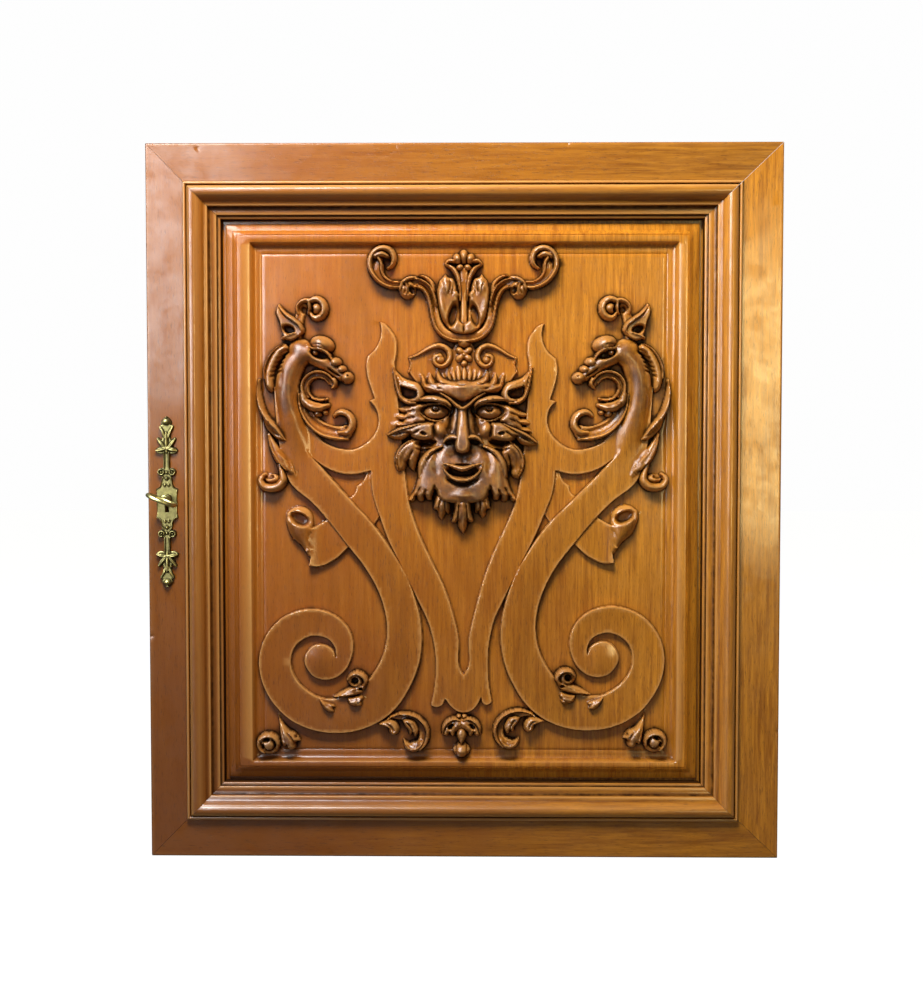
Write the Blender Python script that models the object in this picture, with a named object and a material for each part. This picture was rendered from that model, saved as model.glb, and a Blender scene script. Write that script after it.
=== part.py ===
"""A carved walnut cabinet door, its field filled by a leafy mascaron on strapwork.

The door is drawn flat in millimetres about its own middle: x runs to the right, z up, and
"out" is the height over the front face of the frame. The finished part is in metres, faces
-Y, and has its origin in the middle of its right-hand edge, where it hangs.
"""

import math

import bmesh
import bpy
import numpy as np
from mathutils import Vector
from mathutils.bvhtree import BVHTree
from mathutils.geometry import delaunay_2d_cdt

MM = 0.001
GAP = 0.3

# The door
DOOR_WIDTH = 566.0
DOOR_HEIGHT = 640.0
FRAME_THICKNESS = 26.0
ORIGIN_OUT = -FRAME_THICKNESS / 2

# Frame members, as wide as they show beside the moulding
SHOWN_LEFT = 33.0
SHOWN_RIGHT = 36.0
SHOWN_RAIL = 33.7
UNDER_MOULDING = 16.5
EDGE_ROUND = 1.5
CORNER_CUT = 2.2

# Panel tongue and the groove that holds it
TONGUE_FRONT = -16.7
TONGUE_BACK = -24.0
GROOVE_DEPTH = 7.0
TONGUE_REACH = 6.5

# Moulding
MOULDING_WIDTH = 33.0

# Carved panel
SHADOW_GROOVE = 3.2
EDGE_FLAT_OUT = -12.2
MARGIN_OUT = -9.0
GROUND_OUT = -15.0
FIELD_LEFT = -192.4
FIELD_RIGHT = 192.7
FIELD_TOP = 234.1
FIELD_BOTTOM = -235.6
SCRIBED_INSET = 10.5

# Lock furniture
ESCUTCHEON_X = -265.6
ESCUTCHEON_THICKNESS = 2.2
KEYHOLE_Z = 4.0
KEYHOLE_RADIUS = 4.7
KEYHOLE_SLOT = 2.0
KEYHOLE_FOOT = -8.0
KEYHOLE_DEPTH = 20.0
KEY_SHANK_RADIUS = 3.0
KEY_OUT = 38.0
KEY_TURN = 22.0

# How finely the faceted solids follow the carving
PANEL_POINTS = 3900
ESCUTCHEON_POINTS = 330
LOOP_SPACING = 9.0
WALL = 0.9
SAMPLE_STEP = 2.0


# Curves and distances


def run_through(points, spacing):
    """Points about evenly spaced along one smooth curve through the given points."""
    p = np.array(points, dtype=float)
    if len(p) == 2:
        count = max(1, int(np.ceil(np.linalg.norm(p[1] - p[0]) / spacing)))
        t = np.linspace(0, 1, count + 1)[:, None]
        return p[0] * (1 - t) + p[1] * t
    gaps = np.linalg.norm(np.diff(p, axis=0), axis=1)
    slope = np.diff(p, axis=0) / gaps[:, None]
    tangent = np.empty_like(p)
    both = (gaps[:-1] + gaps[1:])[:, None]
    tangent[1:-1] = (slope[:-1] * gaps[1:, None] + slope[1:] * gaps[:-1, None]) / both
    tangent[0] = 1.5 * slope[0] - 0.5 * tangent[1]
    tangent[-1] = 1.5 * slope[-1] - 0.5 * tangent[-2]
    out = []
    for i, gap in enumerate(gaps):
        t = np.arange(max(1, round(gap / spacing))) / max(1, round(gap / spacing))
        t = t[:, None]
        a = 2 * t**3 - 3 * t**2 + 1
        b = t**3 - 2 * t**2 + t
        c = -2 * t**3 + 3 * t**2
        d = t**3 - t**2
        out.append(a * p[i] + b * gap * tangent[i] + c * p[i + 1] + d * gap * tangent[i + 1])
    out.append(p[-1:])
    return np.vstack(out)


def outline(runs, spacing):
    """One closed outline from smooth runs that meet at its corners."""
    return np.vstack([run_through(run, spacing)[:-1] for run in runs])


def arc(cx, cz, rx, rz, start, stop, steps=8):
    """Points on part of an ellipse, between two angles in degrees."""
    angles = np.radians(np.linspace(start, stop, steps + 1))
    return [(cx + rx * math.cos(a), cz + rz * math.sin(a)) for a in angles]


def spread(values, position):
    """A list of values read at positions between 0 and 1 along it, with its bends softened."""
    stops = np.linspace(0, 1, len(values))
    soft = 0.25 / len(values)
    sides = np.interp(position - soft, stops, values) + np.interp(position + soft, stops, values)
    return (np.interp(position, stops, values) * 2 + sides) / 4


def nearest_on(path, x, z):
    """Distance to a path and the place of the nearest point along it, from 0 to 1."""
    a = path[:-1]
    b = path[1:]
    along = b - a
    length = np.linalg.norm(along, axis=1)
    start = np.concatenate([[0], np.cumsum(length)])[:-1]
    best = np.full(x.shape, 1e9)
    place = np.zeros(x.shape)
    for i in range(len(a)):
        dx = x - a[i, 0]
        dz = z - a[i, 1]
        t = np.clip((dx * along[i, 0] + dz * along[i, 1]) / max(length[i]**2, 1e-9), 0, 1)
        d = (dx - t * along[i, 0])**2 + (dz - t * along[i, 1])**2
        closer = d < best
        best = np.where(closer, d, best)
        place = np.where(closer, start[i] + t * length[i], place)
    return np.sqrt(best), place / (start[-1] + length[-1])


def depth_inside(shape, x, z):
    """Distance in from a closed outline, negative outside it."""
    a = shape
    b = np.roll(shape, -1, axis=0)
    best = np.full(x.shape, 1e9)
    inside = np.zeros(x.shape, dtype=bool)
    for i in range(len(a)):
        ex, ez = b[i] - a[i]
        dx = x - a[i, 0]
        dz = z - a[i, 1]
        t = np.clip((dx * ex + dz * ez) / max(ex * ex + ez * ez, 1e-9), 0, 1)
        best = np.minimum(best, (dx - t * ex)**2 + (dz - t * ez)**2)
        if ez != 0:
            cross = (a[i, 1] > z) != (b[i, 1] > z)
            inside ^= cross & (dx < dz * ex / ez)
    return np.where(inside, np.sqrt(best), -np.sqrt(best))


def ease(value):
    """A smooth step from 0 to 1."""
    t = np.clip(value, 0, 1)
    return t * t * (3 - 2 * t)


# Strokes of the gouge

STROKE_STEP = 0.9
LEAF_STEP = 1.3


class Relief:
    """The carving's height over its ground at many points, in millimetres."""

    def __init__(self, x, z, height=None):
        self.x = x
        self.z = z
        self.h = np.zeros_like(x) if height is None else height

    def near(self, shape, reach):
        low = shape.min(axis=0) - reach
        high = shape.max(axis=0) + reach
        inside = (self.x > low[0]) & (self.x < high[0]) & (self.z > low[1]) & (self.z < high[1])
        return np.nonzero(inside)[0]

    def join(self, near, new, blend):
        old = self.h[near]
        top = np.maximum(old, new)
        if blend:
            k = np.minimum(blend, np.maximum(new, 1e-6))
            top = top + k * np.clip(1 - np.abs(old - new) / k, 0, 1)**2 / 4
        self.h[near] = np.where(new > 0, top, old)

    def plate(self, shape, top, wall=0.8):
        """A flat strap with steep sides and a softened edge."""
        near = self.near(shape, 0)
        if not len(near):
            return
        t = np.clip(depth_inside(shape, self.x[near], self.z[near]) / wall, 0, 1)
        level = top(self.x[near], self.z[near]) if callable(top) else top
        self.join(near, level * (1 - (1 - t)**3), 0)

    def blade(self, runs, top, wall=3.0, blend=0.8):
        """A leaf with swelling lobes, its outline made of curves that meet in points."""
        shape = outline(runs, LEAF_STEP)
        near = self.near(shape, 0)
        if not len(near):
            return
        t = np.clip(depth_inside(shape, self.x[near], self.z[near]) / wall, 0, 1)
        level = top(self.x[near], self.z[near]) if callable(top) else top
        self.join(near, level * np.sqrt(1 - (1 - t)**2) * (0.8 + 0.2 * t), blend)

    def hollow(self, runs, floor, wall=1.5):
        """A cut with a flat floor, inside an outline."""
        shape = outline(runs, LEAF_STEP)
        near = self.near(shape, 0)
        if not len(near):
            return
        t = ease(depth_inside(shape, self.x[near], self.z[near]) / wall)
        old = self.h[near]
        self.h[near] = old + (np.minimum(floor, old) - old) * t

    def stroke(self, points, widths, tops, profile="round", blend=1.0):
        """A leaf, ribbon or limb drawn along a smooth path, as wide and high as listed."""
        path = run_through(points, STROKE_STEP)
        near = self.near(path, max(widths))
        if not len(near):
            return
        d, place = nearest_on(path, self.x[near], self.z[near])
        q = d / np.maximum(spread(widths, place), 0.05)
        inside = np.clip(1 - q * q, 0, 1)
        if profile == "round":
            shape = np.sqrt(inside)
        elif profile == "vein":
            shape = np.sqrt(inside) * (1 - 0.16 * np.exp(-(q / 0.3)**2))
        else:
            shape = np.sqrt(inside) * (0.62 + 0.5 * q * q)
        height = np.where(q < 1, spread(tops, place) * shape, 0)
        self.join(near, height, blend)

    def dome(self, cx, cz, rx, rz, top, angle=0, blend=1.0, power=0.5):
        """A ball or, with a higher power, a softer swelling."""
        reach = max(rx, rz)
        near = self.near(np.array([[cx, cz]]), reach)
        if not len(near):
            return
        q = self.oval(near, cx, cz, rx, rz, angle)
        self.join(near, top * np.clip(1 - q * q, 0, 1)**power, blend)

    def oval(self, near, cx, cz, rx, rz, angle):
        turn = math.radians(angle)
        dx = self.x[near] - cx
        dz = self.z[near] - cz
        u = dx * math.cos(turn) + dz * math.sin(turn)
        v = dz * math.cos(turn) - dx * math.sin(turn)
        return np.hypot(u / rx, v / rz)

    def pit(self, cx, cz, rx, rz, floor, angle=0):
        """A hollow cut down to a floor, with steep sides."""
        near = self.near(np.array([[cx, cz]]), max(rx, rz))
        if not len(near):
            return
        q = self.oval(near, cx, cz, rx, rz, angle)
        cut = ease((1 - q) * 2.2)
        old = self.h[near]
        self.h[near] = np.where(q < 1, old + (np.minimum(floor, old) - old) * cut, old)

    def groove(self, points, width, depth):
        """A cut that follows a smooth path and runs out at its ends."""
        path = run_through(points, STROKE_STEP)
        near = self.near(path, width)
        if not len(near):
            return
        d, place = nearest_on(path, self.x[near], self.z[near])
        fade = np.sqrt(np.clip(6 * place * (1 - place), 0.01, 1))
        cut = depth * fade * np.clip(1 - d / (width * fade), 0, 1)**0.8
        self.h[near] = np.maximum(self.h[near] - cut, 0)


# Flat strapwork, left half

STRAP_TOP = 5.0
OVER_TOP = 6.3
UNDER_TOP = 2.6
HEADBAND_TOP = 3.6

ARM = [
    [(-76, 163), (-71, 161), (-66, 156), (-61, 148), (-60, 138), (-62, 126)],
    [(-62, 126), (-60, 105), (-56, 60), (-52, 20), (-49, 0), (-43, -20), (-30, -50), (-18, -75),
     (-9.5, -100),
     (-4.5, -122), (-2.5, -152), (0.5, -157)],
    [(0.5, -157), (0.5, -191)],
    [(0.5, -191), (-5, -190), (-12, -185), (-17, -178)],
    [(-17, -178), (-19.5, -184), (-25, -186), (-30, -184)],
    [(-30, -184), (-26.5, -165), (-25.5, -148), (-27, -130), (-32, -110), (-42, -88), (-60, -51), (-67, -37),
     (-76, -13), (-83, 11), (-84, 29)],
    [(-84, 29), (-100, 25.5), (-115, 27.5), (-127, 33)],
    [(-127, 33), (-150, 50)],
    [(-150, 50), (-150, 85)],
    [(-150, 85), (-142, 77), (-134.5, 64), (-124, 54), (-112.7, 49.3), (-99, 48.5), (-88, 54), (-80, 63),
     (-77, 74), (-79.5, 85), (-85.5, 92)],
    [(-85.5, 92), (-80.5, 94)],
    [(-80.5, 94), (-83, 101), (-86.5, 112), (-88, 122), (-87, 131.5)],
    [(-87, 131.5), (-79.5, 139), (-75, 149), (-74.5, 157), (-76, 163)],
]

BAND = [
    [(-171, 104), (-170, 85), (-168, 62), (-164, 40), (-157, 18.5), (-136, -1), (-104, -40), (-90, -58),
     (-79, -77), (-72, -97), (-69.7, -118), (-73.5, -138), (-85, -159)],
    [(-85, -159), (-100, -171), (-120, -178), (-130, -177), (-140, -172), (-150, -163), (-156, -151),
     (-156.5, -141), (-153, -131), (-146, -124.5), (-138, -121.3), (-130, -121.5), (-122, -125),
     (-117.5, -131),
     (-116.3, -140)],
    [(-116.3, -140), (-118.5, -134), (-124, -129.8), (-131, -128.3), (-138, -130.5), (-143, -136.5),
     (-145, -144), (-142, -152), (-136, -158.5), (-127, -161.3), (-118, -160), (-108, -153), (-102, -142),
     (-99.8, -130), (-103, -116.5), (-111, -106), (-124, -98.5), (-140, -96.3), (-155, -99.5), (-167, -106),
     (-177, -116.5), (-183.5, -129), (-186.3, -145), (-184, -161), (-175, -180), (-160, -196),
     (-139, -206.5),
     (-115, -209.7), (-95, -207), (-78, -200), (-62, -187.5), (-49, -168), (-40.5, -147), (-37.5, -125),
     (-39, -105), (-43.5, -87), (-51, -67), (-61, -49), (-80, -21.5), (-104, 5), (-127, 31), (-140, 46),
     (-148, 62)],
    [(-148, 62), (-148, 101)],
    [(-148, 101), (-160, 110), (-171, 104)],
]

FRAGMENT = [
    [(-80, 31), (-87.5, 28), (-89, 24)],
    [(-89, 24), (-91, 20), (-97, 15)],
    [(-97, 15), (-98.5, 9), (-104, 4)],
    [(-104, 4), (-112, -4)],
    [(-112, -4), (-92, -32)],
    [(-92, -32), (-81, -20)],
    [(-81, -20), (-76, -12.6)],
    [(-76, -12.6), (-68, -10)],
    [(-68, -10), (-80, 31)],
]

TAB = [
    [(-123, -14), (-130, -19), (-138, -22.5), (-147, -22)],
    [(-147, -22), (-146, -34), (-139, -45), (-140.5, -57)],
    [(-140.5, -57), (-132, -58), (-118, -52.5), (-104, -40)],
    [(-104, -40), (-98, -38)],
    [(-98, -38), (-123, -14)],
]

HEADBAND = [
    [(1, 145), (-6, 144), (-10, 138)],
    [(-10, 138), (-15, 141.5), (-22, 143), (-30, 140.5), (-38, 135.5), (-48.5, 130.5)],
    [(-48.5, 130.5), (-47, 124), (-49.5, 118)],
    [(-49.5, 118), (-40, 106), (1, 100)],
    [(1, 100), (1, 145)],
]


def band_top(x, z):
    """The scrolled band dips towards the eye of its scroll, which swells again."""
    r = np.hypot(x + 131, z + 145)
    dip = 1.9 * ease((62 - r) / 34)
    eye = 1.5 * ease((17 - r) / 12)
    return OVER_TOP - dip + eye


def straps(r, spacing):
    r.plate(outline(FRAGMENT, spacing), UNDER_TOP)
    r.plate(outline(ARM, spacing), STRAP_TOP)
    r.plate(outline(BAND, spacing), band_top)
    r.plate(outline(TAB, spacing), lambda x, z: 4.6 + 3.4 * ease((-126 - x) / 20))


# Carved ornament, left half


def rolled_end(r):
    """The tab beside the band rolls up into an open mouth."""
    r.stroke([(-148.5, -15.5), (-147, -24), (-142, -36), (-138.5, -46)], [12.4, 11, 6, 3],
             [10.5, 10, 8.5, 6.5])
    r.dome(-148.3, -14.8, 12.8, 7.8, 11.2, angle=-24, blend=0)
    r.pit(-148.3, -14.4, 11.6, 6.7, 1.0, angle=-24)
    r.dome(-141.5, -43, 2.6, 1.7, 8)
    r.groove([(-136, -24), (-141, -34), (-139, -42)], 1.6, 1.2)


def dragon(r):
    """A beaked beast's head on a long neck that grows out of the band."""
    r.stroke([(-143, 32), (-149, 52), (-155, 74), (-159, 96), (-157, 116), (-150, 129), (-140, 135)],
             [13, 14, 13, 11, 11, 11, 8], [5.5, 7.5, 10, 12.5, 14.5, 15.5, 15.5])
    r.groove([(-166, 96), (-163, 110), (-163, 122)], 1.8, 1.5)
    dragon_mane(r)
    dragon_head(r)
    dragon_scroll(r)


MANE = [
    [(-160, 143.5), (-168, 139.5), (-174.5, 131), (-178.3, 121), (-179.6, 112), (-176.5, 101.5)],
    [(-176.5, 101.5), (-172.5, 99.5), (-170.3, 104)],
    [(-170.3, 104), (-170.5, 114), (-167, 125), (-161, 133), (-156, 138), (-160, 143.5)],
]
NECK_LEAF = [
    [(-184, 112), (-186, 100), (-184.3, 88), (-181, 76), (-177.5, 66.5), (-172, 60.5)],
    [(-172, 60.5), (-166, 56.5), (-159.5, 55.5)],
    [(-159.5, 55.5), (-165, 66), (-172, 74.5), (-178, 84), (-181.5, 95), (-184, 112)],
]


def dragon_mane(r):
    r.blade(MANE, 12.5, wall=3.4)
    r.dome(-174.6, 106.5, 3.4, 5.4, 13.5)
    r.dome(-175.2, 117.5, 3.0, 4.4, 13.2)
    r.stroke([(-162, 142.5), (-169, 138), (-175, 130), (-178.6, 120.5), (-179, 112)],
             [0.8, 1.2, 1.4, 1.4, 0.8],
             [11, 13, 13.5, 13.5, 11], blend=0.4)
    for i in range(6):
        x = -158 - 2.4 * i + 0.16 * i * i
        z = 137.5 - 4.0 * i
        r.groove([(x + 3, z + 1.5), (x - 3, z - 1), (x - 8, z - 5)], 1.5, 3.6)
    r.blade(NECK_LEAF, 11.5, wall=3.0)
    r.stroke([(-184.2, 111), (-185, 99), (-182.8, 87), (-176.8, 76), (-168.8, 67), (-160.5, 56.5)],
             [0.7, 1.5, 2.2, 2.8, 2.6, 0.8], [8, 12, 14.5, 15.5, 14.5, 9])
    r.groove([(-178.5, 74), (-173.5, 66), (-165, 59.5)], 1.5, 2.4)
    r.stroke([(-175.5, 62), (-171, 50), (-164.5, 40), (-157.5, 32.5), (-151, 23)], [1.6, 4.0, 6.0, 5.2, 0.9],
             [7, 10.5, 12.5, 11.5, 7.5], profile="vein")
    r.stroke([(-175.8, 61), (-172.8, 49.5), (-167.5, 39.5), (-160, 30)], [0.7, 1.4, 1.6, 0.8],
             [8.5, 12, 13, 10],
             blend=0.4)
    r.groove([(-168, 48), (-160, 40), (-154, 30)], 1.5, 2.6)
    r.stroke([(-166, 34), (-163.5, 27), (-163, 21), (-167, 15.5), (-174, 13.5), (-181, 15.5), (-183, 21.5),
              (-179.5, 25)], [2.4, 3.2, 3.8, 4.2, 4.2, 3.8, 3.0, 2.2], [9, 10, 11, 11.5, 11, 10.5, 10, 8.5])
    r.dome(-172.5, 21.5, 7.5, 4.5, 7)
    r.pit(-175.5, 23.5, 5.5, 2.8, 1.5)


DRAGON_EAR = [
    [(-166.5, 178.5), (-168.5, 171), (-165.5, 162.5), (-163.3, 154), (-161, 147)],
    [(-161, 147), (-154, 145.5), (-147.5, 149)],
    [(-147.5, 149), (-144.8, 154), (-146.5, 158.5), (-153, 163.5), (-160, 168.5), (-166.5, 178.5)],
]


def dragon_head(r):
    # forelock that ends in a curl
    r.stroke([(-151, 149), (-149.5, 160), (-147, 169), (-144, 177)], [5.5, 5.0, 4.2, 3.2], [10, 8, 8, 9.5],
             profile="dish")
    r.stroke([(-148.8, 170), (-149, 176.5), (-144.5, 181), (-138.5, 181.5)], [1.2, 1.8, 2.3, 2.2],
             [8, 10, 12, 12])
    r.stroke([(-138, 181), (-132, 182.8), (-126.8, 179.5), (-125.2, 173), (-129, 167.2), (-134.5, 166.6),
              (-137.5, 170.5)], [2.4, 3.4, 3.6, 3.6, 3.4, 2.8, 1.6], [12, 13, 13.5, 13.5, 12.5, 11, 9])
    r.dome(-131.4, 174.6, 5.6, 5.4, 13.2, blend=0.4)
    r.pit(-136.6, 174.0, 2.6, 4.2, 1.0, angle=10)
    r.pit(-143.4, 173.2, 3.6, 4.4, 1.0, angle=20)
    r.stroke([(-138.8, 180.5), (-138.2, 175.5), (-139.5, 170)], [1.8, 1.8, 1.0], [12.5, 12, 9], blend=0.5)
    # pointed ear
    r.plate(outline(DRAGON_EAR, 1.5), 11.5, wall=2.0)
    r.pit(-156.8, 155.6, 7.0, 4.8, 1.5, angle=-24)
    r.stroke([(-166, 177.5), (-160, 169.5), (-152.5, 164), (-146.8, 159), (-145.4, 154.5), (-148, 151)],
             [0.9, 1.9, 2.4, 2.6, 2.2, 1.4], [9, 13, 14.5, 15, 14.5, 12], blend=0.5)
    r.stroke([(-162.5, 148), (-157, 150.4), (-150.5, 152.4)], [1.4, 1.9, 1.4], [12, 13, 12.5], blend=0.5)
    # skull and snout
    r.dome(-146, 136, 13, 11.5, 15.5, angle=-35, power=0.6, blend=2)
    r.stroke([(-141, 136), (-130, 130), (-120, 123), (-110, 115)], [9, 8, 7, 5.4], [15, 14.5, 13.5, 12],
             blend=2)
    r.pit(-129.6, 133.2, 9.6, 4.8, 5.0, angle=-20)
    r.dome(-133, 135.0, 3.3, 3.1, 14, blend=0)
    r.dome(-127.3, 142.4, 11.2, 7.8, 19, angle=-16, blend=1)
    r.stroke([(-140.5, 141.5), (-135, 138.6), (-128, 138), (-121.5, 134), (-118.5, 129)],
             [0.8, 1.5, 1.7, 1.9, 1.0], [13.5, 16, 17.5, 17, 14], blend=0.6)
    r.groove([(-137.5, 142.4), (-129, 142), (-120.5, 137)], 1.1, 1.6)
    r.dome(-115.2, 126.2, 5.6, 4.8, 17.5, blend=0.6)
    r.dome(-109.6, 120.0, 4.4, 3.8, 16.5, blend=0.6)
    r.dome(-104.8, 112.6, 5.8, 5.6, 17, blend=0.6)
    r.pit(-109.0, 108.0, 2.8, 2.0, 4.5, angle=20)
    r.pit(-103.6, 114.0, 1.3, 1.1, 13)
    r.groove([(-122, 121.5), (-116, 117), (-110, 113.5)], 1.6, 4.0)
    # ribbed jaw that curls round
    r.stroke(arc(-130.5, 103.5, 12.4, 12.2, 15, 215, 14), [1.6, 2.6, 3.0, 3.0, 2.8], [9, 10, 10, 10.5, 11],
             profile="dish")
    r.stroke(arc(-130.5, 103.5, 14.9, 14.6, 12, 215, 14), [1.0, 1.3, 1.4, 1.6, 1.8],
             [10, 12, 12.5, 12.5, 12.5],
             blend=0.4)
    r.stroke(arc(-130.5, 103.3, 10.0, 9.8, 25, 235, 14), [0.7, 0.9, 1.0, 1.1, 1.0], [8, 9.5, 10, 10.5, 10],
             blend=0.4)
    r.stroke([(-145, 98), (-142.4, 91), (-136, 87.0), (-129, 86.2), (-122.3, 88)], [2.6, 4.3, 5.2, 4.6, 1.8],
             [12, 13.5, 15, 14.5, 11])
    r.groove([(-141, 92), (-134, 88.4), (-126, 88)], 1.2, 1.5)
    r.stroke([(-136.5, 94.5), (-129.5, 92.6), (-122.8, 93.6)], [1.2, 1.4, 0.8], [10.5, 10.5, 9], blend=0.4)
    r.dome(-131.5, 80.3, 3.8, 3.0, 9)
    r.dome(-124.8, 81.4, 2.5, 2.2, 9)
    r.stroke([(-116.5, 111), (-115.5, 106.8), (-118.5, 103.5)], [2.2, 2.0, 1.0], [12, 11, 8])


HOOK = [
    [(-148.5, 97), (-146, 82), (-138.5, 69.5), (-128, 61.5), (-116, 58.4), (-104, 57.4)],
    [(-104, 57.4), (-100, 64), (-104, 71)],
    [(-104, 71), (-113, 69), (-123, 71.5), (-131.5, 77.5), (-137, 86), (-139.5, 94)],
    [(-139.5, 94), (-148.5, 97)],
]


def dragon_scroll(r):
    """The leafy hook that lies in the loop under the jaw."""
    r.plate(outline(HOOK, 1.5), 6.4, wall=1.2)
    r.groove([(-143, 93), (-139.5, 82), (-131.5, 72), (-121, 66.5), (-108, 64.5)], 2.4, 2.4)
    r.groove([(-140, 90), (-134, 79), (-125, 72), (-113, 69.5)], 1.0, 1.4)
    r.stroke([(-148.5, 98), (-146, 82), (-138.5, 69.8), (-128, 61.8), (-116, 58.6), (-104.5, 57.4)],
             [0.9, 1.4, 1.7, 2.0, 2.4, 1.2], [8, 9, 9.5, 9.5, 10, 7.5], blend=0.5)
    r.stroke([(-112, 63.5), (-104.5, 64.2), (-100.6, 69.5), (-101.6, 76.5), (-106.5, 81), (-112.5, 81.4),
              (-116.5, 78.5)], [2.2, 3.6, 3.4, 3.2, 3.0, 2.8, 1.4], [9, 11.5, 12.5, 12.5, 12, 11.5, 9])
    r.groove([(-107, 66.5), (-104.2, 71.5), (-106.5, 77)], 1.1, 2.0)
    r.pit(-111.5, 75.6, 4.4, 3.4, 1.0)


def volute_leaf(r):
    """The leaf that fills the throat of the big scroll."""
    r.blade([[(-119.5, -176.8), (-110, -170.5), (-102, -166.5), (-97.5, -165)],
             [(-97.5, -165), (-90, -157.5), (-86.8, -161.5), (-88.5, -168), (-93, -173.5)],
             [(-93, -173.5), (-104, -176.3), (-119.5, -176.8)]], 10, wall=3.0)
    r.dome(-97, -161, 8.8, 7.4, 12.5, angle=-12)
    r.stroke([(-105, -160.5), (-102, -156), (-96, -154.3), (-91, -156.8), (-88.8, -161.5), (-91.5, -166.5)],
             [1.0, 1.8, 2.3, 2.5, 2.3, 1.0], [10, 13, 14.5, 14.5, 13.5, 11])
    r.pit(-98.6, -161.0, 4.4, 4.0, 1.5, angle=30)
    r.pit(-93.4, -168.6, 2.4, 1.6, 3.0)
    r.groove([(-92.5, -157.5), (-91.5, -162), (-93.5, -166)], 1.0, 1.8)
    r.groove([(-113, -173.6), (-104, -171.5), (-96, -169)], 1.5, 1.4)
    r.blade([[(-106, -176.2), (-98, -174.8), (-92.4, -173.2)],
             [(-92.4, -173.2), (-90, -176.5), (-91.4, -179.4)],
             [(-91.4, -179.4), (-92.2, -184.2), (-99, -185), (-104.5, -182.5), (-106, -176.2)]], 12,
            wall=3.6)
    r.groove([(-104, -178.5), (-97, -178), (-92.5, -176.5)], 1.1, 1.8)
    r.groove([(-99, -183.5), (-95, -181), (-91.8, -179.2)], 1.0, 1.6)
    r.blade([[(-131.5, -177.6), (-124, -180), (-117.5, -182)],
             [(-117.5, -182), (-115.6, -184.6), (-117.6, -186.2)],
             [(-117.6, -186.2), (-116.8, -189.6), (-122, -190.4), (-127, -187), (-131.5, -177.6)]], 11,
            wall=3.0)
    r.groove([(-126, -182), (-121, -184), (-117.4, -185.8)], 1.0, 1.8)


def corner_leaf(r):
    """A curled leaf in each lower corner of the field."""
    r.dome(-177.3, -219.3, 10.6, 10.2, 13, power=0.6)
    r.stroke(arc(-177.3, -219.3, 8.6, 8.2, -20, 245, 12), [1.4, 2.2, 2.8, 2.8, 2.2, 1.2],
             [12, 13.5, 14, 13.5, 12.5, 10])
    r.pit(-178.9, -214.8, 3.6, 2.3, 2.5, angle=10)
    r.pit(-182.2, -221.2, 1.7, 3.2, 5.0, angle=12)
    r.groove(arc(-176.3, -219.3, 5.0, 5.4, 60, -200, 12), 1.4, 4.0)
    r.dome(-176, -219.6, 3.6, 3.6, 13)
    r.blade([[(-169.5, -190), (-166.5, -197), (-163, -202), (-158.5, -206.5), (-153.5, -209),
              (-148.3, -216.5)],
             [(-148.3, -216.5), (-151.5, -217.2), (-152.8, -218.5)],
             [(-152.8, -218.5), (-152.4, -222), (-155.5, -224.8), (-159.2, -224), (-161, -220.5)],
             [(-161, -220.5), (-163, -222), (-165.8, -217.5)],
             [(-165.8, -217.5), (-167.2, -208), (-168.2, -199), (-169.5, -190)]],
            lambda x, z: 5.5 + 7.5 * ease((-192 - z) / 18), wall=3.6)
    r.groove([(-166.8, -199), (-163.8, -209), (-161.6, -219)], 1.3, 2.2)
    r.groove([(-160.5, -208), (-155.5, -213.5), (-153.2, -218)], 1.2, 2.6)
    r.pit(-151.8, -211.8, 2.2, 1.5, 4.0, angle=-40)


def bottom_leaf(r):
    """The rolling leaf between the big scroll and the pendant."""
    r.stroke([(-66, -194.5), (-55, -194.3), (-45, -197.5), (-38.5, -204), (-36.2, -211), (-38.5, -218.5),
              (-45, -221)], [2.0, 3.2, 4.0, 4.4, 4.2, 4.6, 4.4], [7, 9, 10, 10.5, 10.5, 11.5, 12],
             profile="dish")
    r.stroke([(-69, -196.5), (-60, -191.8), (-50, -191.4), (-41.5, -194.6), (-35, -201.5), (-32.7, -209.5),
              (-34.6, -217.5), (-39.8, -223.6)], [0.6, 1.0, 1.3, 1.4, 1.6, 1.7, 1.7, 1.2],
             [7, 9.5, 11.5, 12.5, 13, 13, 13, 12], blend=0.5)
    r.blade([[(-54.8, -215), (-50, -217.6), (-44, -217.8), (-39.5, -214.5), (-35.5, -213)],
             [(-35.5, -213), (-35.0, -219), (-40, -225.2), (-47, -226.6), (-53, -223.5), (-54.8, -215)]],
            13, wall=4.2)
    r.groove([(-52.5, -218.5), (-46, -221.6), (-38.5, -217.5)], 1.3, 2.2)
    r.blade([[(-56, -196.5), (-51, -194.8), (-45, -196.5), (-41.3, -202)],
             [(-41.3, -202), (-40.4, -206), (-41.8, -210.4)],
             [(-41.8, -210.4), (-44, -212.6), (-46.3, -208.6)],
             [(-46.3, -208.6), (-48.8, -211), (-50.2, -206)],
             [(-50.2, -206), (-53, -203), (-56, -196.5)]], 13, wall=2.7)
    r.groove([(-52, -198), (-48, -202.5), (-46.4, -208)], 1.2, 2.6)
    r.groove([(-47, -197.5), (-43.8, -203), (-43.2, -209)], 1.0, 1.8)
    r.blade([[(-79, -201.2), (-72, -197.8), (-66, -196.1), (-61, -198.8), (-58.5, -204)],
             [(-58.5, -204), (-59.2, -208.8), (-62.5, -211.4)],
             [(-62.5, -211.4), (-66.7, -210), (-68.3, -205)],
             [(-68.3, -205), (-73, -202.8), (-79, -201.2)]], 12, wall=3.2)
    r.groove([(-74, -200.6), (-67, -201.2), (-63.2, -208)], 1.3, 2.4)
    r.pit(-55, -210.5, 3.0, 5.0, 0.5)


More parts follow.
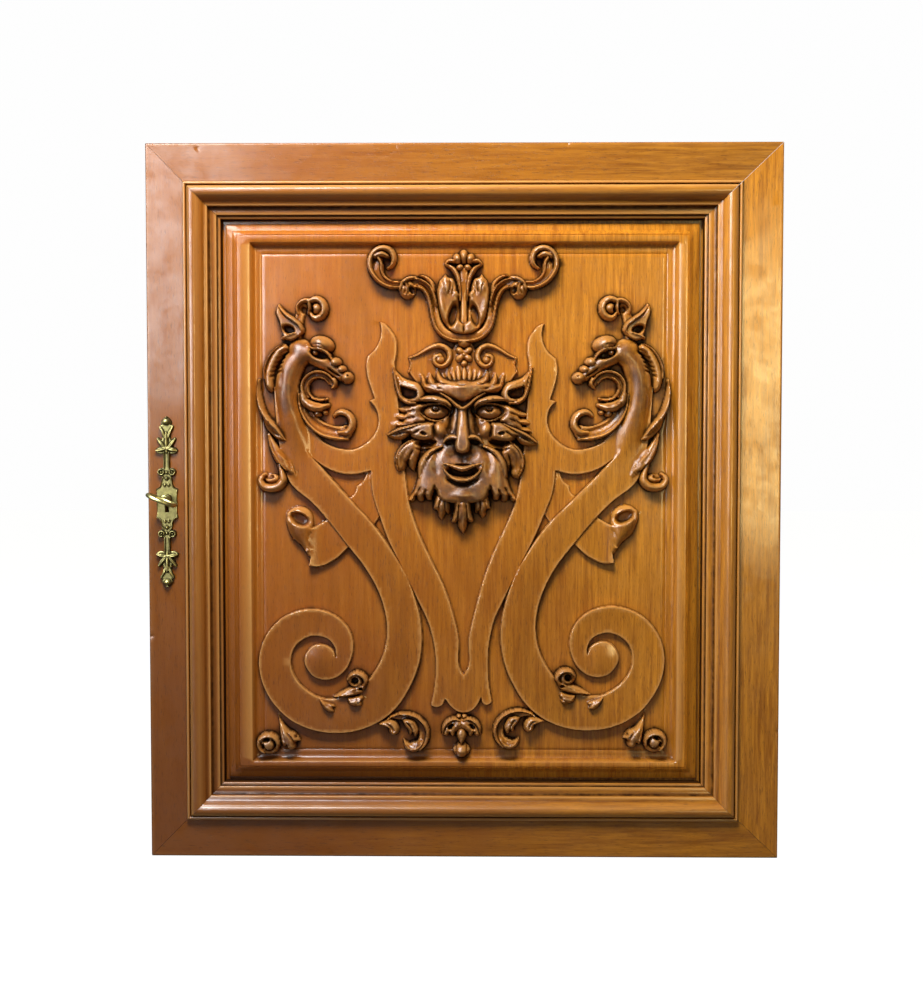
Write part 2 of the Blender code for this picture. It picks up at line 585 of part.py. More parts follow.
PETAL = [
    [(-16.5, 205.5), (-20.8, 199.5), (-24, 191.5), (-23.8, 183), (-21.6, 173.5), (-18.6, 164.5),
     (-14, 156.5),
     (-8, 152), (1, 150.5)],
    [(1, 150.5), (1, 161)],
    [(1, 161), (-3.2, 163.5), (-4.4, 170), (-4.6, 178), (-4.4, 183)],
    [(-4.4, 183), (-3.4, 186.5), (-6.2, 190)],
    [(-6.2, 190), (-7, 196), (-10, 201.5), (-13.6, 202.5), (-16.5, 205.5)],
]


def crown(r):
    """The leafy finial over the headband."""
    # outer scroll, a dished ribbon between two rims
    r.stroke([(-56, 196.3), (-63, 196), (-70.5, 199), (-76.5, 204.5), (-79, 212), (-77.5, 219)],
             [2.2, 3.0, 4.0, 5.0, 5.4, 5.0], [8, 9, 10, 11, 12, 12], profile="dish")
    r.stroke([(-55, 194), (-64, 193.4), (-73, 196.6), (-80, 203), (-83.8, 211), (-83.2, 219.5),
              (-78.8, 225.6),
              (-72, 228), (-66, 226), (-62.9, 220.4), (-63.8, 214), (-68, 210.8)],
             [0.9, 1.3, 1.5, 1.8, 2.0, 2.5, 3.0, 3.2, 3.2, 3.0, 2.4, 1.2],
             [8.5, 10, 11, 12, 12.5, 13, 13.5, 14, 13.5, 12.5, 11, 9], blend=0.5)
    r.stroke([(-57, 198.5), (-64, 198.6), (-70.4, 202), (-73.6, 208), (-73.8, 214), (-76.5, 219.5)],
             [0.7, 0.9, 1.2, 1.4, 1.6, 2.0], [8, 9, 10, 11.5, 12, 12.5], blend=0.5)
    r.stroke([(-79, 221), (-73.5, 222.8), (-68, 220.8)], [3.0, 3.4, 1.6], [13, 14, 11])
    r.pit(-69.0, 215.4, 4.4, 5.0, 1.0, angle=20)
    r.groove([(-80.5, 208), (-80, 216), (-76, 221)], 1.2, 1.6)
    # curled leaf between the scroll and the stem
    r.dome(-50.5, 191.8, 7.6, 8.9, 13)
    r.stroke([(-43.5, 201.8), (-49, 201), (-54.2, 197.4), (-56.8, 191.5)], [1.4, 2.3, 2.4, 1.6],
             [10.5, 13, 13, 12])
    r.groove([(-55, 197), (-51.8, 193.5), (-53.6, 187)], 1.5, 3.2)
    r.groove([(-50.8, 197.5), (-49, 193), (-50.5, 186)], 1.4, 3.4)
    r.pit(-46.2, 190.6, 3.4, 4.6, 2.0, angle=24)
    # ribbed stem
    r.stroke([(-44.5, 197.8), (-37.5, 196), (-31.8, 190), (-28.2, 181), (-26, 171), (-23.6, 161),
              (-18.6, 153.6),
              (-10, 149), (1, 148)], [3.2, 4.4, 4.8, 4.4, 4.0, 4.2, 4.4, 4.4, 4.4],
             [10, 10, 9.5, 9, 9, 9.5, 10, 11, 11.5], profile="dish")
    r.stroke([(-43.5, 194), (-37, 191.8), (-32.4, 185.5), (-29.8, 176), (-28, 166), (-24.6, 156.6),
              (-18, 149.8),
              (-9, 146.2), (1, 145.6)], [0.8, 1.1, 1.3, 1.3, 1.3, 1.4, 1.5, 1.6, 1.6],
             [9.5, 10.5, 10.5, 10.5, 10.5, 11, 11.5, 11.5, 11.5], blend=0.5)
    r.stroke([(-45, 201), (-38, 199.6), (-31, 194.6), (-26.8, 186), (-24.6, 177)], [0.9, 1.2, 1.3, 1.3, 1.0],
             [10.5, 11, 11, 10.5, 10], blend=0.5)
    r.groove([(-43, 197.3), (-36.6, 195), (-31.2, 188.8), (-28, 180), (-25.8, 169)], 1.0, 2.0)
    r.stroke([(-40, 204), (-34, 202), (-29, 197), (-27, 190)], [0.7, 1.5, 2.1, 1.4], [8.5, 10, 10.5, 9.5])
    # petals of the cup
    r.plate(outline(PETAL, 1.5), 11.8, wall=3.4)
    r.dome(-16.3, 192.5, 6.4, 10, 14.8, angle=8, blend=2)
    r.dome(-18.9, 175, 3.6, 15, 13.6, angle=12, blend=2)
    r.dome(-7.4, 187, 2.6, 3.8, 13)
    r.groove([(-20.5, 199.5), (-17.4, 195), (-16.5, 188)], 1.2, 2.0)
    r.groove([(-12, 201), (-12.2, 194), (-13.5, 187)], 1.2, 2.0)
    r.groove([(-8.5, 197), (-9.6, 191), (-11, 185.5)], 1.1, 1.8)
    r.pit(-9.6, 168.4, 5.3, 13.6, 0.5, angle=-14)
    # stalk and bud
    r.stroke([(1, 155), (1, 166), (1, 180), (0.5, 195), (0, 207)], [5.0, 3.6, 3.8, 4.4, 4.2],
             [12, 10.5, 9.5, 9.5, 10], profile="dish")
    r.stroke([(-3.2, 182), (-3.8, 194), (-6, 204), (-10.5, 210.6), (-15.8, 213.4)],
             [0.8, 1.2, 2.0, 2.4, 1.0],
             [9, 10.5, 11, 11, 8.5])
    r.stroke([(-8.8, 216.4), (-12.6, 217), (-16.4, 213.8)], [1.6, 1.9, 0.9], [11, 10.5, 9])
    r.pit(-11.6, 213.9, 2.4, 1.3, 4.5)
    r.dome(0.5, 220.5, 4.8, 6.8, 13.5)
    r.dome(-5.6, 218.6, 3.9, 5.2, 13, angle=22)
    r.dome(-3.6, 211, 3.6, 3.0, 11.5, angle=30)
    r.groove([(-3.4, 225), (-2.8, 219), (-2.4, 213)], 1.1, 2.6)


PENDANT_X = -2.0
DROP_LEAF = [
    [(2, -197.2), (-6.5, -195.6), (-12, -197.8), (-15.8, -203), (-17.2, -210)],
    [(-17.2, -210), (-13.5, -212.2), (-11, -208.6)],
    [(-11, -208.6), (-8, -212.4), (-5.2, -208)],
    [(-5.2, -208), (2, -204)],
    [(2, -204), (2, -197.2)],
]
TONGUE = [
    [(3, -202.5), (-3, -204), (-4.8, -209), (-3.4, -214.5), (0, -219.8)],
    [(0, -219.8), (3, -216)],
    [(3, -216), (3, -202.5)],
]


def pendant(r):
    """The drop under the foot of the straps."""
    r.dome(-2.4, -193.5, 2.3, 2.1, 9)
    r.dome(0, -198, 4.4, 3.2, 9)
    r.blade(DROP_LEAF, 10.5, wall=2.4)
    r.stroke([(-1, -197), (-7, -195.7), (-12.4, -198.1), (-15.8, -203), (-17, -209.5)],
             [0.8, 1.4, 1.7, 1.7, 0.8],
             [10, 12.5, 13, 12.5, 9], blend=0.5)
    r.pit(-9.6, -202.4, 3.8, 2.3, 1.5, angle=42)
    r.stroke([(-1.5, -199.5), (-5.6, -202.4), (-8.2, -209.5)], [2.0, 2.7, 0.9], [11.5, 13, 9])
    r.blade(TONGUE, 13, wall=2.8)
    r.dome(0, -224.4, 7.3, 6.9, 13.5)
    r.groove([(-3.6, -218.5), (-5.2, -224.5), (-3.4, -230.5)], 1.4, 4.0)


def headband(r):
    """The two small scrolls of the cartouche behind the brow."""
    r.stroke([(-49, 130.5), (-42, 132.8), (-34, 137.3), (-26, 140.8), (-20, 141), (-14.5, 137.5),
              (-12.6, 131),
              (-15.5, 125), (-21, 123), (-26, 126.5), (-25.8, 131), (-21.5, 132.2)],
             [0.8, 1.2, 1.5, 1.9, 2.4, 2.8, 2.9, 2.8, 2.4, 2.2, 2.2, 2.4],
             [6, 6.8, 7.4, 8, 8.6, 9, 9.2, 9.2, 9.2, 9.4, 9.6, 9.8], blend=0.5)
    r.dome(-21.6, 128.6, 4.8, 4.6, 10)
    r.stroke([(-48.6, 130), (-47.4, 124), (-49.6, 117.5)], [0.9, 0.9, 0.9], [5.2, 5.2, 5.2])


def rosette(r):
    """A flat four-lobed flower between the scrolls."""
    for angle in (45, 135, 225, 315):
        turn = math.radians(angle)
        r.dome(0.2 + 5.2 * math.cos(turn), 133.6 + 4.6 * math.sin(turn), 4.6, 3.4, 9.5, angle=angle)
    r.dome(0.2, 133.6, 5, 5, 9)
    r.pit(0.2, 133.6, 3.2, 3.2, 7.4)
    r.dome(0.2, 133.6, 2.1, 2.1, 9.4, blend=0)
    r.dome(0.2, 143.5, 6, 4.4, 11)
    r.dome(0.2, 125.5, 3.4, 3.2, 9)


# The leaf mask

MASK_X = -1.0


EAR = [
    [(-62.8, 123), (-61.2, 113), (-59, 103), (-56.5, 95), (-51, 90), (-44, 88.4), (-36, 91.5)],
    [(-36, 91.5), (-34.2, 97), (-35.4, 102.8), (-39.6, 107.8), (-46, 110), (-53, 112.6), (-58, 117),
     (-62.8, 123)],
]
EAR_HOLE = [
    [(-56, 106), (-48.5, 103.9), (-40.8, 101.4)],
    [(-40.8, 101.4), (-40.2, 96.4), (-43, 93.4)],
    [(-43, 93.4), (-49.4, 92.9), (-54.2, 95.4), (-56, 106)],
]


def mask_ear(r):
    """A long pointed ear, open at the front."""
    r.blade(EAR, lambda x, z: 16.5 - 7 * ease((-x - 38) / 26), wall=3.4)
    r.stroke([(-62.3, 121.6), (-60.2, 111), (-57.8, 101), (-54.6, 94), (-48.5, 90.4), (-42, 89.8)],
             [0.7, 1.3, 1.5, 1.7, 2.0, 1.4], [10, 12, 13, 14, 15.5, 16], blend=0.5)
    r.hollow(EAR_HOLE, 1.0, wall=1.7)
    r.groove([(-59, 117), (-54, 110), (-47, 106.4)], 1.1, 1.8)


def mask_eye(r):
    """A wide almond eye with a drilled pupil."""
    r.pit(-25.5, 82, 17, 9.6, 9.0)
    r.pit(-11.5, 84, 5.5, 7.5, 7.0)
    r.dome(-24, 81.6, 13, 8.0, 17.5, blend=0)
    r.stroke([(-40.5, 84.5), (-34, 88.4), (-24.5, 90.2), (-15.5, 89), (-11, 85)], [0.9, 1.5, 1.7, 1.7, 1.2],
             [12.5, 16.5, 18.5, 18.5, 14], blend=0.4)
    r.stroke([(-40.5, 84.5), (-35, 78.2), (-25, 73.8), (-15.5, 75.6), (-11, 81)], [0.9, 1.5, 1.8, 1.6, 1.1],
             [12.5, 15, 17, 17, 13.5], blend=0.4)
    r.pit(-24, 84.6, 4.6, 4.0, 12.5)
    r.dome(-23.6, 84.8, 3.4, 2.8, 16.6, blend=0)
    r.pit(-23.8, 85.2, 1.7, 1.6, 13.0)


FLAME = [
    [(6, 90), (-6, 90.2), (-12, 92.5), (-20, 96), (-30, 98), (-36, 101.5)],
    [(-36, 101.5), (-37.8, 107), (-37.6, 112), (-39.8, 119)],
    [(-39.8, 119), (-34.6, 114), (-32.2, 108)],
    [(-32.2, 108), (-31.4, 113), (-29.3, 118)],
    [(-29.3, 118), (-26.6, 113), (-23.8, 109)],
    [(-23.8, 109), (-24, 115), (-22.2, 121.5)],
    [(-22.2, 121.5), (-18.4, 113.8), (-12, 110.6), (0, 109.8), (6, 109.8)],
    [(6, 109.8), (6, 90)],
]


def mask_brow(r):
    """The brow, which flares into flame-shaped locks."""
    r.blade(FLAME, lambda x, z: 20.5 - 6.5 * ease((-x - 6) / 34) - 4.5 * ease((z - 106) / 12), wall=5.0,
            blend=2)
    r.stroke([(-7, 88), (-11, 91.6), (-19, 94.4), (-29, 95), (-37, 92.6)], [2.2, 3.6, 4.2, 4.0, 2.0],
             [20, 22.5, 22.5, 20.5, 16], blend=1.5)
    r.stroke([(4, 104), (-6, 103.6), (-14, 103.6), (-20, 106.4)], [3.0, 3.0, 2.8, 1.2],
             [21.5, 21.5, 20, 16], blend=2)
    r.groove([(-12, 96.6), (-21, 98.8), (-33, 99)], 1.8, 1.2)
    r.groove([(-18, 102), (-25, 104), (-32, 109)], 1.5, 2.0)
    r.groove([(-12, 107), (-18, 106.6), (-23.8, 110)], 1.3, 2.6)
    r.groove([(-24, 99.6), (-33, 103.6), (-37.6, 111)], 1.1, 1.6)
    r.groove([(-6, 97), (-3, 91), (1, 88.4)], 1.8, 2.2)


JAW = [
    [(6, 60), (-8, 58), (-18, 52)],
    [(-18, 52), (-26, 48), (-33, 41), (-38, 32), (-41, 22), (-44, 12), (-49.5, 3)],
    [(-49.5, 3), (-46, 1), (-43, 2.5), (-42, 5.5)],
    [(-42, 5.5), (-39.5, 1.6), (-36, 1.2), (-34, 6)],
    [(-34, 6), (-31.5, 2.4), (-28, 2.6), (-26.5, 7), (-24.5, 11)],
    [(-24.5, 11), (-22, 7), (-16, 2.4), (-8, 0.6), (6, 0.2)],
    [(6, 0.2), (6, 60)],
]


def jaw_top(x, z):
    """The lower face swells towards its middle and thins to the leaf tips."""
    across = np.clip(np.abs(x) / 50, 0, 1)
    fall = ease((16 - z) / 16)
    return 20.5 - 5.5 * across**1.6 - 3.5 * fall * across


def mask_cheek(r):
    """Cheekbone, hollow and laughing fold down to the jaw."""
    r.plate(outline(JAW, LEAF_STEP), jaw_top, wall=4.8)
    r.stroke([(-19, 50), (-27, 44.5), (-33.5, 34), (-37.5, 22)], [1.6, 3.4, 4.4, 1.6],
             [17, 19.5, 19.5, 15.5], blend=3)
    for top_x, top_z, foot, tip in ((-36.5, 24, -43, 1), (-31, 20, -35, 3), (-25, 20, -26.5, 7)):
        r.groove([(top_x, top_z), ((top_x + foot) / 2 - 0.6, (top_z + tip) / 2), (foot, tip)], 1.9, 4.2)
    r.groove([(-39.5, 18), (-43.5, 10), (-46.5, 3)], 1.1, 1.8)
    r.groove([(-31.5, 14), (-36.5, 8), (-39, 3)], 1.0, 1.6)
    r.groove([(-17, 52), (-24.5, 45.5), (-29, 36), (-30.5, 25)], 2.6, 3.0)
    r.groove([(-19.5, 38.5), (-23.5, 31), (-22.5, 22)], 1.8, 1.8)
    r.pit(-32, 52.8, 13, 4.6, 8.0, angle=-8)
    r.dome(-20.5, 67.5, 6.6, 10.4, 20.8, angle=14, blend=3, power=0.7)
    r.dome(-33.5, 63.8, 9.4, 6.4, 20, angle=-8, blend=1.0)
    r.groove([(-27.4, 72), (-25.4, 65), (-26.2, 57)], 1.4, 2.6)
    r.pit(-34.8, 62.8, 3.8, 1.9, 12.5, angle=-16)
    r.groove([(-44, 72), (-34, 72.8), (-22, 71)], 1.6, 1.6)


LONG_LEAF = [
    [(-24, 74), (-38, 73.4), (-48, 70), (-58, 67.8), (-69, 60.3)],
    [(-69, 60.3), (-62, 56.8), (-54, 57), (-47.8, 61)],
    [(-47.8, 61), (-44, 57.4), (-34, 55.8), (-24, 58)],
    [(-24, 58), (-24, 74)],
]
TEMPLE_LEAF = [
    [(-32, 90), (-46, 89.4), (-53, 87), (-60, 85.2)],
    [(-60, 85.2), (-56, 82), (-52.5, 80.6)],
    [(-52.5, 80.6), (-57.5, 80.6), (-62.3, 78)],
    [(-62.3, 78), (-58, 75), (-54.5, 74)],
    [(-54.5, 74), (-59.5, 73.8), (-65, 70)],
    [(-65, 70), (-56, 67.6), (-46, 68), (-32, 72)],
    [(-32, 72), (-32, 90)],
]
JOWL_LEAF = [
    [(-37, 58.5), (-46, 58), (-54, 53), (-59.6, 46), (-61.4, 38), (-58.6, 27.5)],
    [(-58.6, 27.5), (-53, 29.5), (-49.6, 36.5)],
    [(-49.6, 36.5), (-48, 32), (-43.4, 28.5)],
    [(-43.4, 28.5), (-39.8, 38), (-36.5, 48), (-37, 58.5)],
]


def hung(runs, right):
    """The same leaf, or its twin on the right, which hangs lower and nearer the middle."""
    if not right:
        return runs
    moved = []
    for run in runs:
        moved.append([])
        for x, z in run:
            low = min(max((60 - z) / 30, 0), 1)
            far = min(max((-x - 34) / 34, 0), 1)
            moved[-1].append((-x - 8 * low, z - 7.5 * far * (1 - low) - 6 * low))
    return moved


def cheek_leaves(r, right):
    """The leaves beside each eye and below the cheek."""
    side = 1 if right else -1

    def thinning(thick, thin):
        return lambda x, z: thick - (thick - thin) * ease((side * x - 36) / 30)

    def vein(points, width, depth):
        r.groove(hung([points], right)[0], width, depth)

    def rim(points, widths, tops):
        r.stroke(hung([points], right)[0], widths, tops, blend=0.5)

    r.blade(hung(TEMPLE_LEAF, right), thinning(15.5, 8), wall=3.6)
    vein([(-53, 80.6), (-47, 82.4), (-40, 83)], 1.4, 3.0)
    vein([(-55, 74.2), (-48, 76.4), (-40, 77.4)], 1.4, 3.0)
    rim([(-59.5, 85), (-52, 85.8), (-44, 87)], [0.7, 1.2, 0.8], [9.5, 12.5, 13.5])
    rim([(-61.6, 78.2), (-55, 79.2), (-46, 80.8)], [0.7, 1.3, 0.8], [9.5, 12.5, 14])
    r.blade(hung(JOWL_LEAF, right), lambda x, z: 15.5 - 5.5 * ease((52 - z) / 24), wall=4.2)
    rim([(-43, 57.6), (-51.6, 53), (-57.4, 46), (-59.4, 37), (-58.4, 30)], [0.8, 2.0, 2.3, 1.8, 0.8],
        [15, 16, 15, 13, 10])
    vein([(-45.5, 54), (-52.5, 45), (-55.5, 34)], 1.5, 2.6)
    vein([(-41.5, 52), (-46.5, 43.5), (-49.4, 37)], 1.5, 3.4)
    r.blade(hung(LONG_LEAF, right), thinning(20, 10.5), wall=4.2)
    rim([(-67, 61.4), (-57, 66), (-47, 68.6), (-37, 71.4)], [0.8, 1.9, 2.2, 1.0], [11, 15.5, 18.5, 19])
    vein([(-63, 60.4), (-53, 63.4), (-44, 63.4)], 1.5, 2.4)
    vein([(-47.8, 61), (-43.5, 63), (-38, 66)], 1.3, 2.6)


FORELOCKS = [(-16, -18.6, 117, 2.6, 10.5), (-10.5, -11.4, 120.5, 3.2, 12), (-3, -3.8, 122, 4.6, 13.5),
             (5, 5.4, 121.5, 4.0, 13), (11, 12.6, 119.5, 3.0, 11.5), (16, 18.4, 117, 2.4, 10.5)]


def mask_middle(r):
    """Forehead, nose, mouth and chin."""
    r.dome(0, 102, 19, 10, 19.5, power=0.7, blend=3)
    r.groove([(-6, 106), (0, 105.4), (6, 106)], 1.2, 0.9)
    r.groove([(-8, 96), (-3, 90), (0, 88), (3, 90), (8, 96)], 1.6, 1.2)
    # nose
    r.dome(0, 67, 13, 19, 21.5, power=1, blend=3)
    r.stroke([(0, 87), (0, 78), (0, 68), (0, 58), (0, 51)], [4.4, 4.6, 6.2, 7.6, 7.0],
             [21, 23, 26.5, 30, 29.5],
             blend=2.5)
    r.groove([(-3.5, 70.4), (0, 69.4), (3.5, 70.4)], 1.0, 0.8)
    for side in (-1, 1):
        r.stroke([(4.5 * side, 58.5), (9 * side, 59.6), (14 * side, 58), (17 * side, 54.5)],
                 [3, 3.2, 2.4, 1.4],
                 [26, 24.5, 22.5, 20], blend=0.8)
        r.pit(11.6 * side, 54.4, 4.7, 2.6, 11, angle=-6 * side)
    # muzzle and open smile
    r.dome(0, 38, 26, 17, 22, power=0.7, blend=3)
    r.groove([(0, 47), (0, 37)], 2.4, 1.0)
    r.pit(0, 29.4, 16.6, 6.8, 9.5)
    r.stroke([(-18.4, 36.2), (-11, 34.4), (0, 31.4), (11, 34.4), (18.4, 36.2)], [1.0, 2.3, 3.7, 2.3, 1.0],
             [19.5, 23, 25, 23, 19.5], blend=0.6)
    r.stroke([(-18, 35), (-14.5, 27.5), (-7.8, 22.4), (0, 20.8), (7.8, 22.4), (14.5, 27.5), (18, 35)],
             [1, 1.9, 2.4, 2.7, 2.4, 1.9, 1], [19.5, 21.5, 23, 24, 23, 21.5, 19.5], blend=0.6)
    r.dome(0, 9, 20, 9.4, 21.5, blend=3, power=0.6)
    r.groove([(-16, 23), (0, 16.8), (16, 23)], 2.4, 3.4)
    r.groove([(-11, 10.8), (0, 9.6), (11, 10.8)], 1.3, 1.2)
    r.groove([(-8, 5.8), (0, 4.8), (8, 5.8)], 1.1, 1.0)
    # hair over the forehead
    for x, tip_x, tip_z, width, top in FORELOCKS:
        r.stroke([(x, 110), ((x + tip_x) / 2 + 0.6, (110 + tip_z) / 2), (tip_x, tip_z)],
                 [width, width * 1.1, width * 0.5], [top, top * 0.94, top * 0.7], blend=1.5)


BEARD_LEFT = [
    [(-24, 9), (-25.4, 2), (-26.5, -5.5)],
    [(-26.5, -5.5), (-23.6, -6.4), (-22, -8.4)],
    [(-22, -8.4), (-21.6, -12.5), (-18.6, -15.5)],
    [(-18.6, -15.5), (-16.6, -12), (-15, -8.5)],
    [(-15, -8.5), (-12.6, -10.5), (-11.6, -6), (-11, 4)],
    [(-11, 4), (-24, 9)],
]
BEARD_MIDDLE = [
    [(-9, 4), (-7.6, -4), (-8.4, -9), (-10.2, -17.5)],
    [(-10.2, -17.5), (-6.6, -17.8), (-4.4, -16.4)],
    [(-4.4, -16.4), (-3.6, -22), (0.6, -28)],
    [(0.6, -28), (3.6, -22), (4.6, -16.4)],
    [(4.6, -16.4), (7, -18), (10, -16.2)],
    [(10, -16.2), (8.2, -9), (7.6, -4), (9, 4)],
    [(9, 4), (-9, 4)],
]


def beard(r):
    """Three leafy tufts under the chin, the middle one longest."""
    right = [[(-x * 0.94, z * 0.9) for x, z in run] for run in BEARD_LEFT]
    for side, runs in ((-1, BEARD_LEFT), (1, right)):
        r.blade(runs, lambda x, z: 14.5 - 5.5 * ease(-z / 15), wall=3.2)
        r.groove([(19.5 * side, 4), (21 * side, -2), (21.6 * side, -8)], 1.1, 2.2)
        r.groove([(15.5 * side, 4), (16 * side, -2), (15.4 * side, -8)], 1.1, 2.2)
    r.blade(BEARD_MIDDLE, lambda x, z: 17 - 7 * ease((-2 - z) / 24), wall=3.4)
    r.stroke([(0, 0), (0.4, -9), (0.5, -18), (0.5, -26)], [2.6, 2.8, 2.4, 0.8], [18.5, 16, 13.5, 9.5],
             blend=1)
    for side in (-1, 1):
        r.groove([(3.2 * side, 0), (3.8 * side, -8), (4.4 * side, -16)], 1.3, 3.0)


def mask(x, z, height):
    """The whole mask, over whatever is carved behind it."""
    whole = Relief(x - MASK_X, z, height)
    folded = Relief(-np.abs(x - MASK_X), z, height)
    mask_ear(folded)
    for right in (False, True):
        cheek_leaves(whole, right)
    whole.dome(0, 58, 45, 50, 15.5, blend=2)
    whole.dome(0, 32, 40, 26, 14, blend=2)
    mask_cheek(folded)
    whole.dome(0, 95, 32, 12, 15, power=0.7, blend=2)
    beard(whole)
    mask_eye(folded)
    mask_brow(folded)
    mask_middle(whole)


# The whole relief


def right_shift(x, z):
    """How far the carver's right half sits nearer the middle and higher than a true mirror copy."""
    low = ease((40 - z) / 80)
    spike = np.exp(-((np.abs(x) - 74) / 22)**2 - ((z - 135) / 45)**2)
    inner = ease((np.abs(x) - 8) / 20)
    return inner * (1.2 + 3.2 * low + 3.4 * spike), inner * (3.0 * low - 2.2 * spike)


def fold(x, z):
    """The place in the left half that each point of the door repeats."""
    left_x = -np.abs(x)
    dx, dz = right_shift(left_x, z)
    right = x > 0
    return np.where(right, left_x - dx, left_x), np.where(right, z - dz, z)


def strap_height(x, z, spacing=2.0):
    """The flat strapwork alone."""
    r = Relief(*fold(x, z))
    straps(r, spacing)
    r.plate(outline(HEADBAND, spacing), HEADBAND_TOP)
    return r.h


def relief_height(x, z, spacing=2.0):
    """Everything that stands over the ground of the field."""
    r = Relief(*fold(x, z), strap_height(x, z, spacing))
    rolled_end(r)
    dragon(r)
    volute_leaf(r)
    corner_leaf(r)
    bottom_leaf(r)
    pendant(Relief(-np.abs(x - PENDANT_X), z, r.h))
    headband(r)
    crown(r)
    middle = Relief(x, z, r.h)
    rosette(middle)
    mask(x, z, r.h)
    return r.h


# The panel's front face


def rectangle_inset(x, z, left, right, bottom, top):
    """Distance in from the nearest side of a rectangle."""
    return np.minimum(np.minimum(x - left, right - x), np.minimum(z - bottom, top - z))


def moulding_inner():
    """The rectangle inside the moulding: left, right, bottom and top."""
    half_w = DOOR_WIDTH / 2
    half_h = DOOR_HEIGHT / 2
    left = -half_w + SHOWN_LEFT + MOULDING_WIDTH
    right = half_w - SHOWN_RIGHT - MOULDING_WIDTH
    top = half_h - SHOWN_RAIL - MOULDING_WIDTH
    return left, right, -top, top


def grown(rectangle, by):
    left, right, bottom, top = rectangle
    return left - by, right + by, bottom - by, top + by


RAISED = grown(moulding_inner(), -SHADOW_GROOVE)
FIELD = (FIELD_LEFT, FIELD_RIGHT, FIELD_BOTTOM, FIELD_TOP)

# Inset from the raised edge, and out
BORDER_PROFILE = [(-0.3, TONGUE_FRONT), (0, EDGE_FLAT_OUT), (5.6, EDGE_FLAT_OUT + 0.3),
                  (9.6, MARGIN_OUT - 0.3),
                  (10.0, MARGIN_OUT - 0.9), (10.5, MARGIN_OUT)]
# Inset from the field's edge, and out
FIELD_PROFILE = [(0, MARGIN_OUT), (0.7, MARGIN_OUT - 1.0), (2.6, MARGIN_OUT - 4.0),
                 (4.4, GROUND_OUT + 0.5), (6.6, GROUND_OUT)]
SCRIBED_PROFILE = [(SCRIBED_INSET - 0.6, 0.0), (SCRIBED_INSET, -0.5), (SCRIBED_INSET + 0.6, 0.0)]


def softened_ornament():
    """Grid of the ornament's height over the straps, softened to what broad facets can follow."""
    left, right, bottom, top = FIELD
    xs = np.arange(left, right + SAMPLE_STEP, SAMPLE_STEP)
    zs = np.arange(bottom, top + SAMPLE_STEP, SAMPLE_STEP)
    grid_x, grid_z = np.meshgrid(xs, zs)
    x = grid_x.ravel()
    z = grid_z.ravel()
    extra = (relief_height(x, z) - strap_height(x, z)).reshape(grid_x.shape)
    weights = np.array([1, 4, 6, 4, 1]) / 16
    for axis in (0, 1):
        extra = sum(w * np.roll(extra, shift, axis) for w, shift in zip(weights, (-2, -1, 0, 1, 2)))
    return extra


ORNAMENT = softened_ornament()


def ornament_height(x, z):
    """The softened ornament between the grid's points."""
    u = np.clip((x - FIELD_LEFT) / SAMPLE_STEP, 0, ORNAMENT.shape[1] - 1.001)
    v = np.clip((z - FIELD_BOTTOM) / SAMPLE_STEP, 0, ORNAMENT.shape[0] - 1.001)
    i = u.astype(int)
    j = v.astype(int)
    a = u - i
    b = v - j
    low = ORNAMENT[j, i] * (1 - a) + ORNAMENT[j, i + 1] * a
    high = ORNAMENT[j + 1, i] * (1 - a) + ORNAMENT[j + 1, i + 1] * a
    return low * (1 - b) + high * b


def panel_out(x, z):
    """How far out the panel's front face lies, borders, ground and carving together."""
    edge = rectangle_inset(x, z, *RAISED)
    field = rectangle_inset(x, z, *FIELD)
    border = np.interp(edge, *zip(*BORDER_PROFILE))
    wall = np.interp(field, *zip(*FIELD_PROFILE))
    ground = np.where(field > 0, wall, border)
    scribed = np.interp(field, *zip(*SCRIBED_PROFILE), left=0, right=0)
    carved = np.where(field > 1.0, strap_height(x, z) + ornament_height(x, z), 0)
    over = GROUND_OUT + carved
    return np.where(carved > 0.05, np.maximum(ground, over), ground + scribed)


def rectangle_loop(rectangle):
    left, right, bottom, top = rectangle
    return [(left, bottom), (right, bottom), (right, top), (left, top)]


# Triangulating a relief


def triangulate(points, loops):
    """A flat triangulation that keeps every loop's edges; returns its points and triangles."""
    verts = [Vector(p) for p in points]
    edges = []
    for loop, closed in loops:
        first = len(verts)
        verts.extend(Vector(p) for p in loop)
        last = len(verts) - 1
        edges.extend((i, i + 1) for i in range(first, last))
        if closed:
            edges.append((last, first))
    out = delaunay_2d_cdt(verts, edges, [], 0, 0.02)
    return np.array([tuple(v) for v in out[0]]), out[2]


def outs_seen(points, faces, out, samples):
    """How far out the triangulated face lies at each sample."""
    corners = [Vector((p[0], p[1], o)) for p, o in zip(points, out)]
    tree = BVHTree.FromPolygons(corners, faces)
    down = Vector((0, 0, -1))
    seen = np.full(len(samples), np.nan)
    for i, (x, z) in enumerate(samples):
        hit = tree.ray_cast(Vector((x, z, 200)), down)[0]
        if hit is not None:
            seen[i] = hit.z
    return seen


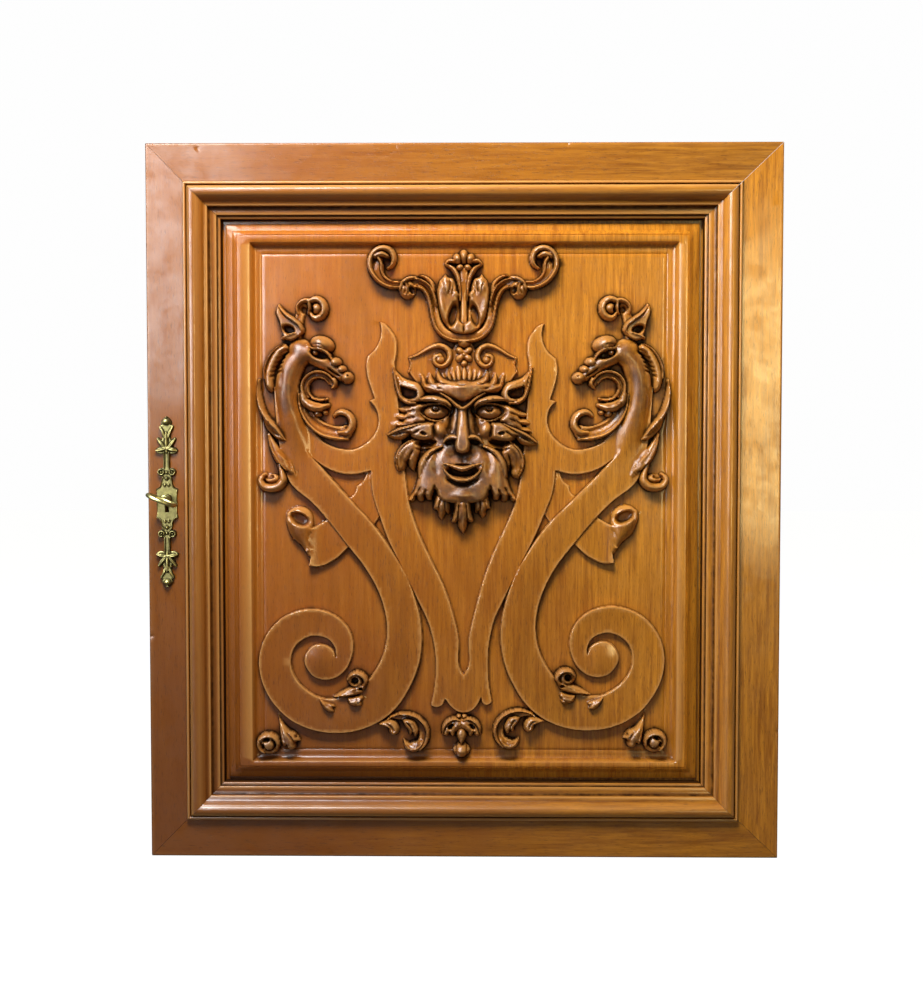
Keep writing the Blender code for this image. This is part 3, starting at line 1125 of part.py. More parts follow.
def refine(height, loops, limits, step, budget, least_error, closest):
    """Adds points where the facets miss the relief most, until the budget is spent."""
    left, right, bottom, top = limits
    xs = np.arange(left + step / 2, right, step)
    zs = np.arange(bottom + step / 2, top, step)
    grid_x, grid_z = np.meshgrid(xs, zs)
    samples = np.column_stack([grid_x.ravel(), grid_z.ravel()])
    true = height(samples[:, 0], samples[:, 1])
    chosen = np.zeros((0, 2))
    points, faces = triangulate(chosen, loops)
    cell = 16 * step
    while len(points) < budget:
        seen = outs_seen(points, faces, height(points[:, 0], points[:, 1]), samples)
        error = np.nan_to_num(np.abs(true - seen))
        keys = np.floor(samples / cell).astype(int)
        order = np.argsort(-error)
        order = order[error[order] > least_error]
        crowded = {tuple(k) for k in np.floor(points / closest).astype(int)}
        taken = set()
        picked = []
        for i in order:
            key = tuple(keys[i])
            spot = tuple(np.floor(samples[i] / closest).astype(int))
            if key in taken or spot in crowded:
                continue
            taken.add(key)
            crowded.add(spot)
            picked.append(i)
            if len(points) + len(picked) >= budget:
                break
        if not picked:
            if cell <= 2 * step:
                break
            cell /= 2
            continue
        chosen = np.vstack([chosen, samples[picked]])
        points, faces = triangulate(chosen, loops)
        cell = max(cell / 1.5, 2 * step)
    return points, faces


def inset_outline(shape, by):
    """The outline moved inwards by a small distance."""
    before = np.roll(shape, 1, axis=0)
    after = np.roll(shape, -1, axis=0)
    along = after - before
    along /= np.linalg.norm(along, axis=1)[:, None]
    normal = np.column_stack([-along[:, 1], along[:, 0]])
    area = np.sum(shape[:, 0] * after[:, 1] - after[:, 0] * shape[:, 1])
    return shape + normal * by * np.sign(area)


def unfold(points):
    """The same points on the right half of the door."""
    dx, dz = right_shift(points[:, 0], points[:, 1])
    return np.column_stack([-points[:, 0] - dx, points[:, 1] + dz])


def seen_stretches(loop, level):
    """The stretches of a strap's edge that no other carving covers."""
    x, z = loop.T
    over = relief_height(x, z)
    shown = over < level(x, z) + 0.5
    closed = np.vstack([loop, loop[:1]])
    shown = np.append(shown, shown[0])
    stretches = []
    run = []
    for point, show in zip(closed, shown):
        if show:
            run.append(tuple(point))
            continue
        if len(run) > 1:
            stretches.append(run)
        run = []
    if len(run) > 1:
        stretches.append(run)
    return stretches


def strap_loops():
    """Foot and top edge of each strap, on both halves of the door."""
    loops = []
    levels = [(FRAGMENT, UNDER_TOP), (ARM, STRAP_TOP), (BAND, OVER_TOP), (HEADBAND, HEADBAND_TOP)]
    for runs, top in levels:
        shape = outline(runs, LOOP_SPACING)
        open_side = shape[:, 0] < 0.2
        for by, level in ((-0.25, 0.0), (WALL, top)):
            loop = inset_outline(shape, by)
            loop = loop[open_side & (loop[:, 0] < -0.8)]
            for half in (loop, unfold(loop)):
                for stretch in seen_stretches(half, lambda x, z: level):
                    cleaned = [stretch[0]]
                    for point in stretch[1:]:
                        if math.dist(point, cleaned[-1]) < 3 * LOOP_SPACING:
                            cleaned.append(point)
                            continue
                        if len(cleaned) > 1:
                            loops.append((cleaned, False))
                        cleaned = [point]
                    if len(cleaned) > 1:
                        loops.append((cleaned, False))
    return loops


# From door millimetres to the part's metres


def placed(x, out, z):
    return Vector(((x - DOOR_WIDTH / 2) * MM, -(out - ORIGIN_OUT) * MM, z * MM))


def material(name, colour, roughness, metallic=0.0):
    new = bpy.data.materials.new(name)
    new.use_nodes = True
    shader = new.node_tree.nodes["Principled BSDF"]
    shader.inputs["Base Color"].default_value = (*colour, 1)
    shader.inputs["Roughness"].default_value = roughness
    shader.inputs["Metallic"].default_value = metallic
    return new


def add_object(name, mesh_maker, finish, smooth_angle=None):
    mesh = bpy.data.meshes.new(name)
    mesh_maker.to_mesh(mesh)
    mesh_maker.free()
    if smooth_angle:
        mesh.shade_smooth()
        mesh.set_sharp_from_angle(angle=math.radians(smooth_angle))
    thing = bpy.data.objects.new(name, mesh)
    thing.data.materials.append(finish)
    bpy.context.scene.collection.objects.link(thing)
    return thing


def relief_solid(points, faces, out, back):
    """A closed solid: the relief in front, a flat back and straight sides."""
    made = bmesh.new()
    front = [made.verts.new(placed(x, o, z)) for (x, z), o in zip(points, out)]
    for face in faces:
        made.faces.new([front[i] for i in face])
    rim = [e for e in made.edges if e.is_boundary]
    sides = bmesh.ops.extrude_edge_only(made, edges=rim)["geom"]
    back_y = -(back - ORIGIN_OUT) * MM
    for part in sides:
        if isinstance(part, bmesh.types.BMVert):
            part.co.y = back_y
    back_rim = [e for e in made.edges if e.is_boundary]
    bmesh.ops.holes_fill(made, edges=back_rim, sides=0)
    bmesh.ops.triangulate(made, faces=made.faces[:])
    bmesh.ops.recalc_face_normals(made, faces=made.faces[:])
    return made


# The pieces


def make_panel(finish):
    tongue = grown(moulding_inner(), MOULDING_WIDTH - UNDER_MOULDING + TONGUE_REACH)
    loops = [(rectangle_loop(tongue), True)]
    for inset, _ in BORDER_PROFILE:
        loops.append((rectangle_loop(grown(RAISED, -inset)), True))
    for inset, _ in FIELD_PROFILE:
        loops.append((rectangle_loop(grown(FIELD, -inset)), True))
    loops += strap_loops()
    points, faces = refine(panel_out, loops, FIELD, SAMPLE_STEP, PANEL_POINTS, 0.3, 2.4)
    out = panel_out(points[:, 0], points[:, 1])
    out = np.where(rectangle_inset(points[:, 0], points[:, 1], *RAISED) < -0.2, TONGUE_FRONT, out)
    return add_object("carved_panel", relief_solid(points, faces, out, TONGUE_BACK), finish, 40)


def cut_at(made, door_point, other_point, clearance, keep):
    """Cuts a piece straight through along the line of a mitre, on the side away from keep."""
    a = Vector((door_point[0], 0, door_point[1]))
    b = Vector((other_point[0], 0, other_point[1]))
    normal = (b - a).cross(Vector((0, 1, 0))).normalized()
    if (Vector((keep[0], 0, keep[1])) - a).dot(normal) > 0:
        normal = -normal
    on_plane = placed(a.x, 0, a.z) - normal * clearance * MM
    geometry = made.verts[:] + made.edges[:] + made.faces[:]
    cut = bmesh.ops.bisect_plane(made, geom=geometry, plane_co=on_plane, plane_no=normal, clear_outer=True)
    edges = [g for g in cut["geom_cut"] if isinstance(g, bmesh.types.BMEdge)]
    bmesh.ops.holes_fill(made, edges=edges, sides=0)


def bar(section, side):
    """A straight bar along one side of the door; the section runs inwards and out."""
    half_w = DOOR_WIDTH / 2
    half_h = DOOR_HEIGHT / 2
    reach = half_h if side in ("left", "right") else half_w

    def spot(inward, out, along):
        if side == "left":
            return placed(-half_w + inward, out, along)
        if side == "right":
            return placed(half_w - inward, out, along)
        if side == "top":
            return placed(along, out, half_h - inward)
        return placed(along, out, -half_h + inward)

    made = bmesh.new()
    ends = []
    for along in (-reach, reach):
        ends.append([made.verts.new(spot(u, v, along)) for u, v in section])
    made.faces.new(ends[0])
    made.faces.new(list(reversed(ends[1])))
    for i in range(len(section)):
        j = (i + 1) % len(section)
        made.faces.new((ends[0][i], ends[1][i], ends[1][j], ends[0][j]))
    bmesh.ops.recalc_face_normals(made, faces=made.faces[:])
    return made


def shown_width(side):
    return {"left": SHOWN_LEFT, "right": SHOWN_RIGHT}.get(side, SHOWN_RAIL)


def corner(across, up, inward):
    """A corner of the rectangle that lies this far inside the shown edge of the frame."""
    x = -DOOR_WIDTH / 2 + SHOWN_LEFT + inward
    if across == "right":
        x = DOOR_WIDTH / 2 - SHOWN_RIGHT - inward
    z = DOOR_HEIGHT / 2 - SHOWN_RAIL - inward
    return x, z if up == "top" else -z


SIDE_CORNERS = {
    "left": (("left", "top"), ("left", "bottom")),
    "right": (("right", "top"), ("right", "bottom")),
    "top": (("left", "top"), ("right", "top")),
    "bottom": (("left", "bottom"), ("right", "bottom")),
}


def frame_section(side):
    width = shown_width(side) + UNDER_MOULDING
    lip = width - GROOVE_DEPTH
    front = TONGUE_FRONT + GAP
    back = TONGUE_BACK - GAP
    section = [(0, -FRAME_THICKNESS), (0, -EDGE_ROUND), (EDGE_ROUND * 0.3, -EDGE_ROUND * 0.3),
               (EDGE_ROUND, 0)]
    section += [(width, 0), (width, front), (lip, front), (lip, back), (width, back),
                (width, -FRAME_THICKNESS)]
    return section


def moulding_section(side):
    """Bead, swelling torus, steep slope, then two fillets down to the shadow groove."""
    face = [(0, GAP), (0, 3.3), (0.9, 4.5), (2.4, 4.9), (3.6, 4.2), (4.6, 4.2), (5.4, 5.8), (7.8, 7.6),
            (10.6, 8.2),
            (13.2, 7.4), (15.6, 5.2), (17.6, 2.2), (19.4, 0.0), (22.0, -1.2), (24.0, -1.5), (24.5, -3.4),
            (25.6, -4.6), (29.2, -4.8), (29.5, -6.8), (32.6, -7.1), (MOULDING_WIDTH, -7.8)]
    bottom = TONGUE_FRONT + GAP
    face += [(MOULDING_WIDTH, bottom), (UNDER_MOULDING + GAP, bottom), (UNDER_MOULDING + GAP, GAP)]
    return [(shown_width(side) + inward, out) for inward, out in face]


def make_frame(wood):
    for side, corners in SIDE_CORNERS.items():
        made = bar(frame_section(side), side)
        middle = corner(*corners[0], 0)
        other = corner(*corners[1], 0)
        keep = ((middle[0] + other[0]) / 2, (middle[1] + other[1]) / 2)
        for across, up in corners:
            x = DOOR_WIDTH / 2 * (1 if across == "right" else -1)
            z = DOOR_HEIGHT / 2 * (1 if up == "top" else -1)
            cut_at(made, (x, z), corner(across, up, UNDER_MOULDING), GAP / 2, keep)
            a = (x - math.copysign(CORNER_CUT, x), z)
            b = (x, z - math.copysign(CORNER_CUT, z))
            cut_at(made, a, b, 0, (0, 0))
        name = f"frame_stile_{side}" if side in ("left", "right") else f"frame_rail_{side}"
        yield add_object(name, made, wood[side])


def make_mouldings(wood):
    for side, corners in SIDE_CORNERS.items():
        made = bar(moulding_section(side), side)
        a = corner(*corners[0], 0)
        b = corner(*corners[1], 0)
        keep = ((a[0] + b[0]) / 2, (a[1] + b[1]) / 2)
        for across, up in corners:
            cut_at(made, corner(across, up, 0), corner(across, up, MOULDING_WIDTH), GAP / 2, keep)
        yield add_object(f"moulding_{side}", made, wood[side], 28)


def keyhole_outline(clear=0.0):
    """Round above, with a slot below, as points in door millimetres."""
    radius = KEYHOLE_RADIUS - clear
    half = KEYHOLE_SLOT - clear
    open_angle = math.degrees(math.asin(half / radius))
    shape = arc(ESCUTCHEON_X, KEYHOLE_Z, radius, radius, -90 + open_angle, 270 - open_angle, 12)
    return shape + [(ESCUTCHEON_X - half, KEYHOLE_FOOT + clear), (ESCUTCHEON_X + half, KEYHOLE_FOOT + clear)]


def cut_keyhole(stile):
    made = bmesh.new()
    rings = []
    for out in (4.0, -KEYHOLE_DEPTH):
        rings.append([made.verts.new(placed(x, out, z)) for x, z in keyhole_outline()])
    made.faces.new(rings[0])
    made.faces.new(list(reversed(rings[1])))
    for i in range(len(rings[0])):
        j = (i + 1) % len(rings[0])
        made.faces.new((rings[0][i], rings[1][i], rings[1][j], rings[0][j]))
    bmesh.ops.recalc_face_normals(made, faces=made.faces[:])
    cutter = add_object("keyhole_cutter", made, stile.data.materials[0])
    cutter.hide_render = True
    cutter.display_type = "WIRE"
    cut = stile.modifiers.new("keyhole", "BOOLEAN")
    cut.operation = "DIFFERENCE"
    cut.object = cutter


# The escutcheon, drawn about its own middle

PLATE_SIDE = [
    [(9.4, 0), (9.0, 6), (9.3, 10), (10.0, 13.2)],
    [(10.0, 13.2), (6.8, 14.8), (5.3, 17.5), (5.0, 21), (4.0, 24.4)],
    [(4.0, 24.4), (6.4, 24.8), (8.4, 27), (8.2, 29.6), (5.8, 31.5), (3.1, 32)],
    [(3.1, 32), (3.0, 44.4)],
    [(3.0, 44.4), (6.2, 44.2), (9.0, 45.4), (10.3, 47.4), (8.4, 50), (5.8, 51.2)],
    [(5.8, 51.2), (7.6, 54.5), (8.8, 58), (7.6, 59.4), (5.6, 58.2), (4.2, 57)],
    [(4.2, 57), (3.8, 60), (4.6, 64.5), (6.6, 68.8), (5.6, 70.2), (4.0, 70.4)],
    [(4.0, 70.4), (5.0, 72.4), (3.4, 75.5), (0, 78.2)],
]
LOWER_SCALE = 0.965


def plate_outline(spacing):
    """The escutcheon's whole outline in door millimetres."""
    upper = outline(PLATE_SIDE, spacing)
    upper = np.vstack([upper, [[0, PLATE_SIDE[-1][-1][1]]]])
    right_up = upper[1:]
    left_up = (upper * [-1, 1])[::-1][1:]
    lower_left = (upper * [-1, -LOWER_SCALE])[1:]
    lower_right = (upper * [1, -LOWER_SCALE])[::-1][1:]
    whole = np.vstack([right_up, left_up, lower_left[:-1], lower_right])
    return whole + [ESCUTCHEON_X, 0]


def escutcheon_height(x, z):
    """Thickness of the cast plate: ribbed stems, scrolls, leaves and bosses."""
    u = np.abs(x - ESCUTCHEON_X)
    w = np.where(z < 0, -z / LOWER_SCALE, z)
    r = Relief(u, w)
    r.stroke([(10, 13), (9.2, 6), (9.2, -1)], [1.1, 1.0, 1.0], [3.2, 3.0, 3.0], blend=0.3)
    r.stroke([(10, 13), (6, 15.6), (5, 20), (3.4, 24)], [1.1, 1.2, 1.2, 1.0], [3.2, 3.4, 3.4, 3.2],
             blend=0.3)
    r.dome(0, 22.4, 1.9, 1.9, 4.6)
    r.dome(1.7, 16.6, 1.3, 2.2, 3.8, angle=10)
    r.stroke(arc(5.0, 28.2, 2.4, 2.4, 100, -200, 8), [1.1] * 9, [4.2] * 9, blend=0.3)
    r.dome(5.0, 28.2, 1.3, 1.3, 4.2)
    r.dome(0, 27.6, 1.6, 1.6, 4.2)
    r.stroke([(2.3, 32), (2.2, 46)], [0.9, 0.9], [3.6, 3.6], blend=0.3)
    r.stroke([(1.5, 49), (5, 48.4), (9.8, 47.2)], [1.8, 2.4, 0.8], [4.4, 5.0, 3.6], profile="vein")
    r.stroke([(1.2, 49), (4.6, 53.5), (8.2, 58.4)], [1.6, 2.1, 0.8], [4.6, 4.8, 3.6], profile="vein")
    r.stroke([(0, 46), (0, 55), (0, 63)], [1.6, 2.2, 1.4], [3.6, 4.4, 4.4])
    r.stroke([(1, 59), (3.4, 64), (5.9, 69.4)], [1.5, 1.9, 0.8], [4.0, 4.6, 3.6], profile="vein")
    r.dome(0, 73.2, 4.2, 3.4, 5.2)
    r.dome(0, 77, 1.4, 1.4, 4.2)
    edge = depth_inside(plate_outline(1.5), x, z)
    plate = ESCUTCHEON_THICKNESS * (0.55 + 0.45 * ease(edge / 0.7))
    return np.maximum(plate, r.h * ease((edge + 0.2) / 0.6))


def make_escutcheon(brass):
    rim = plate_outline(2.6)
    hole = keyhole_outline()
    loops = [([tuple(p) for p in rim], True), (hole, True)]
    limits = (ESCUTCHEON_X - 11, ESCUTCHEON_X + 11, -76, 79)

    def height(x, z):
        outside = depth_inside(rim, x, z) < 0
        return np.where(outside, 0, escutcheon_height(x, z))

    points, faces = refine(height, loops, limits, 0.75, ESCUTCHEON_POINTS, 0.3, 0.7)
    middles = np.array([points[list(f)].mean(axis=0) for f in faces])
    keep = depth_inside(rim, middles[:, 0], middles[:, 1]) > 0
    keep &= depth_inside(np.array(hole), middles[:, 0], middles[:, 1]) < 0
    faces = [f for f, kept in zip(faces, keep) if kept]
    used = sorted({i for f in faces for i in f})
    renumber = {old: new for new, old in enumerate(used)}
    faces = [[renumber[i] for i in f] for f in faces]
    points = points[used]
    out = GAP + escutcheon_height(points[:, 0], points[:, 1])
    return add_object("escutcheon", relief_solid(points, faces, out, GAP), brass, 40)


def ring_of(made, centre, axis_u, axis_v, ru, rv, steps):
    turn = 2 * math.pi / steps
    return [made.verts.new(centre + axis_u * ru * math.cos(i * turn) + axis_v * rv * math.sin(i * turn))
            for i in range(steps)]


def bridge(made, low, high):
    for i in range(len(low)):
        j = (i + 1) % len(low)
        made.faces.new((low[i], low[j], high[j], high[i]))


def make_key(brass):
    """A turned shank with a collar, a flat bit and an oval ring for a bow."""
    made = bmesh.new()
    across = Vector((1, 0, 0))
    up = Vector((0, 0, 1))
    # out, radius in millimetres down the turned shank
    profile = [(-17, 1.6), (-16, KEY_SHANK_RADIUS), (5.5, KEY_SHANK_RADIUS), (6.5, 4.6), (8.0, 4.9),
               (9.0, 3.6),
               (10.5, 3.4), (11.5, 4.4), (13.5, 4.2), (15.0, 2.6), (17.0, 2.0)]
    rings = [ring_of(made, placed(ESCUTCHEON_X, out, KEYHOLE_Z), across * MM, up * MM, r, r, 12)
             for out, r in profile]
    for low, high in zip(rings, rings[1:]):
        bridge(made, low, high)
    made.faces.new(list(reversed(rings[0])))
    made.faces.new(rings[-1])
    bmesh.ops.recalc_face_normals(made, faces=made.faces[:])
    key = add_object("key", made, brass, 35)
    bow_turn = math.radians(-KEY_TURN)
    wide = Vector((math.cos(bow_turn), 0, math.sin(bow_turn)))
    thick = wide.cross(Vector((0, -1, 0)))
    bow_depth = 11.5
    centre = placed(ESCUTCHEON_X, KEY_OUT - bow_depth, KEYHOLE_Z)
    bow = bmesh.new()
    loops = []
    for i in range(20):
        angle = 2 * math.pi * i / 20
        outward = wide * math.cos(angle) + Vector((0, -1, 0)) * math.sin(angle)
        spine = wide * 12.4 * math.cos(angle) + Vector((0, -1, 0)) * (bow_depth - 1.9) * math.sin(angle)
        loops.append(ring_of(bow, centre + spine * MM, outward * MM, thick * MM, 1.9, 1.9, 6))
    for low, high in zip(loops, loops[1:] + loops[:1]):
        bridge(bow, low, high)
    bmesh.ops.recalc_face_normals(bow, faces=bow.faces[:])
    union_with(key, "key_bow_form", bow)
    bit = bmesh.new()
    bmesh.ops.create_cube(bit, size=1)
    for vert in bit.verts:
        x = ESCUTCHEON_X + vert.co.x * 2.4
        out = -11.5 + vert.co.y * 7
        z = KEYHOLE_Z - 6.2 + vert.co.z * 9.6
        vert.co = placed(x, out, z)
    bmesh.ops.recalc_face_normals(bit, faces=bit.faces[:])
    union_with(key, "key_bit_form", bit)
    return key


def union_with(thing, name, made):
    """Joins one more form to an object with a Boolean union."""
    form = add_object(name, made, thing.data.materials[0])
    form.hide_render = True
    form.display_type = "WIRE"
    join = thing.modifiers.new(name, "BOOLEAN")
    join.operation = "UNION"
    join.object = form


def clear_scene():
    for thing in list(bpy.data.objects):
        bpy.data.objects.remove(thing, do_unlink=True)


def main():
    clear_scene()
    carved_walnut = material("carved_walnut", (0.40, 0.19, 0.06), 0.38)
    stile_walnut = material("stile_walnut", (0.33, 0.13, 0.05), 0.42)
    rail_walnut = material("rail_walnut", (0.36, 0.17, 0.06), 0.42)
    brass = material("aged_brass", (0.40, 0.33, 0.14), 0.38, 1.0)
    key_brass = material("worn_key_brass", (0.62, 0.55, 0.22), 0.32, 1.0)
    wood = {"left": stile_walnut, "right": stile_walnut, "top": rail_walnut, "bottom": rail_walnut}
    members = list(make_frame(wood))
    list(make_mouldings(wood))
    stile_left = next(m for m in members if m.name == "frame_stile_left")
    cut_keyhole(stile_left)
    make_panel(carved_walnut)
    make_escutcheon(brass)
    make_key(key_brass)


main()
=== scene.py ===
"""A carved walnut cabinet door with a leafy mascaron, standing in soft light.

The door is drawn flat in millimetres about its own middle: x runs to the right, z up, and
"out" is the height over the front face of the frame.
"""

import math

import bmesh
import bpy
import numpy as np
from mathutils import Matrix, Vector
from mathutils.geometry import delaunay_2d_cdt
from mathutils.kdtree import KDTree


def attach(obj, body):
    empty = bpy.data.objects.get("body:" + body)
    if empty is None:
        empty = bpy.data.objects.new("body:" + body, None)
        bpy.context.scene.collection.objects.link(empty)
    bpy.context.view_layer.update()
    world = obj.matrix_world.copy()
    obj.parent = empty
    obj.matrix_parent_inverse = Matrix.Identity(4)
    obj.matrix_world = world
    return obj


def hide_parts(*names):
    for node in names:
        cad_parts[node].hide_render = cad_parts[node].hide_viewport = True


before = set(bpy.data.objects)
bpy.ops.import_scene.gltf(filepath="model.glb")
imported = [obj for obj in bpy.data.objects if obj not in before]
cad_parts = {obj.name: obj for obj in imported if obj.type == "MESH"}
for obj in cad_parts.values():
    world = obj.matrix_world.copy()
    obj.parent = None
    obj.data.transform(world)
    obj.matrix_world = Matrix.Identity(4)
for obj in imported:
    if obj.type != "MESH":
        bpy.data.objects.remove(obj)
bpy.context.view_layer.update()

MM = 0.001
GAP = 0.3

# The door
DOOR_WIDTH = 566.0
DOOR_HEIGHT = 640.0
FRAME_THICKNESS = 26.0
ORIGIN_OUT = -FRAME_THICKNESS / 2
SHOWN_LEFT = 33.0
SHOWN_RIGHT = 36.0
SHOWN_RAIL = 33.7
UNDER_MOULDING = 16.5
TONGUE_FRONT = -16.7
TONGUE_BACK = -24.0
GROOVE_DEPTH = 7.0
TONGUE_REACH = 6.5
MOULDING_WIDTH = 33.0

# Carved panel
SHADOW_GROOVE = 3.2
EDGE_FLAT_OUT = -12.2
MARGIN_OUT = -9.0
GROUND_OUT = -15.0
FIELD_LEFT = -192.4
FIELD_RIGHT = 192.7
FIELD_TOP = 234.1
FIELD_BOTTOM = -235.6
SCRIBED_INSET = 10.5

# Lock furniture
ESCUTCHEON_X = -265.6
ESCUTCHEON_THICKNESS = 2.2
KEYHOLE_Z = 4.0
KEYHOLE_RADIUS = 4.7
KEYHOLE_SLOT = 2.0
KEYHOLE_FOOT = -8.0
KEYHOLE_DEPTH = 20.0
KEY_SHANK_RADIUS = 3.0
KEY_OUT = 38.0
KEY_TURN = 22.0
BOW_DEPTH = 11.5
BOW_HALF_WIDTH = 12.4
BOW_WIRE = 1.85

# How finely the carving is meshed
PANEL_POINTS = 96500
FINE_STEP = 0.85
EDGE_STEP = 1.6
OUTLINE_STEP = 1.2
STROKE_STEP = 0.9
LEAF_STEP = 1.3
RIM_BLEND = 0.5
STRAP_WALL = 0.8
PLATE_STEP = 0.34
PANEL_SHARP = 66
FRAME_SHARP = 50


# Curves and distances


def run_through(points, spacing):
    """Points about evenly spaced along one smooth curve through the given points."""
    p = np.array(points, dtype=float)
    if len(p) == 2:
        count = max(1, int(np.ceil(np.linalg.norm(p[1] - p[0]) / spacing)))
        t = np.linspace(0, 1, count + 1)[:, None]
        return p[0] * (1 - t) + p[1] * t
    gaps = np.linalg.norm(np.diff(p, axis=0), axis=1)
    slope = np.diff(p, axis=0) / gaps[:, None]
    tangent = np.empty_like(p)
    both = (gaps[:-1] + gaps[1:])[:, None]
    tangent[1:-1] = (slope[:-1] * gaps[1:, None] + slope[1:] * gaps[:-1, None]) / both
    tangent[0] = 1.5 * slope[0] - 0.5 * tangent[1]
    tangent[-1] = 1.5 * slope[-1] - 0.5 * tangent[-2]
    out = []
    for i, gap in enumerate(gaps):
        steps = max(1, round(gap / spacing))
        t = np.arange(steps)[:, None] / steps
        a = 2 * t**3 - 3 * t**2 + 1
        b = t**3 - 2 * t**2 + t
        c = -2 * t**3 + 3 * t**2
        d = t**3 - t**2
        out.append(a * p[i] + b * gap * tangent[i] + c * p[i + 1] + d * gap * tangent[i + 1])
    out.append(p[-1:])
    return np.vstack(out)


def closed(*runs):
    """Runs of points that each start where the one before ended, all the way round."""
    return [[runs[i - 1][-1], *run] for i, run in enumerate(runs)]


def outline(runs, spacing):
    """One closed outline from smooth runs that meet at its corners."""
    return np.vstack([run_through(run, spacing)[:-1] for run in runs])


def arc(cx, cz, rx, rz, start, stop, steps=8):
    """Points on part of an ellipse, between two angles in degrees."""
    angles = np.radians(np.linspace(start, stop, steps + 1))
    return [(cx + rx * math.cos(a), cz + rz * math.sin(a)) for a in angles]


def spread(values, position):
    """A list of values read at positions between 0 and 1 along it, with its bends softened."""
    stops = np.linspace(0, 1, len(values))
    soft = 0.25 / len(values)
    sides = np.interp(position - soft, stops, values) + np.interp(position + soft, stops, values)
    return (np.interp(position, stops, values) * 2 + sides) / 4


def nearest_on(path, x, z):
    """Distance to a path and the place of the nearest point along it, from 0 to 1."""
    if not x.size:
        return x, x
    a = path[:-1]
    b = path[1:]
    along = b - a
    length = np.linalg.norm(along, axis=1)
    start = np.concatenate([[0], np.cumsum(length)])[:-1]
    best = np.full(x.shape, 1e9)
    place = np.zeros(x.shape)
    for i in range(len(a)):
        dx = x - a[i, 0]
        dz = z - a[i, 1]
        t = np.clip((dx * along[i, 0] + dz * along[i, 1]) / max(length[i]**2, 1e-9), 0, 1)
        d = (dx - t * along[i, 0])**2 + (dz - t * along[i, 1])**2
        closer = d < best
        best = np.where(closer, d, best)
        place = np.where(closer, start[i] + t * length[i], place)
    return np.sqrt(best), place / (start[-1] + length[-1])


def depth_inside(shape, x, z):
    """Distance in from a closed outline, negative outside it."""
    if not x.size:
        return x
    a = shape
    b = np.roll(shape, -1, axis=0)
    best = np.full(x.shape, 1e9)
    inside = np.zeros(x.shape, dtype=bool)
    for i in range(len(a)):
        ex, ez = b[i] - a[i]
        dx = x - a[i, 0]
        dz = z - a[i, 1]
        t = np.clip((dx * ex + dz * ez) / max(ex * ex + ez * ez, 1e-9), 0, 1)
        best = np.minimum(best, (dx - t * ex)**2 + (dz - t * ez)**2)
        if ez != 0:
            cross = (a[i, 1] > z) != (b[i, 1] > z)
            inside ^= cross & (dx < dz * ex / ez)
    return np.where(inside, np.sqrt(best), -np.sqrt(best))


def ease(value):
    """A smooth step from 0 to 1."""
    t = np.clip(value, 0, 1)
    return t * t * (3 - 2 * t)


# Strokes of the gouge


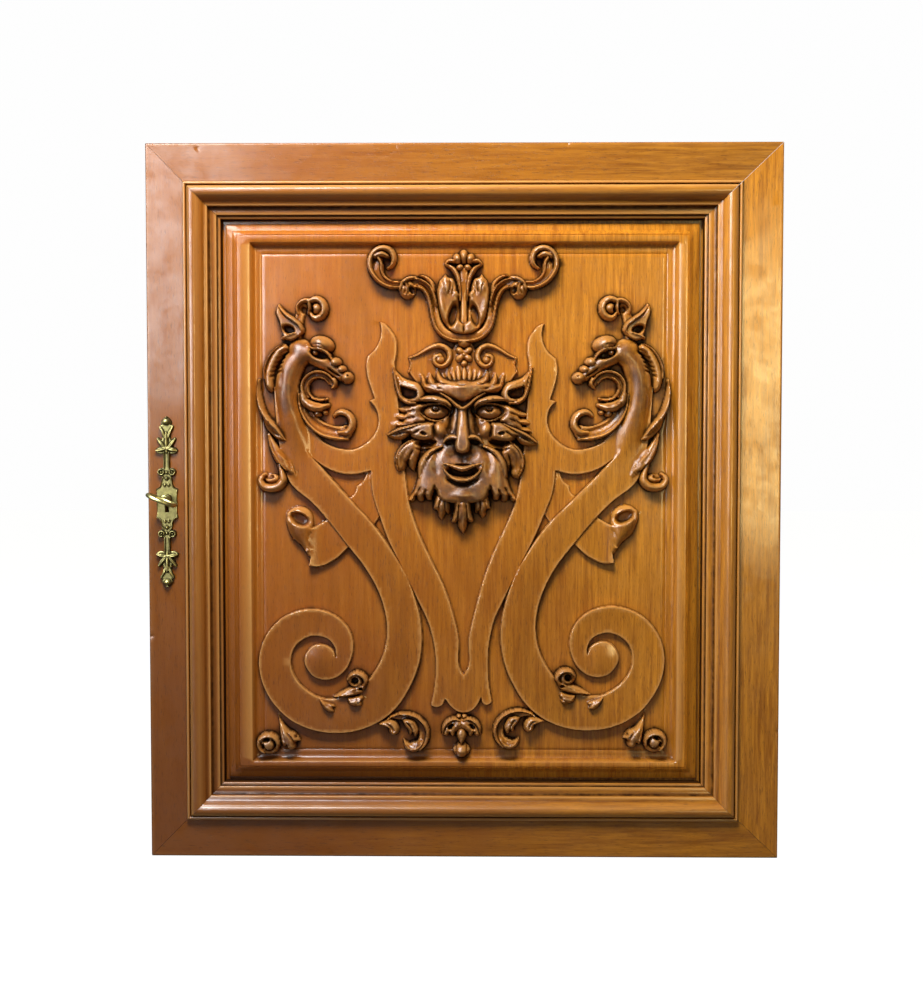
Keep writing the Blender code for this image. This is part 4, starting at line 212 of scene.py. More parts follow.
class Relief:
    """The carving's height over its ground at many points, in millimetres."""

    def __init__(self, x, z, height=None):
        self.x = x
        self.z = z
        self.h = np.zeros_like(x) if height is None else height

    def near(self, shape, reach):
        """The points within reach of the shape's box."""
        low = shape.min(axis=0) - reach
        high = shape.max(axis=0) + reach
        inside = (self.x > low[0]) & (self.x < high[0]) & (self.z > low[1]) & (self.z < high[1])
        return np.nonzero(inside)[0]

    def inward(self, shape, wall):
        """The points in an outline's box, and how far up its wall each lies, from 0 to 1."""
        near = self.near(shape, 0)
        return near, np.clip(depth_inside(shape, self.x[near], self.z[near]) / wall, 0, 1)

    def oval(self, cx, cz, rx, rz, angle):
        """The points near an oval, and how far each lies from its middle, 1 on its edge."""
        near = self.near(np.array([[cx, cz]]), max(rx, rz))
        turn = math.radians(angle)
        dx = self.x[near] - cx
        dz = self.z[near] - cz
        u = dx * math.cos(turn) + dz * math.sin(turn)
        v = dz * math.cos(turn) - dx * math.sin(turn)
        return near, np.hypot(u / rx, v / rz)

    def join(self, near, new, blend):
        """Raises the points to a new height, with a soft fillet where old and new meet."""
        old = self.h[near]
        top = np.maximum(old, new)
        if blend:
            k = np.minimum(blend, np.maximum(new, 1e-6))
            top = top + k * np.clip(1 - np.abs(old - new) / k, 0, 1)**2 / 4
        self.h[near] = np.where(new > 0, top, old)

    def lower(self, near, floor, amount):
        """Cuts the points down towards a floor."""
        old = self.h[near]
        self.h[near] = old + (np.minimum(floor, old) - old) * amount

    def level(self, near, top):
        return top(self.x[near], self.z[near]) if callable(top) else top

    def plate(self, runs, top, wall=0.8, spacing=LEAF_STEP):
        """A flat strap with steep sides and a softened edge."""
        near, t = self.inward(outline(runs, spacing), wall)
        self.join(near, self.level(near, top) * (1 - (1 - t)**3), 0)

    def blade(self, runs, top, wall=3.0, blend=0.8):
        """A leaf with swelling lobes, its outline made of curves that meet in points."""
        near, t = self.inward(outline(runs, LEAF_STEP), wall)
        self.join(near, self.level(near, top) * np.sqrt(1 - (1 - t)**2) * (0.8 + 0.2 * t), blend)

    def hollow(self, runs, floor, wall=1.5):
        """A cut with a flat floor, inside an outline."""
        near, t = self.inward(outline(runs, LEAF_STEP), wall)
        self.lower(near, floor, ease(t))

    def stroke(self, points, widths, tops, profile="round", blend=1.0):
        """A leaf, ribbon or limb drawn along a smooth path, as wide and high as listed."""
        path = run_through(points, STROKE_STEP)
        near = self.near(path, max(widths))
        d, place = nearest_on(path, self.x[near], self.z[near])
        q = d / np.maximum(spread(widths, place), 0.05)
        shape = np.sqrt(np.clip(1 - q * q, 0, 1))
        if profile == "vein":
            shape *= 1 - 0.16 * np.exp(-(q / 0.3)**2)
        if profile == "dish":
            shape *= 0.62 + 0.5 * q * q
        self.join(near, np.where(q < 1, spread(tops, place) * shape, 0), blend)

    def rim(self, points, widths, tops):
        """A thin raised edge along a leaf or a ribbon."""
        self.stroke(points, widths, tops, blend=RIM_BLEND)

    def dome(self, cx, cz, rx, rz, top, angle=0, blend=1.0, power=0.5):
        """A ball or, with a higher power, a softer swelling."""
        near, q = self.oval(cx, cz, rx, rz, angle)
        self.join(near, top * np.clip(1 - q * q, 0, 1)**power, blend)

    def pit(self, cx, cz, rx, rz, floor, angle=0):
        """A hollow cut down to a floor, with steep sides."""
        near, q = self.oval(cx, cz, rx, rz, angle)
        self.lower(near, floor, ease((1 - q) * 2.2))

    def groove(self, points, width, depth):
        """A cut that follows a smooth path and runs out at its ends."""
        path = run_through(points, STROKE_STEP)
        near = self.near(path, width)
        d, place = nearest_on(path, self.x[near], self.z[near])
        fade = np.sqrt(np.clip(6 * place * (1 - place), 0.01, 1))
        cut = depth * fade * np.clip(1 - d / (width * fade), 0, 1)**0.8
        self.h[near] = np.maximum(self.h[near] - cut, 0)


# Flat strapwork, left half

STRAP_TOP = 5.0
OVER_TOP = 6.3
UNDER_TOP = 2.6
HEADBAND_TOP = 3.6

ARM = closed(
    [(-71, 161), (-66, 156), (-61, 148), (-60, 138), (-62, 126)],
    [(-60, 105), (-56, 60), (-52, 20), (-49, 0), (-43, -20), (-30, -50), (-18, -75), (-9.5, -100),
     (-4.5, -122), (-2.5, -152), (0.5, -157)],
    [(0.5, -191)],
    [(-5, -190), (-12, -185), (-17, -178)],
    [(-19.5, -184), (-25, -186), (-30, -184)],
    [(-26.5, -165), (-25.5, -148), (-27, -130), (-32, -110), (-42, -88), (-60, -51), (-67, -37), (-76, -13),
     (-83, 11), (-84, 29)],
    [(-100, 25.5), (-115, 27.5), (-127, 33)],
    [(-150, 50)],
    [(-150, 85)],
    [(-142, 77), (-134.5, 64), (-124, 54), (-112.7, 49.3), (-99, 48.5), (-88, 54), (-80, 63), (-77, 74),
     (-79.5, 85), (-85.5, 92)],
    [(-80.5, 94)],
    [(-83, 101), (-86.5, 112), (-88, 122), (-87, 131.5)],
    [(-79.5, 139), (-75, 149), (-74.5, 157), (-76, 163)],
)

BAND = closed(
    [(-170, 85), (-168, 62), (-164, 40), (-157, 18.5), (-136, -1), (-104, -40), (-90, -58), (-79, -77),
     (-72, -97), (-69.7, -118), (-73.5, -138), (-85, -159)],
    [(-100, -171), (-120, -178), (-130, -177), (-140, -172), (-150, -163), (-156, -151), (-156.5, -141),
     (-153, -131), (-146, -124.5), (-138, -121.3), (-130, -121.5), (-122, -125), (-117.5, -131),
     (-116.3, -140)],
    [(-118.5, -134), (-124, -129.8), (-131, -128.3), (-138, -130.5), (-143, -136.5), (-145, -144),
     (-142, -152), (-136, -158.5), (-127, -161.3), (-118, -160), (-108, -153), (-102, -142), (-99.8, -130),
     (-103, -116.5), (-111, -106), (-124, -98.5), (-140, -96.3), (-155, -99.5), (-167, -106), (-177, -116.5),
     (-183.5, -129), (-186.3, -145), (-184, -161), (-175, -180), (-160, -196), (-139, -206.5),
     (-115, -209.7), (-95, -207), (-78, -200), (-62, -187.5), (-49, -168), (-40.5, -147), (-37.5, -125),
     (-39, -105), (-43.5, -87), (-51, -67), (-61, -49), (-80, -21.5), (-104, 5), (-127, 31), (-140, 46),
     (-148, 62)],
    [(-148, 101)],
    [(-160, 110), (-171, 104)],
)

FRAGMENT = closed(
    [(-87.5, 28), (-89, 24)],
    [(-91, 20), (-97, 15)],
    [(-98.5, 9), (-104, 4)],
    [(-112, -4)],
    [(-92, -32)],
    [(-81, -20)],
    [(-76, -12.6)],
    [(-68, -10)],
    [(-80, 31)],
)

TAB = closed(
    [(-130, -19), (-138, -22.5), (-147, -22)],
    [(-146, -34), (-139, -45), (-140.5, -57)],
    [(-132, -58), (-118, -52.5), (-104, -40)],
    [(-98, -38)],
    [(-123, -14)],
)

HEADBAND = closed(
    [(-6, 144), (-10, 138)],
    [(-15, 141.5), (-22, 143), (-30, 140.5), (-38, 135.5), (-48.5, 130.5)],
    [(-47, 124), (-49.5, 118)],
    [(-40, 106), (1, 100)],
    [(1, 145)],
)


def band_top(x, z):
    """The scrolled band dips towards the eye of its scroll, which swells again."""
    r = np.hypot(x + 131, z + 145)
    dip = 1.9 * ease((62 - r) / 34)
    eye = 1.5 * ease((17 - r) / 12)
    return OVER_TOP - dip + eye


def tab_top(x, z):
    """The tab beside the band rises towards its rolled end."""
    return 4.6 + 3.4 * ease((-126 - x) / 20)


# Carved ornament, left half


def rolled_end(r):
    """The tab beside the band rolls up into an open mouth."""
    r.stroke([(-148.5, -15.5), (-147, -24), (-142, -36), (-138.5, -46)], [12.4, 11, 6, 3],
             [10.5, 10, 8.5, 6.5])
    r.dome(-148.3, -14.8, 12.8, 7.8, 11.2, angle=-24, blend=0)
    r.pit(-148.3, -14.4, 11.6, 6.7, 1, angle=-24)
    r.dome(-141.5, -43, 2.6, 1.7, 8)
    r.groove([(-136, -24), (-141, -34), (-139, -42)], 1.6, 1.2)


def dragon(r):
    """A beaked beast's head on a long neck that grows out of the band."""
    r.stroke([(-143, 32), (-149, 52), (-155, 74), (-159, 96), (-157, 116), (-150, 129), (-140, 135)],
             [13, 14, 13, 11, 11, 11, 8], [5.5, 7.5, 10, 12.5, 14.5, 15.5, 15.5])
    r.groove([(-166, 96), (-163, 110), (-163, 122)], 1.8, 1.5)
    dragon_mane(r)
    dragon_head(r)
    dragon_scroll(r)


MANE = closed(
    [(-168, 139.5), (-174.5, 131), (-178.3, 121), (-179.6, 112), (-176.5, 101.5)],
    [(-172.5, 99.5), (-170.3, 104)],
    [(-170.5, 114), (-167, 125), (-161, 133), (-156, 138), (-160, 143.5)],
)
NECK_LEAF = closed(
    [(-186, 100), (-184.3, 88), (-181, 76), (-177.5, 66.5), (-172, 60.5)],
    [(-166, 56.5), (-159.5, 55.5)],
    [(-165, 66), (-172, 74.5), (-178, 84), (-181.5, 95), (-184, 112)],
)


def dragon_mane(r):
    r.blade(MANE, 12.5, wall=3.4)
    r.dome(-174.6, 106.5, 3.4, 5.4, 13.5)
    r.dome(-175.2, 117.5, 3, 4.4, 13.2)
    r.stroke([(-162, 142.5), (-169, 138), (-175, 130), (-178.6, 120.5), (-179, 112)],
             [0.8, 1.2, 1.4, 1.4, 0.8], [11, 13, 13.5, 13.5, 11], blend=0.4)
    for i in range(6):
        x = -158 - 2.4 * i + 0.16 * i * i
        z = 137.5 - 4.0 * i
        r.groove([(x + 3, z + 1.5), (x - 3, z - 1), (x - 8, z - 5)], 1.5, 3.6)
    r.blade(NECK_LEAF, 11.5, wall=3)
    r.stroke([(-184.2, 111), (-185, 99), (-182.8, 87), (-176.8, 76), (-168.8, 67), (-160.5, 56.5)],
             [0.7, 1.5, 2.2, 2.8, 2.6, 0.8], [8, 12, 14.5, 15.5, 14.5, 9])
    r.groove([(-178.5, 74), (-173.5, 66), (-165, 59.5)], 1.5, 2.4)
    r.stroke([(-175.5, 62), (-171, 50), (-164.5, 40), (-157.5, 32.5), (-151, 23)], [1.6, 4, 6, 5.2, 0.9],
             [7, 10.5, 12.5, 11.5, 7.5], profile="vein")
    r.stroke([(-175.8, 61), (-172.8, 49.5), (-167.5, 39.5), (-160, 30)], [0.7, 1.4, 1.6, 0.8],
             [8.5, 12, 13, 10], blend=0.4)
    r.groove([(-168, 48), (-160, 40), (-154, 30)], 1.5, 2.6)
    r.stroke([(-166, 34), (-163.5, 27), (-163, 21), (-167, 15.5), (-174, 13.5), (-181, 15.5), (-183, 21.5),
              (-179.5, 25)], [2.4, 3.2, 3.8, 4.2, 4.2, 3.8, 3, 2.2], [9, 10, 11, 11.5, 11, 10.5, 10, 8.5])
    r.dome(-172.5, 21.5, 7.5, 4.5, 7)
    r.pit(-175.5, 23.5, 5.5, 2.8, 1.5)


DRAGON_EAR = closed(
    [(-168.5, 171), (-165.5, 162.5), (-163.3, 154), (-161, 147)],
    [(-154, 145.5), (-147.5, 149)],
    [(-144.8, 154), (-146.5, 158.5), (-153, 163.5), (-160, 168.5), (-166.5, 178.5)],
)


def dragon_head(r):
    # forelock that ends in a curl
    r.stroke([(-151, 149), (-149.5, 160), (-147, 169), (-144, 177)], [5.5, 5, 4.2, 3.2], [10, 8, 8, 9.5],
             profile="dish")
    r.stroke([(-148.8, 170), (-149, 176.5), (-144.5, 181), (-138.5, 181.5)], [1.2, 1.8, 2.3, 2.2],
             [8, 10, 12, 12])
    r.stroke([(-138, 181), (-132, 182.8), (-126.8, 179.5), (-125.2, 173), (-129, 167.2), (-134.5, 166.6),
              (-137.5, 170.5)], [2.4, 3.4, 3.6, 3.6, 3.4, 2.8, 1.6], [12, 13, 13.5, 13.5, 12.5, 11, 9])
    r.dome(-131.4, 174.6, 5.6, 5.4, 13.2, blend=0.4)
    r.pit(-136.6, 174, 2.6, 4.2, 1, angle=10)
    r.pit(-143.4, 173.2, 3.6, 4.4, 1, angle=20)
    r.rim([(-138.8, 180.5), (-138.2, 175.5), (-139.5, 170)], [1.8, 1.8, 1], [12.5, 12, 9])
    # pointed ear
    r.plate(DRAGON_EAR, 11.5, wall=2)
    r.pit(-156.8, 155.6, 7, 4.8, 1.5, angle=-24)
    r.rim([(-166, 177.5), (-160, 169.5), (-152.5, 164), (-146.8, 159), (-145.4, 154.5), (-148, 151)],
          [0.9, 1.9, 2.4, 2.6, 2.2, 1.4], [9, 13, 14.5, 15, 14.5, 12])
    r.rim([(-162.5, 148), (-157, 150.4), (-150.5, 152.4)], [1.4, 1.9, 1.4], [12, 13, 12.5])
    # skull and snout
    r.dome(-146, 136, 13, 11.5, 15.5, angle=-35, power=0.6, blend=2)
    r.stroke([(-141, 136), (-130, 130), (-120, 123), (-110, 115)], [9, 8, 7, 5.4], [15, 14.5, 13.5, 12],
             blend=2)
    r.pit(-129.6, 133.2, 9.6, 4.8, 5, angle=-20)
    r.dome(-133, 135, 3.3, 3.1, 14, blend=0)
    r.dome(-127.3, 142.4, 11.2, 7.8, 19, angle=-16, blend=1)
    r.stroke([(-140.5, 141.5), (-135, 138.6), (-128, 138), (-121.5, 134), (-118.5, 129)],
             [0.8, 1.5, 1.7, 1.9, 1], [13.5, 16, 17.5, 17, 14], blend=0.6)
    r.groove([(-137.5, 142.4), (-129, 142), (-120.5, 137)], 1.1, 1.6)
    r.dome(-115.2, 126.2, 5.6, 4.8, 17.5, blend=0.6)
    r.dome(-109.6, 120, 4.4, 3.8, 16.5, blend=0.6)
    r.dome(-104.8, 112.6, 5.8, 5.6, 17, blend=0.6)
    r.pit(-109, 108, 2.8, 2, 4.5, angle=20)
    r.pit(-103.6, 114, 1.3, 1.1, 13)
    r.groove([(-122, 121.5), (-116, 117), (-110, 113.5)], 1.6, 4)
    # ribbed jaw that curls round
    r.stroke(arc(-130.5, 103.5, 12.4, 12.2, 15, 215, 14), [1.6, 2.6, 3, 3, 2.8], [9, 10, 10, 10.5, 11],
             profile="dish")
    r.stroke(arc(-130.5, 103.5, 14.9, 14.6, 12, 215, 14), [1, 1.3, 1.4, 1.6, 1.8],
             [10, 12, 12.5, 12.5, 12.5], blend=0.4)
    r.stroke(arc(-130.5, 103.3, 10, 9.8, 25, 235, 14), [0.7, 0.9, 1, 1.1, 1], [8, 9.5, 10, 10.5, 10],
             blend=0.4)
    r.stroke([(-145, 98), (-142.4, 91), (-136, 87), (-129, 86.2), (-122.3, 88)], [2.6, 4.3, 5.2, 4.6, 1.8],
             [12, 13.5, 15, 14.5, 11])
    r.groove([(-141, 92), (-134, 88.4), (-126, 88)], 1.2, 1.5)
    r.stroke([(-136.5, 94.5), (-129.5, 92.6), (-122.8, 93.6)], [1.2, 1.4, 0.8], [10.5, 10.5, 9], blend=0.4)
    r.dome(-131.5, 80.3, 3.8, 3, 9)
    r.dome(-124.8, 81.4, 2.5, 2.2, 9)
    r.stroke([(-116.5, 111), (-115.5, 106.8), (-118.5, 103.5)], [2.2, 2, 1], [12, 11, 8])


HOOK = closed(
    [(-146, 82), (-138.5, 69.5), (-128, 61.5), (-116, 58.4), (-104, 57.4)],
    [(-100, 64), (-104, 71)],
    [(-113, 69), (-123, 71.5), (-131.5, 77.5), (-137, 86), (-139.5, 94)],
    [(-148.5, 97)],
)


def dragon_scroll(r):
    """The leafy hook that lies in the loop under the jaw."""
    r.plate(HOOK, 6.4, wall=1.2)
    r.groove([(-143, 93), (-139.5, 82), (-131.5, 72), (-121, 66.5), (-108, 64.5)], 2.4, 2.4)
    r.groove([(-140, 90), (-134, 79), (-125, 72), (-113, 69.5)], 1, 1.4)
    r.rim([(-148.5, 98), (-146, 82), (-138.5, 69.8), (-128, 61.8), (-116, 58.6), (-104.5, 57.4)],
          [0.9, 1.4, 1.7, 2, 2.4, 1.2], [8, 9, 9.5, 9.5, 10, 7.5])
    r.stroke([(-112, 63.5), (-104.5, 64.2), (-100.6, 69.5), (-101.6, 76.5), (-106.5, 81), (-112.5, 81.4),
              (-116.5, 78.5)], [2.2, 3.6, 3.4, 3.2, 3, 2.8, 1.4], [9, 11.5, 12.5, 12.5, 12, 11.5, 9])
    r.groove([(-107, 66.5), (-104.2, 71.5), (-106.5, 77)], 1.1, 2)
    r.pit(-111.5, 75.6, 4.4, 3.4, 1)


def volute_leaf(r):
    """The leaf that fills the throat of the big scroll."""
    r.blade(closed([(-110, -170.5), (-102, -166.5), (-97.5, -165)],
                   [(-90, -157.5), (-86.8, -161.5), (-88.5, -168), (-93, -173.5)],
                   [(-104, -176.3), (-119.5, -176.8)]), 10, wall=3)
    r.dome(-97, -161, 8.8, 7.4, 12.5, angle=-12)
    r.stroke([(-105, -160.5), (-102, -156), (-96, -154.3), (-91, -156.8), (-88.8, -161.5), (-91.5, -166.5)],
             [1, 1.8, 2.3, 2.5, 2.3, 1], [10, 13, 14.5, 14.5, 13.5, 11])
    r.pit(-98.6, -161, 4.4, 4, 1.5, angle=30)
    r.pit(-93.4, -168.6, 2.4, 1.6, 3)
    r.groove([(-92.5, -157.5), (-91.5, -162), (-93.5, -166)], 1, 1.8)
    r.groove([(-113, -173.6), (-104, -171.5), (-96, -169)], 1.5, 1.4)
    r.blade(closed([(-98, -174.8), (-92.4, -173.2)], [(-90, -176.5), (-91.4, -179.4)],
                   [(-92.2, -184.2), (-99, -185), (-104.5, -182.5), (-106, -176.2)]), 12, wall=3.6)
    r.groove([(-104, -178.5), (-97, -178), (-92.5, -176.5)], 1.1, 1.8)
    r.groove([(-99, -183.5), (-95, -181), (-91.8, -179.2)], 1, 1.6)
    r.blade(closed([(-124, -180), (-117.5, -182)], [(-115.6, -184.6), (-117.6, -186.2)],
                   [(-116.8, -189.6), (-122, -190.4), (-127, -187), (-131.5, -177.6)]), 11, wall=3)
    r.groove([(-126, -182), (-121, -184), (-117.4, -185.8)], 1, 1.8)


def corner_leaf(r):
    """A curled leaf in each lower corner of the field."""
    r.dome(-177.3, -219.3, 10.6, 10.2, 13, power=0.6)
    r.stroke(arc(-177.3, -219.3, 8.6, 8.2, -20, 245, 12), [1.4, 2.2, 2.8, 2.8, 2.2, 1.2],
             [12, 13.5, 14, 13.5, 12.5, 10])
    r.pit(-178.9, -214.8, 3.6, 2.3, 2.5, angle=10)
    r.pit(-182.2, -221.2, 1.7, 3.2, 5, angle=12)
    r.groove(arc(-176.3, -219.3, 5, 5.4, 60, -200, 12), 1.4, 4)
    r.dome(-176, -219.6, 3.6, 3.6, 13)
    r.blade(closed([(-166.5, -197), (-163, -202), (-158.5, -206.5), (-153.5, -209), (-148.3, -216.5)],
                   [(-151.5, -217.2), (-152.8, -218.5)],
                   [(-152.4, -222), (-155.5, -224.8), (-159.2, -224), (-161, -220.5)],
                   [(-163, -222), (-165.8, -217.5)], [(-167.2, -208), (-168.2, -199), (-169.5, -190)]),
            lambda x, z: 5.5 + 7.5 * ease((-192 - z) / 18), wall=3.6)
    r.groove([(-166.8, -199), (-163.8, -209), (-161.6, -219)], 1.3, 2.2)
    r.groove([(-160.5, -208), (-155.5, -213.5), (-153.2, -218)], 1.2, 2.6)
    r.pit(-151.8, -211.8, 2.2, 1.5, 4, angle=-40)


def bottom_leaf(r):
    """The rolling leaf between the big scroll and the pendant."""
    r.stroke([(-66, -194.5), (-55, -194.3), (-45, -197.5), (-38.5, -204), (-36.2, -211), (-38.5, -218.5),
              (-45, -221)], [2, 3.2, 4, 4.4, 4.2, 4.6, 4.4], [7, 9, 10, 10.5, 10.5, 11.5, 12],
             profile="dish")
    r.rim([(-69, -196.5), (-60, -191.8), (-50, -191.4), (-41.5, -194.6), (-35, -201.5), (-32.7, -209.5),
           (-34.6, -217.5), (-39.8, -223.6)], [0.6, 1, 1.3, 1.4, 1.6, 1.7, 1.7, 1.2],
          [7, 9.5, 11.5, 12.5, 13, 13, 13, 12])
    r.blade(closed([(-50, -217.6), (-44, -217.8), (-39.5, -214.5), (-35.5, -213)],
                   [(-35, -219), (-40, -225.2), (-47, -226.6), (-53, -223.5), (-54.8, -215)]), 13, wall=4.2)
    r.groove([(-52.5, -218.5), (-46, -221.6), (-38.5, -217.5)], 1.3, 2.2)
    r.blade(closed([(-51, -194.8), (-45, -196.5), (-41.3, -202)], [(-40.4, -206), (-41.8, -210.4)],
                   [(-44, -212.6), (-46.3, -208.6)], [(-48.8, -211), (-50.2, -206)],
                   [(-53, -203), (-56, -196.5)]), 13, wall=2.7)
    r.groove([(-52, -198), (-48, -202.5), (-46.4, -208)], 1.2, 2.6)
    r.groove([(-47, -197.5), (-43.8, -203), (-43.2, -209)], 1, 1.8)
    r.blade(closed([(-72, -197.8), (-66, -196.1), (-61, -198.8), (-58.5, -204)],
                   [(-59.2, -208.8), (-62.5, -211.4)], [(-66.7, -210), (-68.3, -205)],
                   [(-73, -202.8), (-79, -201.2)]), 12, wall=3.2)
    r.groove([(-74, -200.6), (-67, -201.2), (-63.2, -208)], 1.3, 2.4)
    r.pit(-55, -210.5, 3, 5, 0.5)


PETAL = closed(
    [(-20.8, 199.5), (-24, 191.5), (-23.8, 183), (-21.6, 173.5), (-18.6, 164.5), (-14, 156.5), (-8, 152),
     (1, 150.5)],
    [(1, 161)],
    [(-3.2, 163.5), (-4.4, 170), (-4.6, 178), (-4.4, 183)],
    [(-3.4, 186.5), (-6.2, 190)],
    [(-7, 196), (-10, 201.5), (-13.6, 202.5), (-16.5, 205.5)],
)


def crown(r):
    """The leafy finial over the headband."""
    # outer scroll, a dished ribbon between two rims
    r.stroke([(-56, 196.3), (-63, 196), (-70.5, 199), (-76.5, 204.5), (-79, 212), (-77.5, 219)],
             [2.2, 3, 4, 5, 5.4, 5], [8, 9, 10, 11, 12, 12], profile="dish")
    r.rim([(-55, 194), (-64, 193.4), (-73, 196.6), (-80, 203), (-83.8, 211), (-83.2, 219.5), (-78.8, 225.6),
           (-72, 228), (-66, 226), (-62.9, 220.4), (-63.8, 214), (-68, 210.8)],
          [0.9, 1.3, 1.5, 1.8, 2, 2.5, 3, 3.2, 3.2, 3, 2.4, 1.2],
          [8.5, 10, 11, 12, 12.5, 13, 13.5, 14, 13.5, 12.5, 11, 9])
    r.rim([(-57, 198.5), (-64, 198.6), (-70.4, 202), (-73.6, 208), (-73.8, 214), (-76.5, 219.5)],
          [0.7, 0.9, 1.2, 1.4, 1.6, 2], [8, 9, 10, 11.5, 12, 12.5])
    r.stroke([(-79, 221), (-73.5, 222.8), (-68, 220.8)], [3, 3.4, 1.6], [13, 14, 11])
    r.pit(-69, 215.4, 4.4, 5, 1, angle=20)
    r.groove([(-80.5, 208), (-80, 216), (-76, 221)], 1.2, 1.6)
    # curled leaf between the scroll and the stem
    r.dome(-50.5, 191.8, 7.6, 8.9, 13)
    r.stroke([(-43.5, 201.8), (-49, 201), (-54.2, 197.4), (-56.8, 191.5)], [1.4, 2.3, 2.4, 1.6],
             [10.5, 13, 13, 12])
    r.groove([(-55, 197), (-51.8, 193.5), (-53.6, 187)], 1.5, 3.2)
    r.groove([(-50.8, 197.5), (-49, 193), (-50.5, 186)], 1.4, 3.4)
    r.pit(-46.2, 190.6, 3.4, 4.6, 2, angle=24)
    # ribbed stem
    r.stroke([(-44.5, 197.8), (-37.5, 196), (-31.8, 190), (-28.2, 181), (-26, 171), (-23.6, 161),
              (-18.6, 153.6), (-10, 149), (1, 148)], [3.2, 4.4, 4.8, 4.4, 4, 4.2, 4.4, 4.4, 4.4],
             [10, 10, 9.5, 9, 9, 9.5, 10, 11, 11.5], profile="dish")
    r.rim([(-43.5, 194), (-37, 191.8), (-32.4, 185.5), (-29.8, 176), (-28, 166), (-24.6, 156.6),
           (-18, 149.8), (-9, 146.2), (1, 145.6)], [0.8, 1.1, 1.3, 1.3, 1.3, 1.4, 1.5, 1.6, 1.6],
          [9.5, 10.5, 10.5, 10.5, 10.5, 11, 11.5, 11.5, 11.5])
    r.rim([(-45, 201), (-38, 199.6), (-31, 194.6), (-26.8, 186), (-24.6, 177)], [0.9, 1.2, 1.3, 1.3, 1],
          [10.5, 11, 11, 10.5, 10])
    r.groove([(-43, 197.3), (-36.6, 195), (-31.2, 188.8), (-28, 180), (-25.8, 169)], 1, 2)
    r.stroke([(-40, 204), (-34, 202), (-29, 197), (-27, 190)], [0.7, 1.5, 2.1, 1.4], [8.5, 10, 10.5, 9.5])
    # petals of the cup
    r.plate(PETAL, 11.8, wall=3.4)
    r.dome(-16.3, 192.5, 6.4, 10, 14.8, angle=8, blend=2)
    r.dome(-18.9, 175, 3.6, 15, 13.6, angle=12, blend=2)
    r.dome(-7.4, 187, 2.6, 3.8, 13)
    r.groove([(-20.5, 199.5), (-17.4, 195), (-16.5, 188)], 1.2, 2)
    r.groove([(-12, 201), (-12.2, 194), (-13.5, 187)], 1.2, 2)
    r.groove([(-8.5, 197), (-9.6, 191), (-11, 185.5)], 1.1, 1.8)
    r.pit(-9.6, 168.4, 5.3, 13.6, 0.5, angle=-14)
    # stalk and bud
    r.stroke([(1, 155), (1, 166), (1, 180), (0.5, 195), (0, 207)], [5, 3.6, 3.8, 4.4, 4.2],
             [12, 10.5, 9.5, 9.5, 10], profile="dish")
    r.stroke([(-3.2, 182), (-3.8, 194), (-6, 204), (-10.5, 210.6), (-15.8, 213.4)], [0.8, 1.2, 2, 2.4, 1],
             [9, 10.5, 11, 11, 8.5])
    r.stroke([(-8.8, 216.4), (-12.6, 217), (-16.4, 213.8)], [1.6, 1.9, 0.9], [11, 10.5, 9])
    r.pit(-11.6, 213.9, 2.4, 1.3, 4.5)
    r.dome(0.5, 220.5, 4.8, 6.8, 13.5)
    r.dome(-5.6, 218.6, 3.9, 5.2, 13, angle=22)
    r.dome(-3.6, 211, 3.6, 3, 11.5, angle=30)
    r.groove([(-3.4, 225), (-2.8, 219), (-2.4, 213)], 1.1, 2.6)


PENDANT_X = -2.0
DROP_LEAF = closed(
    [(-6.5, -195.6), (-12, -197.8), (-15.8, -203), (-17.2, -210)],
    [(-13.5, -212.2), (-11, -208.6)],
    [(-8, -212.4), (-5.2, -208)],
    [(2, -204)],
    [(2, -197.2)],
)
TONGUE = closed(
    [(-3, -204), (-4.8, -209), (-3.4, -214.5), (0, -219.8)],
    [(3, -216)],
    [(3, -202.5)],
)


def pendant(r):
    """The drop under the foot of the straps."""
    r.dome(-2.4, -193.5, 2.3, 2.1, 9)
    r.dome(0, -198, 4.4, 3.2, 9)
    r.blade(DROP_LEAF, 10.5, wall=2.4)
    r.rim([(-1, -197), (-7, -195.7), (-12.4, -198.1), (-15.8, -203), (-17, -209.5)],
          [0.8, 1.4, 1.7, 1.7, 0.8], [10, 12.5, 13, 12.5, 9])
    r.pit(-9.6, -202.4, 3.8, 2.3, 1.5, angle=42)
    r.stroke([(-1.5, -199.5), (-5.6, -202.4), (-8.2, -209.5)], [2, 2.7, 0.9], [11.5, 13, 9])
    r.blade(TONGUE, 13, wall=2.8)
    r.dome(0, -224.4, 7.3, 6.9, 13.5)
    r.groove([(-3.6, -218.5), (-5.2, -224.5), (-3.4, -230.5)], 1.4, 4)


def headband(r):
    """The two small scrolls of the cartouche behind the brow."""
    r.rim([(-49, 130.5), (-42, 132.8), (-34, 137.3), (-26, 140.8), (-20, 141), (-14.5, 137.5), (-12.6, 131),
           (-15.5, 125), (-21, 123), (-26, 126.5), (-25.8, 131), (-21.5, 132.2)],
          [0.8, 1.2, 1.5, 1.9, 2.4, 2.8, 2.9, 2.8, 2.4, 2.2, 2.2, 2.4],
          [6, 6.8, 7.4, 8, 8.6, 9, 9.2, 9.2, 9.2, 9.4, 9.6, 9.8])
    r.dome(-21.6, 128.6, 4.8, 4.6, 10)
    r.stroke([(-48.6, 130), (-47.4, 124), (-49.6, 117.5)], [0.9, 0.9, 0.9], [5.2, 5.2, 5.2])


